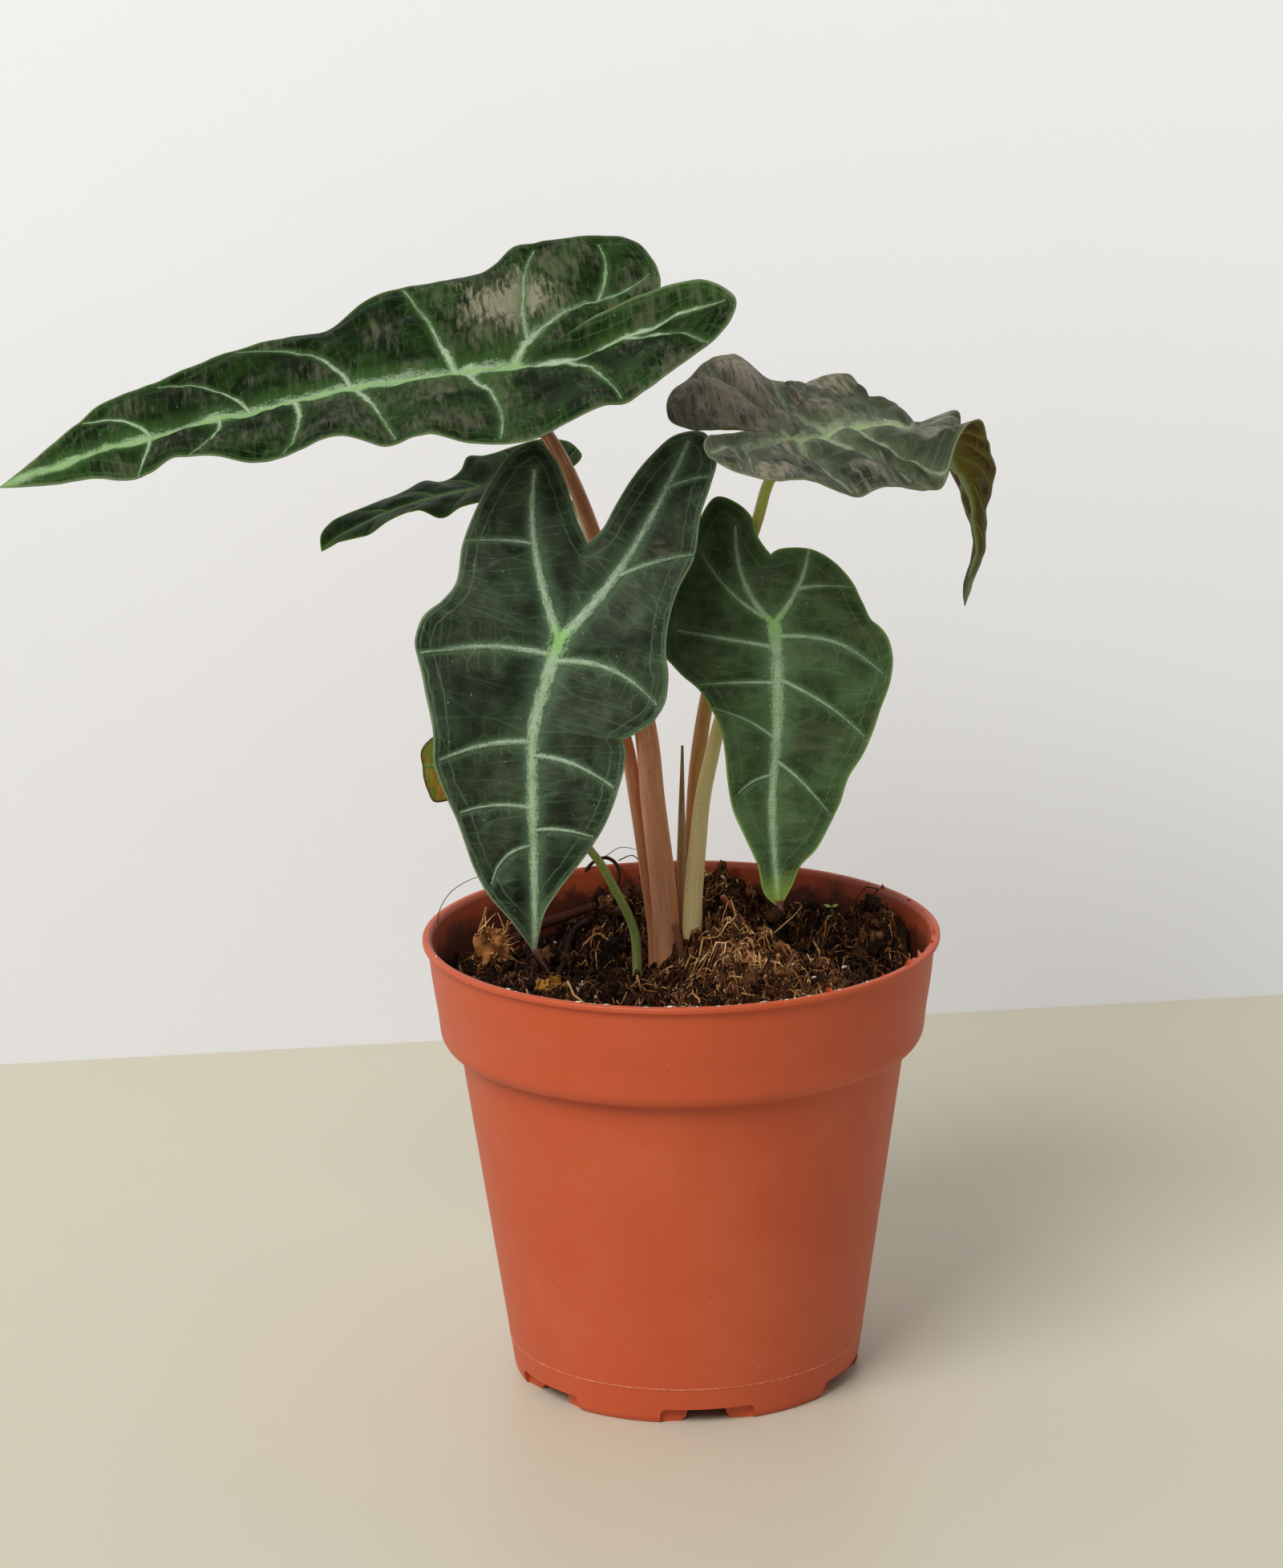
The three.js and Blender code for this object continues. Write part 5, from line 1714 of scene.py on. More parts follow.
@dataclass
class Soil:
    """Damp fibrous peat that fills the pot: its bed, crumbs, fibres and grit."""

    level: float = 92.0
    rings: int = 84
    around: int = 336
    wall_clearance: float = 0.35
    floor: float = 5.75
    crumbs: int = 1000
    small_crumbs: int = 4600
    fibres: int = 3000
    strands: int = 1900
    strand_centre: Pair = (15.0, -6.0)
    strand_spread: Pair = (13.0, 12.0)
    roots: int = 60
    grit: int = 110
    rough_size: float = 9.0
    rough_depth: float = 1.2
    clod_size: float = 6.5
    clod_depth: float = 2.6
    clod_level: float = 0.7
    relief_seed: int = 71
    edge_radius: float = 56.0
    scatter_radius: float = 53.5
    crumb_limit: float = 53.8
    fibre_limit: float = 54.2
    seed: int = 29

    def smooth_height(self, x: np.ndarray, y: np.ndarray) -> np.ndarray:
        """Gives the height of the soil's mounds with a shallow grain, in mm.

        Args:
            x: First coordinates, in mm.
            y: Second coordinates, in mm.

        Returns:
            One height for each place.
        """
        height = np.full(np.shape(x), self.level, float)
        for lump in LUMPS:
            height += lump.height * np.exp(-((x - lump.x) ** 2 + (y - lump.y) ** 2) / lump.reach**2)
        height += 0.8 * np.sin(0.83 * x + 1.7 * np.sin(0.31 * y)) * np.cos(0.71 * y + 1.3)
        height += 0.6 * np.sin(1.37 * y + 0.9 * np.sin(0.57 * x)) * np.cos(1.13 * x - 0.6)
        return height

    def height(self, x: np.ndarray, y: np.ndarray) -> np.ndarray:
        """Gives the height of the soil's surface with its clods and pits, in mm.

        Args:
            x: First coordinates, in mm.
            y: Second coordinates, in mm.

        Returns:
            One height for each place.
        """
        rough = self.rough_depth * ripple(x, y, self.relief_seed, self.rough_size, 4)
        clods = self.clod_depth * np.abs(ripple(x, y, self.relief_seed + 1, self.clod_size, 3))
        return self.smooth_height(x, y) + rough - clods + self.clod_level

    def warmth(self, x: np.ndarray, y: np.ndarray) -> np.ndarray:
        """Gives how much paler the mounds are than the hollows.

        Args:
            x: First coordinates, in mm.
            y: Second coordinates, in mm.

        Returns:
            One tone for each place.
        """
        mounds = (self.smooth_height(x, y) - self.level) / 12.0
        patches = ripple(x, y, self.relief_seed + 2, 14.0, 2)
        return 0.2 * np.clip(mounds, -0.3, 1.0) - 0.07 + 0.07 * patches

    def edge(self, pot: NurseryPot, turn: np.ndarray) -> np.ndarray:
        """Gives the radius where the soil meets the pot's inner wall, around the pot."""
        height = self.smooth_height(self.edge_radius * np.sin(turn), self.edge_radius * np.cos(turn))
        return pot.inner_radius(height) - self.wall_clearance

    def plug_radius(self, pot: NurseryPot, z: float) -> float:
        """Gives the plug's radius at a height in the pot's body."""
        return pot.body_radius(z) - pot.wall - self.wall_clearance

    def bed(self, pot: NurseryPot) -> MeshSketch:
        """Makes the closed plug of soil with its rough top.

        Args:
            pot: The pot that holds the soil.

        Returns:
            The bed's mesh.
        """
        turn = np.arange(self.around) * 2 * math.pi / self.around
        edge = self.edge(pot, turn)
        share = (np.arange(1, self.rings + 1) / self.rings) ** 0.8
        x = edge * share[:, None] * np.sin(turn)
        y = edge * share[:, None] * np.cos(turn)
        rows = [np.stack([x, y, self.height(x, y)], 2).reshape(-1, 3)]
        stations = [(pot.inner_radius(85.0) - 0.4, 85.0), (53.4, 83.0), (50.7, 82.4)]
        stations += [(self.plug_radius(pot, z), z) for z in (79.0, 40.0, self.floor)]
        for radius, z in stations:
            level = np.full(self.around, z)
            rows.append(np.column_stack([radius * np.sin(turn), radius * np.cos(turn), level]))
        count = self.rings + len(stations)
        top = float(self.height(np.zeros(1), np.zeros(1))[0])
        points = np.concatenate([*rows, [[0, 0, top], [0, 0, self.floor]]])
        walls = split_cells(*cells(count, self.around))
        caps = centre_fans(count, self.around)[:, ::-1]
        tone = np.zeros(len(points))
        tone[:-2] = self.warmth(points[:-2, 0], points[:-2, 1]) - 0.06
        sketch = MeshSketch()
        sketch.add(points, np.concatenate([walls, caps]), 0, tone=tone)
        return sketch

    def scatter(self, draw: np.random.Generator, count: int, lump_share: float) -> np.ndarray:
        """Draws places on the soil, some of them gathered on its mounds.

        Args:
            draw: Source of random numbers.
            count: Number of places.
            lump_share: Share of the places that lie on a mound.

        Returns:
            The places as [x, y], in mm.
        """
        radius = self.scatter_radius * np.sqrt(draw.uniform(0, 1, count))
        turn = draw.uniform(0, 2 * math.pi, count)
        places = np.stack([radius * np.cos(turn), radius * np.sin(turn)], 1)
        raised = [lump for lump in LUMPS if lump.height > 3]
        weights = np.array([lump.height for lump in raised])
        chosen = draw.choice(len(raised), count, p=weights / weights.sum())
        centres = np.array([(lump.x, lump.y) for lump in raised])[chosen]
        reaches = np.array([lump.reach for lump in raised])[chosen]
        gathered = centres + draw.normal(size=(count, 2)) * reaches[:, None] * 0.55
        places = np.where(draw.uniform(size=count)[:, None] < lump_share, gathered, places)
        far = np.linalg.norm(places, axis=1, keepdims=True)
        return places * np.minimum(1.0, self.crumb_limit / far)

    def add_crumbs(
        self, sketch: MeshSketch, draw: np.random.Generator, count: int, sizes: Pair, detail: int,
        share: float,
    ) -> None:
        """Adds lumpy crumbs of peat, half sunk in the soil.

        Args:
            sketch: The mesh to add to.
            draw: Source of random numbers.
            count: Number of crumbs.
            sizes: Smallest and largest radius, in mm.
            detail: Subdivision of the crumbs.
            share: Share of the crumbs that lie on a mound.
        """
        shapes, faces = pebble_shapes(draw, 8, detail)
        places = self.scatter(draw, count, share)
        radius = sizes[0] * (sizes[1] / sizes[0]) ** draw.beta(1.2, 2.4, count)
        scale = radius[:, None] * draw.uniform(0.55, 1.25, (count, 3))
        centre = np.column_stack([places, self.height(places[:, 0], places[:, 1]) + 0.25 * radius])
        turned = np.einsum("nij,nvj->nvi", random_turns(draw, count),
                           shapes[draw.integers(0, len(shapes), count)] * scale[:, None])
        points = (turned + centre[:, None]).reshape(-1, 3)
        shift = np.arange(count)[:, None, None] * shapes.shape[1]
        tone = draw.normal(-0.02, 0.1, count) + self.warmth(places[:, 0], places[:, 1])
        tone = np.repeat(tone, shapes.shape[1])
        sketch.add(points, (faces[None] + shift).reshape(-1, 3), 0, tone=tone)

    def add_fibres(
        self, sketch: MeshSketch, draw: np.random.Generator, places: np.ndarray, lengths: Pair, radii: Pair,
        rise: float, heading: float | None = None,
    ) -> None:
        """Adds thin bent fibres that lie over the soil.

        Args:
            sketch: The mesh to add to.
            draw: Source of random numbers.
            places: The middle of each fibre, as [x, y].
            lengths: Shortest and longest fibre, in mm.
            radii: Thinnest and thickest radius, in mm.
            rise: How far they arch off the soil.
            heading: Main direction in radians, or None for all directions.
        """
        count = len(places)
        stations, sides = 6, 3
        turn = draw.uniform(0, 2 * math.pi, count)
        if heading is not None:
            turn = heading + draw.normal(0, 0.45, count)
        length = draw.uniform(*lengths, count)
        bend = draw.normal(0, 1.9, count)
        wave = draw.normal(0, 0.8, count)
        step = np.linspace(-0.5, 0.5, stations)
        angle = turn[:, None] + bend[:, None] * step + wave[:, None] * np.sin(step * 9)
        move = length[:, None] / (stations - 1)
        back = 0.5 * length[:, None]
        x = places[:, :1] + np.cumsum(np.cos(angle) * move, 1) - back * np.cos(turn)[:, None]
        y = places[:, 1:] + np.cumsum(np.sin(angle) * move, 1) - back * np.sin(turn)[:, None]
        keep = np.minimum(1.0, self.fibre_limit / np.hypot(x, y))
        x, y = x * keep, y * keep
        arch = draw.gamma(1.2, rise, count)[:, None] * (1 - (2 * step) ** 2)
        tilt = draw.normal(0, 0.35, count)[:, None] * np.maximum(step, 0) * length[:, None] * 0.4
        z = self.height(x, y) + 0.15 + arch + np.abs(tilt)
        thick = draw.uniform(*radii, count)[:, None] * (1 - 0.5 * np.abs(2 * step))
        points, faces = tubes(np.stack([x, y, z], 2), thick, sides, (0.02, 0.01, 1.0))
        tone = draw.normal(-0.1, 0.24, count) + 1.1 * self.warmth(places[:, 0], places[:, 1])
        sketch.add(points, faces, 0, tone=np.repeat(tone, stations * sides))

    def build(self, effects: Effects, pot: NurseryPot) -> None:
        """Makes the bed, the crumbs, the fibres and the grit.

        Args:
            effects: The shared effects.
            pot: The pot that holds the soil.
        """
        draw = np.random.default_rng(self.seed)
        bed = self.bed(pot).build("soil_bed")
        settle(bed, Slot.PEAT, [PEAT_FINISH.material(effects)], "soil")
        crumbs = MeshSketch()
        self.add_crumbs(crumbs, draw, self.crumbs, (0.6, 2.6), 2, 0.4)
        settle(crumbs.build("soil_crumbs", False), Slot.PEAT, [CRUMB_FINISH.material(effects)])
        small = MeshSketch()
        self.add_crumbs(small, draw, self.small_crumbs, (0.3, 0.9), 1, 0.35)
        settle(small.build("soil_small_crumbs", False), Slot.PEAT, [CRUMB_FINISH.material(effects)])
        fibres = MeshSketch()
        self.add_fibres(fibres, draw, self.scatter(draw, self.fibres, 0.45), (2, 8), (0.08, 0.3), 0.5)
        strands = self.strand_centre + draw.normal(size=(self.strands, 2)) * self.strand_spread
        self.add_fibres(fibres, draw, strands, (4, 12), (0.1, 0.4), 0.8, -0.5)
        roots = self.scatter(draw, self.roots, 0.3)
        self.add_fibres(fibres, draw, roots, (9, 17), (0.12, 0.26), 1.2)
        settle(fibres.build("peat_fibres"), Slot.PEAT, [FIBRE_FINISH.material(effects)])
        grit = MeshSketch()
        self.add_crumbs(grit, draw, self.grit, (0.25, 0.75), 1, 0.3)
        settle(grit.build("soil_grit", False), Slot.PEAT, [GRIT_FINISH.material(effects)])


def closed_sheet(grid: np.ndarray, thickness: float) -> tuple[np.ndarray, np.ndarray]:
    """Turns a grid of points into a thin closed sheet.

    Args:
        grid: Points shaped (row, column, 3), in mm.
        thickness: Thickness of the sheet, in mm.

    Returns:
        Vertices and triangles.
    """
    rows, columns, _ = grid.shape
    normal = unit(np.cross(np.gradient(grid, axis=0), np.gradient(grid, axis=1)))
    upper = (grid + normal * thickness / 2).reshape(-1, 3)
    lower = (grid - normal * thickness / 2).reshape(-1, 3)
    a, b, c, d = cells(rows, columns, False)
    top = split_cells(a, d, c, b)
    under = rows * columns
    loop = [*range(columns - 1), *range(columns - 1, under - 1, columns),
            *range(under - 1, under - columns, -1), *range(under - columns, 0, -columns)]
    p = np.array(loop)
    q = np.roll(p, -1)
    rim = np.concatenate([np.stack([p, q, p + under], 1), np.stack([q, q + under, p + under], 1)])
    return np.concatenate([upper, lower]), np.concatenate([top, top[:, ::-1] + under, rim])


@dataclass
class Scraps:
    """The odd bits on the soil: bark, a dry leaf, a stick, a root stub, a seedling and a hair."""

    soil: Soil
    rim: float
    bark: Triple = (-44.0, 18.0, 2.0)
    bark_size: Triple = (4.3, 3.2, 4.9)
    fray: int = 170
    fray_reach: Pair = (0.8, 3.6)
    fray_radii: Pair = (0.24, 0.08)
    leaf: Triple = (-30.5, 0.0, 1.3)
    leaf_size: Pair = (7.4, 5.2)
    leaf_thickness: float = 0.3
    chips: int = 22
    chip_lengths: Pair = (1.0, 2.6)
    chip_radii: Pair = (0.16, 0.36)
    flakes: int = 46
    flake_turn: Pair = (-88.0, 26.0)
    flake_sizes: Pair = (0.12, 0.75)
    flake_radii: Pair = (58.3, 59.2)
    seed: int = 17

    def on_soil(self, x: float, y: float, above: float = 0.0) -> np.ndarray:
        """Gives a point over the soil's smooth surface."""
        return np.array([x, y, float(self.soil.smooth_height(np.array(x), np.array(y))) + above])

    def build_bark(self, effects: Effects, draw: np.random.Generator) -> None:
        """Makes the frayed chunk of bark.

        Args:
            effects: The shared effects.
            draw: Source of random numbers.
        """
        shapes, faces = pebble_shapes(draw, 1, 4)
        x, y, above = self.bark
        points = shapes[0] * np.array(self.bark_size)
        crag = ripple(points[:, 0] * 3, points[:, 2] * 3 + points[:, 1] * 4, 7, 5.0, 3)
        points = points * (1 + 0.1 * crag)[:, None]
        turn = np.array(Matrix.Rotation(0.6, 3, "Z") @ Matrix.Rotation(0.35, 3, "Y"))
        points = points @ turn.T + self.on_soil(x, y, above)
        sketch = MeshSketch()
        sketch.add(points, faces, 0, tone=0.12 * ripple(points[:, 0], points[:, 2], 3, 4.0))
        count, stations, sides = self.fray, 5, 3
        starts = points[draw.integers(0, len(points), count)]
        heading = unit(starts - self.on_soil(x, y, above)) * 0.45 + draw.normal(0, 0.6, (count, 3))
        reach = np.linspace(-0.4, 1, stations)[None, :, None]
        reach = reach * draw.uniform(*self.fray_reach, count)[:, None, None]
        fray = starts[:, None] + heading[:, None] * reach + draw.normal(0, 0.14, (count, stations, 3))
        radii = np.tile(np.linspace(*self.fray_radii, stations), (count, 1))
        tone = np.repeat(draw.normal(0.26, 0.22, count), stations * sides)
        sketch.add(*tubes(fray, radii, sides, (0.3, 0.2, 0.93)), 0, tone=tone)
        piece = sketch.build("bark_chunk")
        settle(piece, Slot.BARK, [BARK_FINISH.material(effects)], "bark_chip")

    def build_leaf(self, effects: Effects) -> None:
        """Makes the curled scrap of dry leaf.

        Args:
            effects: The shared effects.
        """
        u, v = np.meshgrid(np.linspace(-1, 1, 34), np.linspace(-1, 1, 24), indexing="ij")
        length, width = self.leaf_size
        ragged = 1 + 0.16 * ripple(u * 9, v * 9, 5, 5.0)
        x = u * length / 2 * ragged * np.sqrt(1 - 0.45 * v**2)
        y = v * width / 2 * ragged * np.sqrt(1 - 0.35 * u**2)
        z = 1.1 * v**2 + 0.5 * u**2 + 0.45 * ripple(x, y, 9, 3.2)
        flat = np.stack([x, y, z], 2)
        turn = np.array(Matrix.Rotation(0.5, 3, "Z") @ Matrix.Rotation(0.3, 3, "X"))
        grid = flat @ turn.T + self.on_soil(*self.leaf)
        points, faces = closed_sheet(grid, self.leaf_thickness)
        sketch = MeshSketch()
        sketch.add(points, faces, 0, tone=0.15 * ripple(points[:, 0], points[:, 1], 4, 4.0) + 0.05)
        piece = sketch.build("dry_leaf_bit")
        settle(piece, Slot.DRY_LEAF, [SCRAP_FINISH.material(effects)], "dry_leaf_scrap")

    def rod(self, route: Sequence[Point], radii: Pair, sides: int = 8) -> tuple[np.ndarray, np.ndarray]:
        """Sweeps a tapered rod along a route.

        Args:
            route: Points that it goes through, in mm.
            radii: Its radii along the route, in mm.
            sides: Number of sides.

        Returns:
            Points in mm and the triangles between them.
        """
        stations = 30
        path = centripetal(route, stations)
        return tubes(path[None], np.linspace(*radii, stations)[None], sides, (0.3, 0.2, 0.1))

    def build_sticks(self, effects: Effects) -> None:
        """Makes the dark stick, the reddish root stub and the short cut stalk.

        Args:
            effects: The shared effects.
        """
        stick = MeshSketch()
        bends = ((-30.5, 5.0, 0.8), (-28.0, 18.0, 1.6), (-25.5, 29.0, 2.4), (-21.0, 37.0, 1.0))
        stick.add(*self.rod([self.on_soil(*bend) for bend in bends], (0.45, 0.95)), 0, tone=-0.02)
        settle(stick.build("dark_stick"), Slot.BARK, [PEAT_FINISH.material(effects)])
        stub = MeshSketch()
        route = [self.on_soil(16.5, 9.0, -1.0), (14.4, 9.2, 105.5), (12.0, 9.0, 108.5), (9.8, 8.6, 111.6)]
        stub.add(*self.rod(route, (0.3, 0.68)))
        stub.add(*self.rod([(0.4, 3.4, 98.0), (-0.6, 3.0, 103.0), (-1.5, 2.6, 106.8)], (1.1, 0.8)))
        finish = StalkFinish((120, 80, 46), (116, 58, 34), (150, 58, 38), (190, 130, 84))
        points = np.concatenate(stub.points)
        stem = np.column_stack([points[:, 0] * 0, points[:, 2], (points[:, 2] - 98) / 14])
        stub.values["stem"] = [stem]
        settle(stub.build("root_stub"), Slot.BARK, [finish.material("root_stub", effects)])

    def build_seedling(self, effects: Effects) -> None:
        """Makes the tiny green seedling.

        Args:
            effects: The shared effects.
        """
        sketch = MeshSketch()
        foot = self.on_soil(36.0, 31.0, -0.5)
        crown = foot + np.array([0.3, 0.0, 4.4])
        bend = (foot + crown) / 2 + [0.4, 0, 0]
        sketch.add(*self.rod([foot, bend, crown], (0.3, 0.25), 6))
        for turn, size in ((0.4, 1.5), (2.9, 1.9), (4.6, 1.3)):
            u, v = np.meshgrid(np.linspace(0, 1, 12), np.linspace(-1, 1, 9), indexing="ij")
            wide = size * 0.5 * np.sin(math.pi * np.clip(u, 0.03, 0.97)) ** 0.8
            away = u * size
            x = away * math.cos(turn) - v * wide * math.sin(turn)
            y = away * math.sin(turn) + v * wide * math.cos(turn)
            sketch.add(*closed_sheet(np.stack([x, y, 0.7 * u + 0.25 * np.abs(v)], 2) + crown, 0.18))
        stem = np.concatenate(sketch.points)
        stem = np.column_stack([stem[:, 0], stem[:, 1], (stem[:, 2] - foot[2]) / 6])
        sketch.values["stem"] = [stem]
        finish = StalkFinish((120, 130, 60), (130, 148, 48), (146, 162, 56), (176, 186, 96))
        settle(sketch.build("seedling"), Slot.STALK_GREEN, [finish.material("seedling", effects)])

    def build_roots(self, effects: Effects) -> None:
        """Makes the hair over the left rim, the root curled over the back rim and the loose roots.

        Args:
            effects: The shared effects.
        """
        routes = (
            ((0.12, 0.08), -0.3, ((-57, 10, 104.6), (-56.6, 13, 107.5), (-54, 17, 111), (-49, 22, 112.8),
                                  (-44, 26, 113))),
            ((0.5, 0.4), -0.3, ((-23, 53.5, 104.8), (-20.5, 54.5, 107.4), (-17.5, 55, 108.2),
                                (-15.2, 54.6, 106.8), (-14.4, 53, 104), (-15.6, 50.5, 100.5))),
            ((0.16, 0.1), -0.1, ((-14.6, 54.6, 107.6), (-11, 55.2, 108.6), (-9.2, 54.6, 106.4),
                                 (-9.6, 53, 103))),
            ((0.12, 0.07), -0.3, ((-18, 54, 108.6), (-14, 55.5, 110.6), (-9.6, 55.2, 110))),
            ((1.5, 1.1), -0.15, ((-40, 34, 94), (-34, 36.5, 96.8), (-27.5, 37, 98.8), (-20, 39, 100.8))),
            ((0.5, 0.35), 0.2, ((-47.5, 29, 94), (-47.8, 28.4, 98), (-46.8, 28, 101), (-46, 28, 104))),
            ((0.22, 0.14), 0.3, ((20, 32, 93.4), (24.5, 35.5, 96), (28, 40, 97.8), (29.6, 45, 98.6),
                                 (28, 48, 98.2))),
            ((0.24, 0.16), 0.0, ((30, 42, 95), (29.4, 45, 99.4), (32.6, 47, 101), (35.4, 44, 97))),
            ((0.24, 0.16), 0.25, ((31, 6, 101), (32.2, 3, 99), (31.4, -1, 97.6), (32.6, -4, 94.5))),
            ((0.3, 0.22), 0.2, ((-23, 14, 98.5), (-19.5, 15, 101), (-17, 13, 100))),
            ((0.2, 0.14), 0.1, ((-47, -16, 95), (-44, -17, 97.6), (-38, -19, 97.4), (-34, -18, 94))),
        )
        sketch = MeshSketch()
        for radii, tone, route in routes:
            sketch.add(*self.rod(route, radii, 6), 0, tone=tone)
        settle(sketch.build("loose_roots"), Slot.PEAT, [FIBRE_FINISH.material(effects)])

    def build_chips(self, effects: Effects, draw: np.random.Generator) -> None:
        """Makes the pale chips of straw and perlite on the soil and the plastic flakes on the rim.

        Args:
            effects: The shared effects.
            draw: Source of random numbers.
        """
        sketch = MeshSketch()
        places = [(-2.3, -10.6, 3.4, -0.8), (35, -6, 1.6, 0.4), (20, -20, 2.8, -0.6), (-20, -22, 2.4, 2)]
        for _ in range(self.chips):
            radius, turn = 50 * math.sqrt(draw.uniform()), draw.uniform(0, 2 * math.pi)
            x, y = radius * math.cos(turn), radius * math.sin(turn)
            places.append((x, y, draw.uniform(*self.chip_lengths), draw.uniform(0, 3)))
        for x, y, length, turn in places:
            middle = self.on_soil(x, y, 1.0)
            step = np.array([math.cos(turn), math.sin(turn), draw.normal(0, 0.35)]) * length / 2
            route = (middle - step, middle + [0, 0, 0.15], middle + step)
            thick = draw.uniform(*self.chip_radii)
            sketch.add(*self.rod(route, (thick, thick * 0.8), 5), 0, tone=draw.normal(0.1, 0.15))
        shapes, faces = pebble_shapes(draw, 4, 1)
        for _ in range(self.flakes):
            turn = math.radians(draw.normal(*self.flake_turn))
            size = np.array([0.45, 1.0, 0.3])
            flake = shapes[draw.integers(len(shapes))] * draw.uniform(*self.flake_sizes) * size
            away = draw.uniform(*self.flake_radii)
            spin = np.array(Matrix.Rotation(turn, 3, "Z"))
            centre = np.array([away * math.cos(turn), away * math.sin(turn), self.rim])
            sketch.add(flake @ spin.T + centre, faces, 0, tone=draw.normal(0.1, 0.2))
        settle(sketch.build("pale_chips"), Slot.PEAT, [GRIT_FINISH.material(effects)])

    def build_tips(self, effects: Effects) -> None:
        """Makes the dry twisted tips of the front leaf and the bright leaf.

        Args:
            effects: The shared effects.
        """
        sketch = MeshSketch()
        tips = (
            (0.9, 2.6, ((-32.8, -34.4, 112.4), (-32, -34.6, 110.4), (-31, -34.8, 108.6),
                        (-29.8, -35, 106.6))),
            (1.1, 0.5, ((22.4, -15, 117.2), (22.5, -15.1, 116.4), (22.7, -15.2, 115.6),
                        (23.2, -15.2, 114.8))),
        )
        for wide, twist, route in tips:
            path = centripetal(route, 24)
            u = np.linspace(0, 1, 24)[:, None]
            v = np.linspace(-1, 1, 7)[None, :]
            half = wide * (1 - 0.85 * u) * v
            angle = twist * u
            side = np.stack([half * np.cos(angle), half * np.sin(angle), 0 * half], 2)
            sketch.add(*closed_sheet(path[:, None] + side, self.leaf_thickness), 0, tone=-0.05)
        settle(sketch.build("dry_tips"), Slot.DRY_LEAF, [DRY_TIP_FINISH.material(effects)])

    def build(self, effects: Effects) -> None:
        """Makes all the odd bits.

        Args:
            effects: The shared effects.
        """
        draw = np.random.default_rng(self.seed)
        self.build_bark(effects, draw)
        self.build_leaf(effects)
        self.build_sticks(effects)
        self.build_seedling(effects)
        self.build_roots(effects)
        self.build_chips(effects, draw)
        self.build_tips(effects)


@dataclass(frozen=True)
class SoftLight:
    """One square studio light: its place and target in metres, its size and its power."""

    name: str
    place: Triple
    target: Triple
    size: float
    power: float
    colour: Colour = (255, 255, 255)

    def build(self) -> None:
        """Makes the light."""
        data = bpy.data.lights.new(self.name, "AREA")
        data.size = self.size
        data.energy = self.power
        data.color = linear(*self.colour)[:3]
        made = bpy.data.objects.new(self.name, data)
        made.location = self.place
        aim = Vector(self.target) - Vector(self.place)
        made.rotation_euler = aim.to_track_quat("-Z", "Y").to_euler()
        bpy.context.scene.collection.objects.link(made)


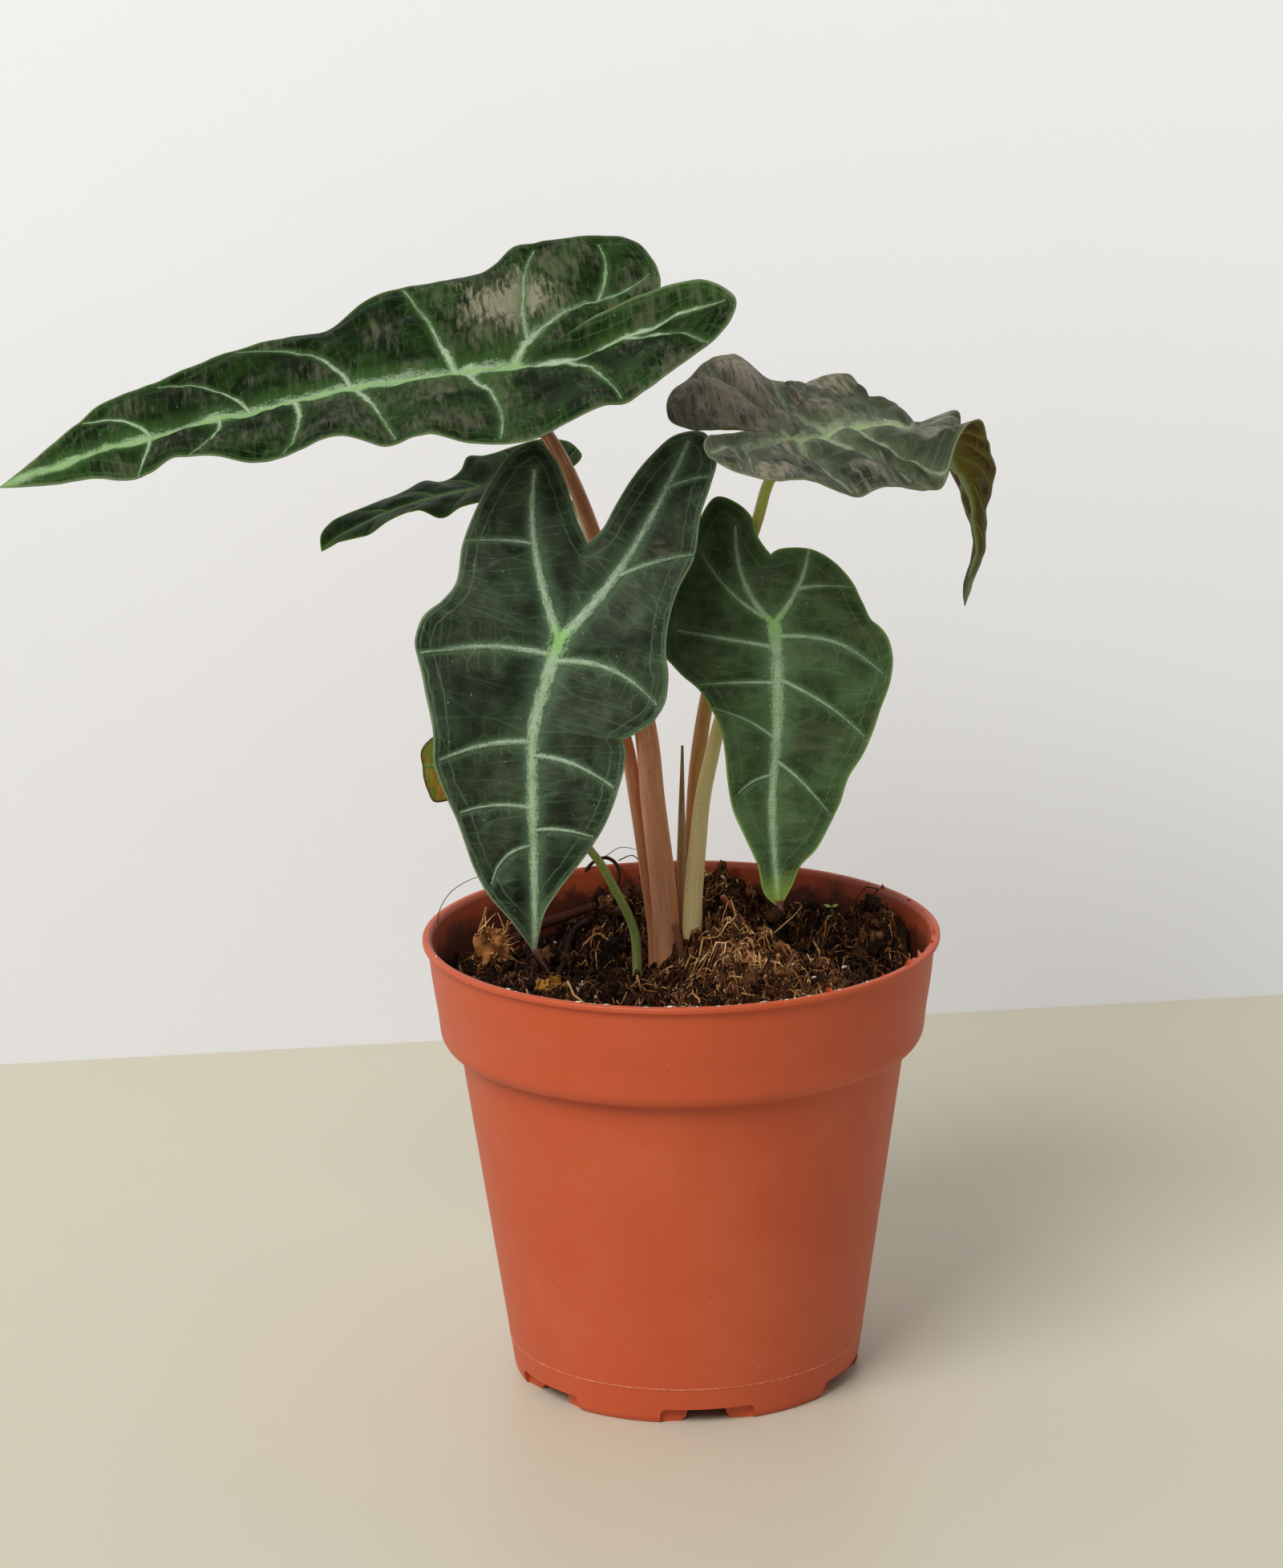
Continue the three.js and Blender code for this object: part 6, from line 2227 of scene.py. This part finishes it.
@dataclass
class Studio:
    """The pale floor, the light wall behind it, which glows with painted light brighter towards its top, the
    lights and the camera.
    """

    wall_left: Pair = (-192.7, 230.5)
    wall_right: Pair = (179.6, 278.8)
    wall_height: float = 520.0
    # Strength of the wall's painted glow, and the heights in mm where it starts and where it is full.
    wall_painted_glow: float = 0.14
    painted_glow_rise: Pair = (-60.0, 320.0)
    reach: float = 3000.0
    floor_colour: Colour = (203, 197, 176)
    wall_colour: Colour = (238, 239, 242)
    lens: float = 108.21
    sensor: float = 36.0
    elevation: float = 14.9
    roll: float = -0.83
    distance: float = 1083.92
    target: Triple = (-8.69, 0.0, 141.25)
    world: float = 0.33
    lights: tuple[SoftLight, ...] = (
        SoftLight("key_light", (-1.91, -2.78, 3.51), (0.04, 0.0, 0.12), 2.6, 192.0),
        SoftLight("top_light", (-0.1, 0.0, 1.5), (0.04, 0.0, 0.1), 1.1, 2.0),
    )

    def backdrop(self, name: str, corners: np.ndarray, colour: Colour, one_sided: bool) -> None:
        """Makes one plain sheet of the stage.

        Args:
            name: The sheet's name.
            corners: Its four corners, in mm.
            colour: Its colour.
            one_sided: Whether it is clear when seen from behind and glows with painted light.
        """
        sketch = MeshSketch()
        sketch.add(corners, np.array([(0, 1, 2, 3)]))
        sheet = sketch.build(name, False)
        material, board, shader = new_material(name, Roughness=0.42, Specular_IOR_Level=0.35)
        place = place_in_mm(board)
        pale = linear(*colour)
        shade = tuple(channel * 0.96 for channel in pale[:3]) + (1.0,)
        board.wire(shader, {"Base Color": board.mix(board.noise(place, 0.006, 3.0), pale, shade)})
        if one_sided:
            # Painted light: the wall glows, from nothing 60 mm below the floor to full strength 320 mm up.
            rise = board.node("SeparateXYZ", {0: place}).outputs[2]
            glow = board.mix(board.span(rise, *self.painted_glow_rise), BLACK, WHITE)
            board.wire(shader, {"Emission Color": glow})
            shader.inputs["Emission Strength"].default_value = self.wall_painted_glow
            clear = board.node("BsdfTransparent")
            facing = board.node("NewGeometry").outputs["Backfacing"]
            mixed = board.node("MixShader", {0: facing, 1: shader.outputs[0], 2: clear.outputs[0]})
            board.wire(board.tree.nodes["Material Output"], {"Surface": mixed.outputs[0]})
        sheet.data.materials.append(material)

    def build_camera(self) -> None:
        """Sets the camera to the photograph's viewing angle."""
        tilt, turn = math.radians(self.elevation), math.radians(self.roll)
        ahead = np.array([0.0, math.cos(tilt), -math.sin(tilt)])
        level = np.array([1.0, 0.0, 0.0])
        upright = np.cross(level, ahead)
        right = math.cos(turn) * level + math.sin(turn) * upright
        up = math.cos(turn) * upright - math.sin(turn) * level
        place = to_frame(np.array(self.target) - self.distance * ahead)
        data = bpy.data.cameras.new("camera")
        data.lens = self.lens
        data.sensor_width = self.sensor
        camera = bpy.data.objects.new("camera", data)
        columns = np.column_stack([right, up, -ahead, place])
        camera.matrix_world = Matrix([*columns.tolist(), [0.0, 0.0, 0.0, 1.0]])
        bpy.context.scene.collection.objects.link(camera)
        bpy.context.scene.camera = camera

    def build(self) -> None:
        """Makes the stage, the lights, the camera and the view's colours."""
        left, right = np.array(self.wall_left), np.array(self.wall_right)
        way = (right - left) / np.linalg.norm(right - left)
        far_left, far_right = left - way * self.reach, right + way * self.reach
        r = self.reach
        floor = np.array([(-r, -r, 0), (r, -r, 0), (r, r, 0), (-r, r, 0)], float)
        self.backdrop("floor", floor, self.floor_colour, False)
        wall = np.array([(*far_left, 0), (*far_right, 0), (*far_right, self.wall_height),
                         (*far_left, self.wall_height)], float)
        self.backdrop("wall", wall, self.wall_colour, True)
        for light in self.lights:
            light.build()
        world = bpy.data.worlds.new("studio")
        world.use_nodes = True
        background = world.node_tree.nodes["Background"]
        background.inputs["Color"].default_value = WHITE
        background.inputs["Strength"].default_value = self.world
        scene = bpy.context.scene
        scene.world = world
        scene.view_settings.view_transform = "Standard"
        self.build_camera()


def even_spine(places: Sequence[Triple], face: Triple, fold: Pair) -> tuple[Station, ...]:
    """Gives a midrib whose blade faces one way and is folded alike all along."""
    return tuple(Station(place, face, fold) for place in places)


def large_left_blade() -> LeafBlade:
    """Gives the large left blade, which points to the left and slightly down.

    Returns:
        The blade.
    """
    return LeafBlade(
        name="large_left",
        slot=Slot.LEAF_DARK,
        finish=LARGE_LEFT_FINISH,
        spine=even_spine((
            (0, 2, 245.5), (-36, 0, 238.5), (-51.5, -1, 237), (-69, -2, 235), (-87, -3, 231.5),
            (-105.5, -4, 227.5), (-128.5, -5, 222), (-152.5, -6, 214.5),
        ), (-0.15, -0.28, 0.95), (9, 9)),
        right=BladeSide((
            (112, 2.5, 1), (101, 8, 2.5), (94, 13, 3.2), (88, 16, 2.4), (80, 19, 1.6),
            (73, 21, 1.6), (62.5, 25, 0.8), (54.5, 27, 0), (45.5, 29, -1.8), (40, 30, -2.7),
            (36, 32, -1.8), (32, 33, 0.4), (26.5, 35, 1.3), (18, 38, 0.2), (11, 40, -0.8),
            (3.5, 42, -1), (0, 43, 0.1), (-4.5, 44.5, 2.5), (-10.5, 46, 2), (-17, 47, 0.8),
            (-26.5, 47, -0.5), (-31, 45, -1), (-35, 40, -1.3), (-36.5, 34, -1),
            (-37.3, 28, -1), (-36.5, 21, -1), (-30, 13.5, -2), (-21, 8, -1),
        ), 24, 15),
        left=BladeSide((
            (112, -2.5, -2), (98.5, -6, -3.8), (90.5, -12, -4.5), (83.5, -16, -3),
            (78, -19, 0.1), (73, -22, 0.6), (67, -26, -0.3), (59.5, -29, -2.5),
            (51, -31, -1.9), (44.5, -33, 0.7), (40, -35, 1), (30.5, -38, -2.3),
            (23, -40, -0.2), (20.5, -41, 0.2), (14, -43, -2), (7, -44, -3), (-2, -45, -2.8),
            (-8.5, -45, -0.6), (-17, -44, 1.4), (-22.5, -42, 0.5), (-32.5, -38, 3.3),
            (-41.5, -33, 5.7), (-48.5, -26, 8), (-51.3, -18, 10.4), (-50, -13, 12.2),
            (-46, -8, 13.5), (-39, -4, 13.4), (-28, -0.5, 10.8), (-19, 1.8, 7.5),
        ), 24, 16),
        sinus=(-13, 4.5, 3),
        midrib_width=2.9,
        quilt=1.3,
        crinkle=0.5,
        crinkle_size=14.0,
        seed=2,
        veins=(
            Vein((0, 0), (-19, 21), -4.0, 1.7, 0.3, 0.8),
            Vein((-19, 21), (-35, 27.5), 2.5, 0.95, 0.7),
            Vein((-4.5, 10), (-9.8, 43), -2.2, 0.95),
            Vein((-22, 21), (-25.5, 43), 1.8, 0.8),
            Vein((0, 0), (-20, -6.8), 1.4, 1.7, 0.3, 0.8),
            Vein((-20, -6.8), (-49, -15.5), -2.3, 0.95, 0.7),
            Vein((-25.5, -7), (-43, -31.5), -2.4, 0.8),
            Vein((-12, -5.5), (-21.5, -40), -1.4, 0.9),
            Vein((13, 0), (22.5, 35), 0.9, 1.1),
            Vein((37, 0), (61, 24), 7.0, 0.95),
            Vein((60, 0), (80, 17), 4.0, 0.65),
            Vein((83, 0), (97.5, 9.3), 3.0, 0.7),
            Vein((11, 0), (5.5, -42), -3.2, 1.05),
            Vein((36, 0), (28, -36), -0.5, 0.95),
            Vein((50, 0), (53.3, -29), -2.3, 0.9),
            Vein((67, 0), (74, -21), -1.5, 0.65),
            Vein((83.5, 0), (87, -14), -1.0, 0.7),
        ),
    )


def front_blade() -> LeafBlade:
    """Gives the front blade, which hangs before the stalks.

    Returns:
        The blade.
    """
    return LeafBlade(
        name="front",
        slot=Slot.LEAF_DARK,
        finish=FRONT_FINISH,
        spine=(
            Station((-19, -14, 222.5), (0.08, -0.93, 0.4), (4, 4)),
            Station((-26.5, -28, 182), (0.05, -0.96, 0.28), (6, 6)),
            Station((-29.5, -31, 173.5), (0.05, -0.97, 0.22), (7, 7)),
            Station((-32.5, -33, 163.5), (0.05, -0.98, 0.15), (8, 8)),
            Station((-33, -34.5, 154), (0.05, -0.98, 0.12), (8, 8)),
            Station((-33, -35.5, 136.5), (0.05, -0.99, 0.08), (9, 9)),
            Station((-33, -34, 110.5), (0.05, -0.99, 0), (10, 10)),
        ),
        right=BladeSide((
            (63.5, 6, 0.5), (57.5, 10.5, 0.8), (51.5, 13.5, 0), (40.5, 17, -0.8),
            (28, 22, 0.5), (22, 22.5, 1.2), (17, 26, -0.5), (10.5, 30.5, -1), (6, 30.8, 0.5),
            (0, 28, 1.2), (-6, 25.7, 0.5), (-18, 25.7, -0.8), (-32, 22, 0.5), (-41, 17, 0.5),
            (-43.8, 12, 0), (-41, 8.2, 0), (-36, 5, 0.6), (-28, 1.5, 0.5),
        ), 15, 9),
        left=BladeSide((
            (68, -1, 0), (63, -2.2, 0.3), (58, -5, 0.6), (49, -12, -0.5), (42.5, -16, 0.6),
            (35, -19, 0.8), (25.5, -21, -0.6), (19.5, -20, 0.8), (14.5, -22.7, 0.6),
            (10.5, -25.8, -0.8), (6, -26.7, 0.2), (1.5, -25.8, 1), (-3.5, -23.5, 1.2),
            (-9.5, -22.7, 0.2), (-16, -23.5, -0.8), (-22, -25.7, 0.4), (-31.5, -26, 1),
            (-38, -27.5, 0.5), (-44, -28.3, 0), (-49.5, -25, 0), (-48.5, -18.8, 0),
            (-43.5, -13.8, 0.5), (-37.5, -9.8, 0.8), (-31, -6.7, 0.8), (-25.7, -4.5, 0.4),
        ), 20, 12),
        sinus=(-22.6, -1.8, 0),
        midrib_width=2.0,
        quilt=0.9,
        crinkle=0.35,
        seed=3,
        veins=(
            Vein((0, 0), (-37, 12), -3.2, 1.4, 0.5, 0.8),
            Vein((0, 0), (-47, -21.5), 1.6, 1.4, 0.5, 0.8),
            Vein((3.5, 0), (12, 28.5), 1.4, 0.9),
            Vein((23.5, 0), (27, 20.5), 1.0, 0.8),
            Vein((38.5, 0), (38.5, 16), 1.2, 0.65),
            Vein((47, 0), (55, 9.5), 2.4, 0.65),
            Vein((-20.5, 9.5), (-18.4, 25), 0.6, 0.65),
            Vein((5, 0), (7, -25), -3.2, 0.9),
            Vein((26.5, 0), (33.5, -18.3), -1.6, 0.8),
            Vein((43.5, 0), (45, -13.5), -0.8, 0.65),
            Vein((-16.5, -10), (-23, -25.5), -0.8, 0.7),
            Vein((-36.5, -18), (-40, -27.5), -0.5, 0.6),
        ),
    )


def bright_right_blade() -> LeafBlade:
    """Gives the bright green blade, which hangs on the right.

    Returns:
        The blade.
    """
    return LeafBlade(
        name="bright_right",
        slot=Slot.LEAF_BRIGHT,
        finish=BRIGHT_RIGHT_FINISH,
        spine=(
            Station((26, 4, 203.5), (-0.05, -0.88, 0.45), (4, 4)),
            Station((22, -4, 179.5), (-0.05, -0.95, 0.3), (5, 5)),
            Station((22.5, -6, 172), (-0.03, -0.96, 0.25), (5, 5)),
            Station((22.5, -9, 160.5), (0, -0.97, 0.2), (6, 6)),
            Station((21, -13, 138), (0, -0.98, 0.15), (7, 7)),
            Station((22.5, -15, 115.5), (0, -0.99, 0.1), (8, 8)),
        ),
        right=BladeSide((
            (62, 3, 0), (54.5, 4.2, 0.3), (48, 6.6, 0.5), (42.5, 9, -0.4), (36.7, 10.4, 0.4),
            (30.6, 11.5, 0.6), (24.6, 13, -0.5), (19.5, 15.3, 0.5), (15, 18, 0.4), (11, 22, 0),
            (6, 25, 0), (-2, 26, 0.5), (-10, 24, 0), (-18, 20.5, 0), (-25.5, 17, 0.5),
            (-25, 12, 0.6), (-23, 8.5, 0.4), (-18.7, 5.8, 0.2),
        ), 15, 11),
        left=BladeSide((
            (60, -3.6, 0), (56, -5.6, 0.3), (52, -9.6, 0.6), (46, -13.2, -0.4),
            (40.7, -15.3, 0.5), (33, -17.2, 0.8), (28.4, -19.8, -0.5), (18.8, -23.5, 0.3),
            (13, -25.7, 0.5), (8.5, -26.3, 0), (6, -25.7, 0.3), (0.6, -22.5, 0.6),
            (-6.7, -19.9, -0.3), (-12.3, -16.9, 0.3), (-16.5, -12, 0.5), (-18.3, -7, 0.5),
            (-18, -2.5, 0.3), (-16.9, 1, 0),
        ), 15, 9),
        sinus=(-15.6, 2.4, 0),
        midrib_width=1.9,
        quilt=0.8,
        crinkle=0.35,
        seed=4,
        veins=(
            Vein((0, 0), (-20, 11.5), -2.0, 1.0, 0.5, 0.7),
            Vein((-1.5, 2), (-13.5, 18), -1.0, 0.7),
            Vein((0, 0), (-19, -6), 2.2, 1.0, 0.5, 0.7),
            Vein((-8.5, -5), (-10.5, -18), -0.6, 0.65),
            Vein((5.5, 0), (0.5, 22), 0.4, 0.7),
            Vein((13.5, 0), (13.8, 19), 0.3, 0.6),
            Vein((26.5, 0), (19.5, 14.5), 0.8, 0.5),
            Vein((34.5, 0), (39, 8), 0.8, 0.5),
            Vein((3, 0), (12, -24), -2.4, 0.8),
            Vein((12.5, 0), (24.5, -20), -0.7, 0.65),
            Vein((31, 0), (43, -12.8), -1.2, 0.6),
        ),
    )


def curled_right_blade() -> LeafBlade:
    """Gives the grey blade on the right, whose tip curls down.

    Returns:
        The blade.
    """
    return LeafBlade(
        name="curled_right",
        slot=Slot.LEAF_GREY,
        finish=CURLED_RIGHT_FINISH,
        spine=(
            Station((2.5, -17, 227), (0, -0.12, 1), (0, 0)),
            Station((27.5, -8, 223), (0, -0.12, 1), (0, 0)),
            Station((39.5, -4, 225), (0, -0.1, 1), (0, 0)),
            Station((52.5, 3, 223), (0.1, -0.1, 1), (0, 0)),
            Station((61.5, 10, 218.5), (0.5, 0.2, 0.8), (0, 5)),
            Station((67, 13, 210.5), (0.85, 0.45, 0.3), (5, 8)),
            Station((69.5, 14, 199), (0.85, 0.5, 0.1), (10, 10)),
            Station((70, 13, 189.5), (0.85, 0.5, 0.1), (15, 15)),
            Station((67, 10, 179.5), (0.85, 0.5, 0.2), (20, 20)),
        ),
        right=BladeSide((
            (76, 2, -3), (67.5, 4, -1.5), (59, 7, -1.8), (52, 10, -1), (46, 13, 1),
            (37, 16, 4), (30.3, 19, 8.3), (27.3, 21, 7), (25, 23, 3.5), (23, 26, -3),
            (21, 28, -5.6), (17, 29, -6.5), (12.3, 30, -6), (8.2, 31.5, -4), (2.2, 33, -3.2),
            (-2.7, 34, -1.3), (-7.5, 34, 0.6), (-12.7, 34, 1.4), (-18.5, 33, 0.2),
            (-22.7, 31, 0), (-26.3, 28, 0), (-28.5, 23, 0.2), (-29, 18, 1), (-27.5, 13, 2.3),
            (-21.3, 8, 3), (-14, 4, 3.6),
        ), 23, 15),
        left=BladeSide((
            (78.4, -2, -1.3), (70.7, -4, 0), (66.7, -6, 1.6), (61, -9, 2.5), (56, -12, 2.6),
            (52.4, -14, 3), (48.5, -18, 11), (46.5, -20, 13), (45.5, -22, 8), (44, -24, 1.5),
            (40.3, -26, 1.8), (38.4, -28, 1.8), (34.6, -30, 4), (31.3, -31, 4.7),
            (24, -32, 2.9), (18.3, -33, 1.2), (10.5, -33, 2.3), (4.4, -32, 5.4),
            (-0.5, -31, 10), (-11, -29, 11.5), (-15, -27, 10.9), (-19.2, -24, 7),
            (-24.2, -20, 4.4), (-26.8, -15, 1.7), (-26.8, -10, -0.2), (-23.8, -6, -0.4),
            (-19.3, -4, 0.6), (-15.5, -3, 2.4),
        ), 21, 17),
        sinus=(-8, 0.5, 2.2),
        midrib_width=4.4,
        quilt=2.2,
        crinkle=0.9,
        crinkle_size=17.0,
        seed=5,
        veins=(
            Vein((0, 0), (-14, -25.5), 3.5, 2.6, 0.6, 0.7),
            Vein((0, 0), (-27, 18), 2.2, 1.9, 0.5, 0.7),
            Vein((-15, 7), (-21, 30), 0.8, 1.0),
            Vein((8, 0), (6, -32), -2.4, 1.6),
            Vein((22, 0), (33, -27), 1.5, 1.4),
            Vein((0, 1), (0.5, 31), 3.0, 1.7),
            Vein((5, 0), (15, 25), 1.6, 1.7),
            Vein((13, 0), (23, 25), 1.6, 1.4),
            Vein((24, 0), (36, 16), 2.0, 1.1),
            Vein((34, 0), (44, 13), 1.6, 1.02),
            Vein((43, 0), (51, 10), 1.4, 0.94),
            Vein((51, 0), (58, 7.4), 1.2, 0.85),
            Vein((60, 0), (66, 4.6), 0.8, 0.68),
            Vein((32, 0), (47, -17), -2.0, 1.1),
            Vein((43, 0), (54, -12), -1.6, 0.94),
            Vein((52, 0), (61, -8.5), -1.2, 0.85),
            Vein((62, 0), (69, -4.6), -0.8, 0.68),
        ),
    )


def narrow_behind_blade() -> LeafBlade:
    """Gives the narrow blade behind the others.

    Returns:
        The blade.
    """
    return LeafBlade(
        name="narrow_behind",
        slot=Slot.LEAF_DARK,
        finish=NARROW_BEHIND_FINISH,
        spine=(
            Station((-21.5, 25, 211), (0.1, 0.02, 1), (6, 0)),
            Station((-31.5, 28, 208.5), (0.1, 0.02, 1), (6, 0)),
            Station((-43.5, 30, 205.5), (0.1, 0.02, 1), (6, 0)),
            Station((-58, 30, 202.5), (0, 0.02, 1), (6, 0)),
            Station((-72.5, 28, 197.5), (-0.15, 0.02, 1), (6, 0)),
            Station((-82.5, 25, 192), (-0.3, 0, 1), (6, 0)),
        ),
        right=BladeSide((
            (52.5, 3, 2.3), (49, 5, 3), (44.5, 7, 2.7), (40, 8.5, 2), (31, 11, 1.6),
            (26.5, 12.5, 2.2), (24, 13, 1.2), (18.7, 14.5, 3), (17.4, 15.5, 5.2), (14, 16, 5),
            (8, 16.5, 6), (3.5, 16, 6.6), (-3.3, 13, 5.8), (-7, 9, 4.3), (-9.3, 5, 2),
            (-8, 2, 0.5),
        ), 15, 11),
        left=BladeSide((
            (52, -2.4, 0), (46, -5, -1.5), (43.5, -6, -2), (37.5, -7.5, -1), (29, -10, -1),
            (25, -11, -4), (18.5, -12, -2.5), (12.5, -13, -2.5), (6.5, -14, -2.5),
            (-1.5, -14, -3), (-7.5, -12, -3.5), (-10.5, -7.5, -2.5), (-8, -3, -1),
        ), 12, 9),
        sinus=(-5, 0.5, 0),
        midrib_width=1.5,
        quilt=0.7,
        seed=6,
        midrib_rows=80,
        lobe_rows=24,
        columns=20,
        veins=(
            Vein((0, 0), (-8, 8), 0.0, 0.65, 0.5, 0.6),
            Vein((0, 0), (-9, -7), 0.0, 0.65, 0.5, 0.6),
            Vein((4, 0), (10, 15.5), 1.2, 0.55),
            Vein((14, 0), (22, 12.5), 1.2, 0.55),
            Vein((25, 0), (33, 10), 1.0, 0.5),
            Vein((36, 0), (43, 7), 0.8, 0.4),
            Vein((5, 0), (11, -13), -1.2, 0.55),
            Vein((15, 0), (22, -11), -1.0, 0.55),
            Vein((26, 0), (33, -8.5), -0.8, 0.5),
            Vein((37, 0), (43.5, -6), -0.6, 0.4),
        ),
    )


def small_old_blade() -> LeafBlade:
    """Gives the small yellowing blade behind the front one.

    Returns:
        The blade.
    """
    return LeafBlade(
        name="small_old",
        slot=Slot.LEAF_OLD,
        finish=SMALL_OLD_FINISH,
        spine=even_spine(
            ((-27, -15, 150.5), (-37.5, -15, 150), (-47.5, -16, 150), (-58, -18, 151)),
            (0, -0.95, 0.3), (6, 6),
        ),
        right=BladeSide((
            (21.3, 3.5, 0), (19.3, 6.3, 0.3), (13, 9, 0), (5, 10.5, -0.4), (-3, 10, 0),
            (-9, 7.5, 0), (-10, 4, 0), (-7.5, 1.5, 0),
        ), 6, 4),
        left=BladeSide((
            (20.6, -2.5, 0), (19.6, -5.5, 0), (18.2, -8, 0), (14, -7.6, 0.4), (5, -9.5, -0.4),
            (-3, -10, 0), (-9, -7.5, 0), (-10, -4, 0), (-7.5, -1.5, 0),
        ), 7, 5),
        sinus=(-5.5, 0, 0),
        midrib_width=1.0,
        quilt=0.5,
        seed=7,
        midrib_rows=40,
        lobe_rows=18,
        columns=14,
        veins=(
            Vein((0, 0), (-7, 7), 0.0, 0.55, 0.5, 0.6),
            Vein((0, 0), (-7, -7), 0.0, 0.55, 0.5, 0.6),
            Vein((3, 0), (7, 10), 0.8, 0.5),
            Vein((11, 0), (15, 7.5), 0.6, 0.4),
            Vein((3, 0), (7, -9), -0.8, 0.5),
            Vein((11, 0), (15, -7), -0.6, 0.4),
        ),
    )


def leaf_blades() -> tuple[LeafBlade, ...]:
    """Gives the six blades, each with its margins and veins in its own flat millimetres.

    Returns:
        The blades.
    """
    return (
        large_left_blade(), front_blade(), bright_right_blade(), curled_right_blade(),
        narrow_behind_blade(), small_old_blade(),
    )


def leaf_stalks() -> tuple[LeafStalk, ...]:
    """Gives the six stalks in the order of their blades.

    Returns:
        The stalks.
    """
    red = StalkFinish((248, 172, 126), (232, 150, 108), (156, 102, 60), (250, 200, 156))
    front = StalkFinish((220, 144, 98), (216, 138, 94), (184, 120, 80), (236, 184, 140))
    khaki = StalkFinish((255, 224, 158), (255, 236, 158), (222, 212, 118), (255, 244, 200))
    brown = StalkFinish((206, 136, 84), (196, 148, 84), (146, 178, 62), (216, 184, 120))
    pale = StalkFinish((160, 172, 90), (176, 190, 104), (184, 204, 116), (206, 216, 150))
    green = StalkFinish((150, 166, 82), (160, 184, 90), (160, 188, 96), (196, 214, 136))
    return (
        LeafStalk(
            "large_left", Slot.STALK_RED, red, (-3.2, 9), (3.1, 3, 2.5, 1.8, 1.5),
            ((-4, 9, 115), (-6, 8.5, 134.5), (-7.5, 8, 152), (-12.5, 7, 174), (-19, 5, 199.5),
             (-26, 3, 217.5)),
        ),
        LeafStalk(
            "front", Slot.STALK_RED, front, (-5.9, 14.4), (1.9, 1.8, 1.7, 1.5, 1.3),
            ((-7.2, 13.4, 113), (-9.6, 12.4, 132), (-11.8, 9.5, 147), (-15.3, -1, 161.5), (-20, -13, 173.5)),
        ),
        LeafStalk(
            "bright_right", Slot.STALK_KHAKI, khaki, (2.6, 6.5), (2.6, 2.3, 1.9, 1.5, 1.2),
            ((3, 6.5, 112), (4.2, 6, 125), (5.5, 5.5, 136.5), (7.5, 4.5, 146), (10, 4, 156),
             (14.5, 3, 167.5)),
        ),
        LeafStalk(
            "curled_right", Slot.STALK_RED, brown, (2.9, 16), (2.1, 2, 1.7, 1.4, 1.2),
            ((2.9, 15.8, 113), (3.6, 15.2, 131), (4.5, 15, 142.5), (6.5, 14, 156), (10, 12.5, 172),
             (14, 10.5, 186.5), (18.5, 8, 200.5), (21.8, 2.5, 212)),
        ),
        LeafStalk(
            "narrow_behind", Slot.STALK_GREEN, pale, (-2.2, 18.4), (1.5, 1.4, 1.2, 1.1, 1),
            ((-3, 18.5, 112.5), (-6, 19, 132), (-9.5, 21, 151), (-14.5, 25, 175), (-19.5, 29, 192),
             (-23.5, 30, 200.5)),
        ),
        LeafStalk(
            "small_old", Slot.STALK_GREEN, green, (-10.4, 3), (1.2, 1.1, 1, 0.9, 0.8),
            ((-11, 3, 105.5), (-13.2, 2, 111.5), (-16, 0.8, 117.5), (-18.2, 0, 122), (-20.8, -1, 126),
             (-26.5, -5, 135), (-32.5, -8, 143)),
        ),
    )


def young_sheath() -> LeafStalk:
    """Gives the pointed young sheath between the stalks.

    Returns:
        The sheath, built as a stalk without a blade.
    """
    finish = StalkFinish((180, 144, 100), (184, 152, 108), (136, 106, 70), (210, 186, 142))
    return LeafStalk(
        "young_sheath", Slot.STALK_KHAKI, finish, (0.7, 12.1), (1.3, 1.3, 1.3, 0.8, 0.3),
        ((0.5, 11.8, 122), (0.9, 10.6, 147.5)),
    )


def dress_corm(effects: Effects) -> None:
    """Gives the hidden corm its brown skin.

    Args:
        effects: The shared effects.
    """
    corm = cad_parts["corm"]
    finish = LitterFinish("corm_skin", (58, 36, 22), (112, 78, 50), (150, 116, 76))
    corm.data.materials.clear()
    corm.data.materials.append(finish.material(effects))


def main() -> None:
    """Builds the stage and the plant in order."""
    logging.basicConfig(level=logging.INFO, format="%(name)s: %(message)s")
    Studio().build()
    effects = Effects.make()
    pot = NurseryPot()
    pot.build(effects)
    soil = Soil()
    soil.build(effects, pot)
    Scraps(soil, pot.height).build(effects)
    dress_corm(effects)
    young_sheath().build(effects, None, "young_sheath")
    for blade, stalk in zip(leaf_blades(), leaf_stalks()):
        blade.build(effects)
        stalk.build(effects, blade, "stalk_" + stalk.name)


if __name__ == "__main__":
    main()
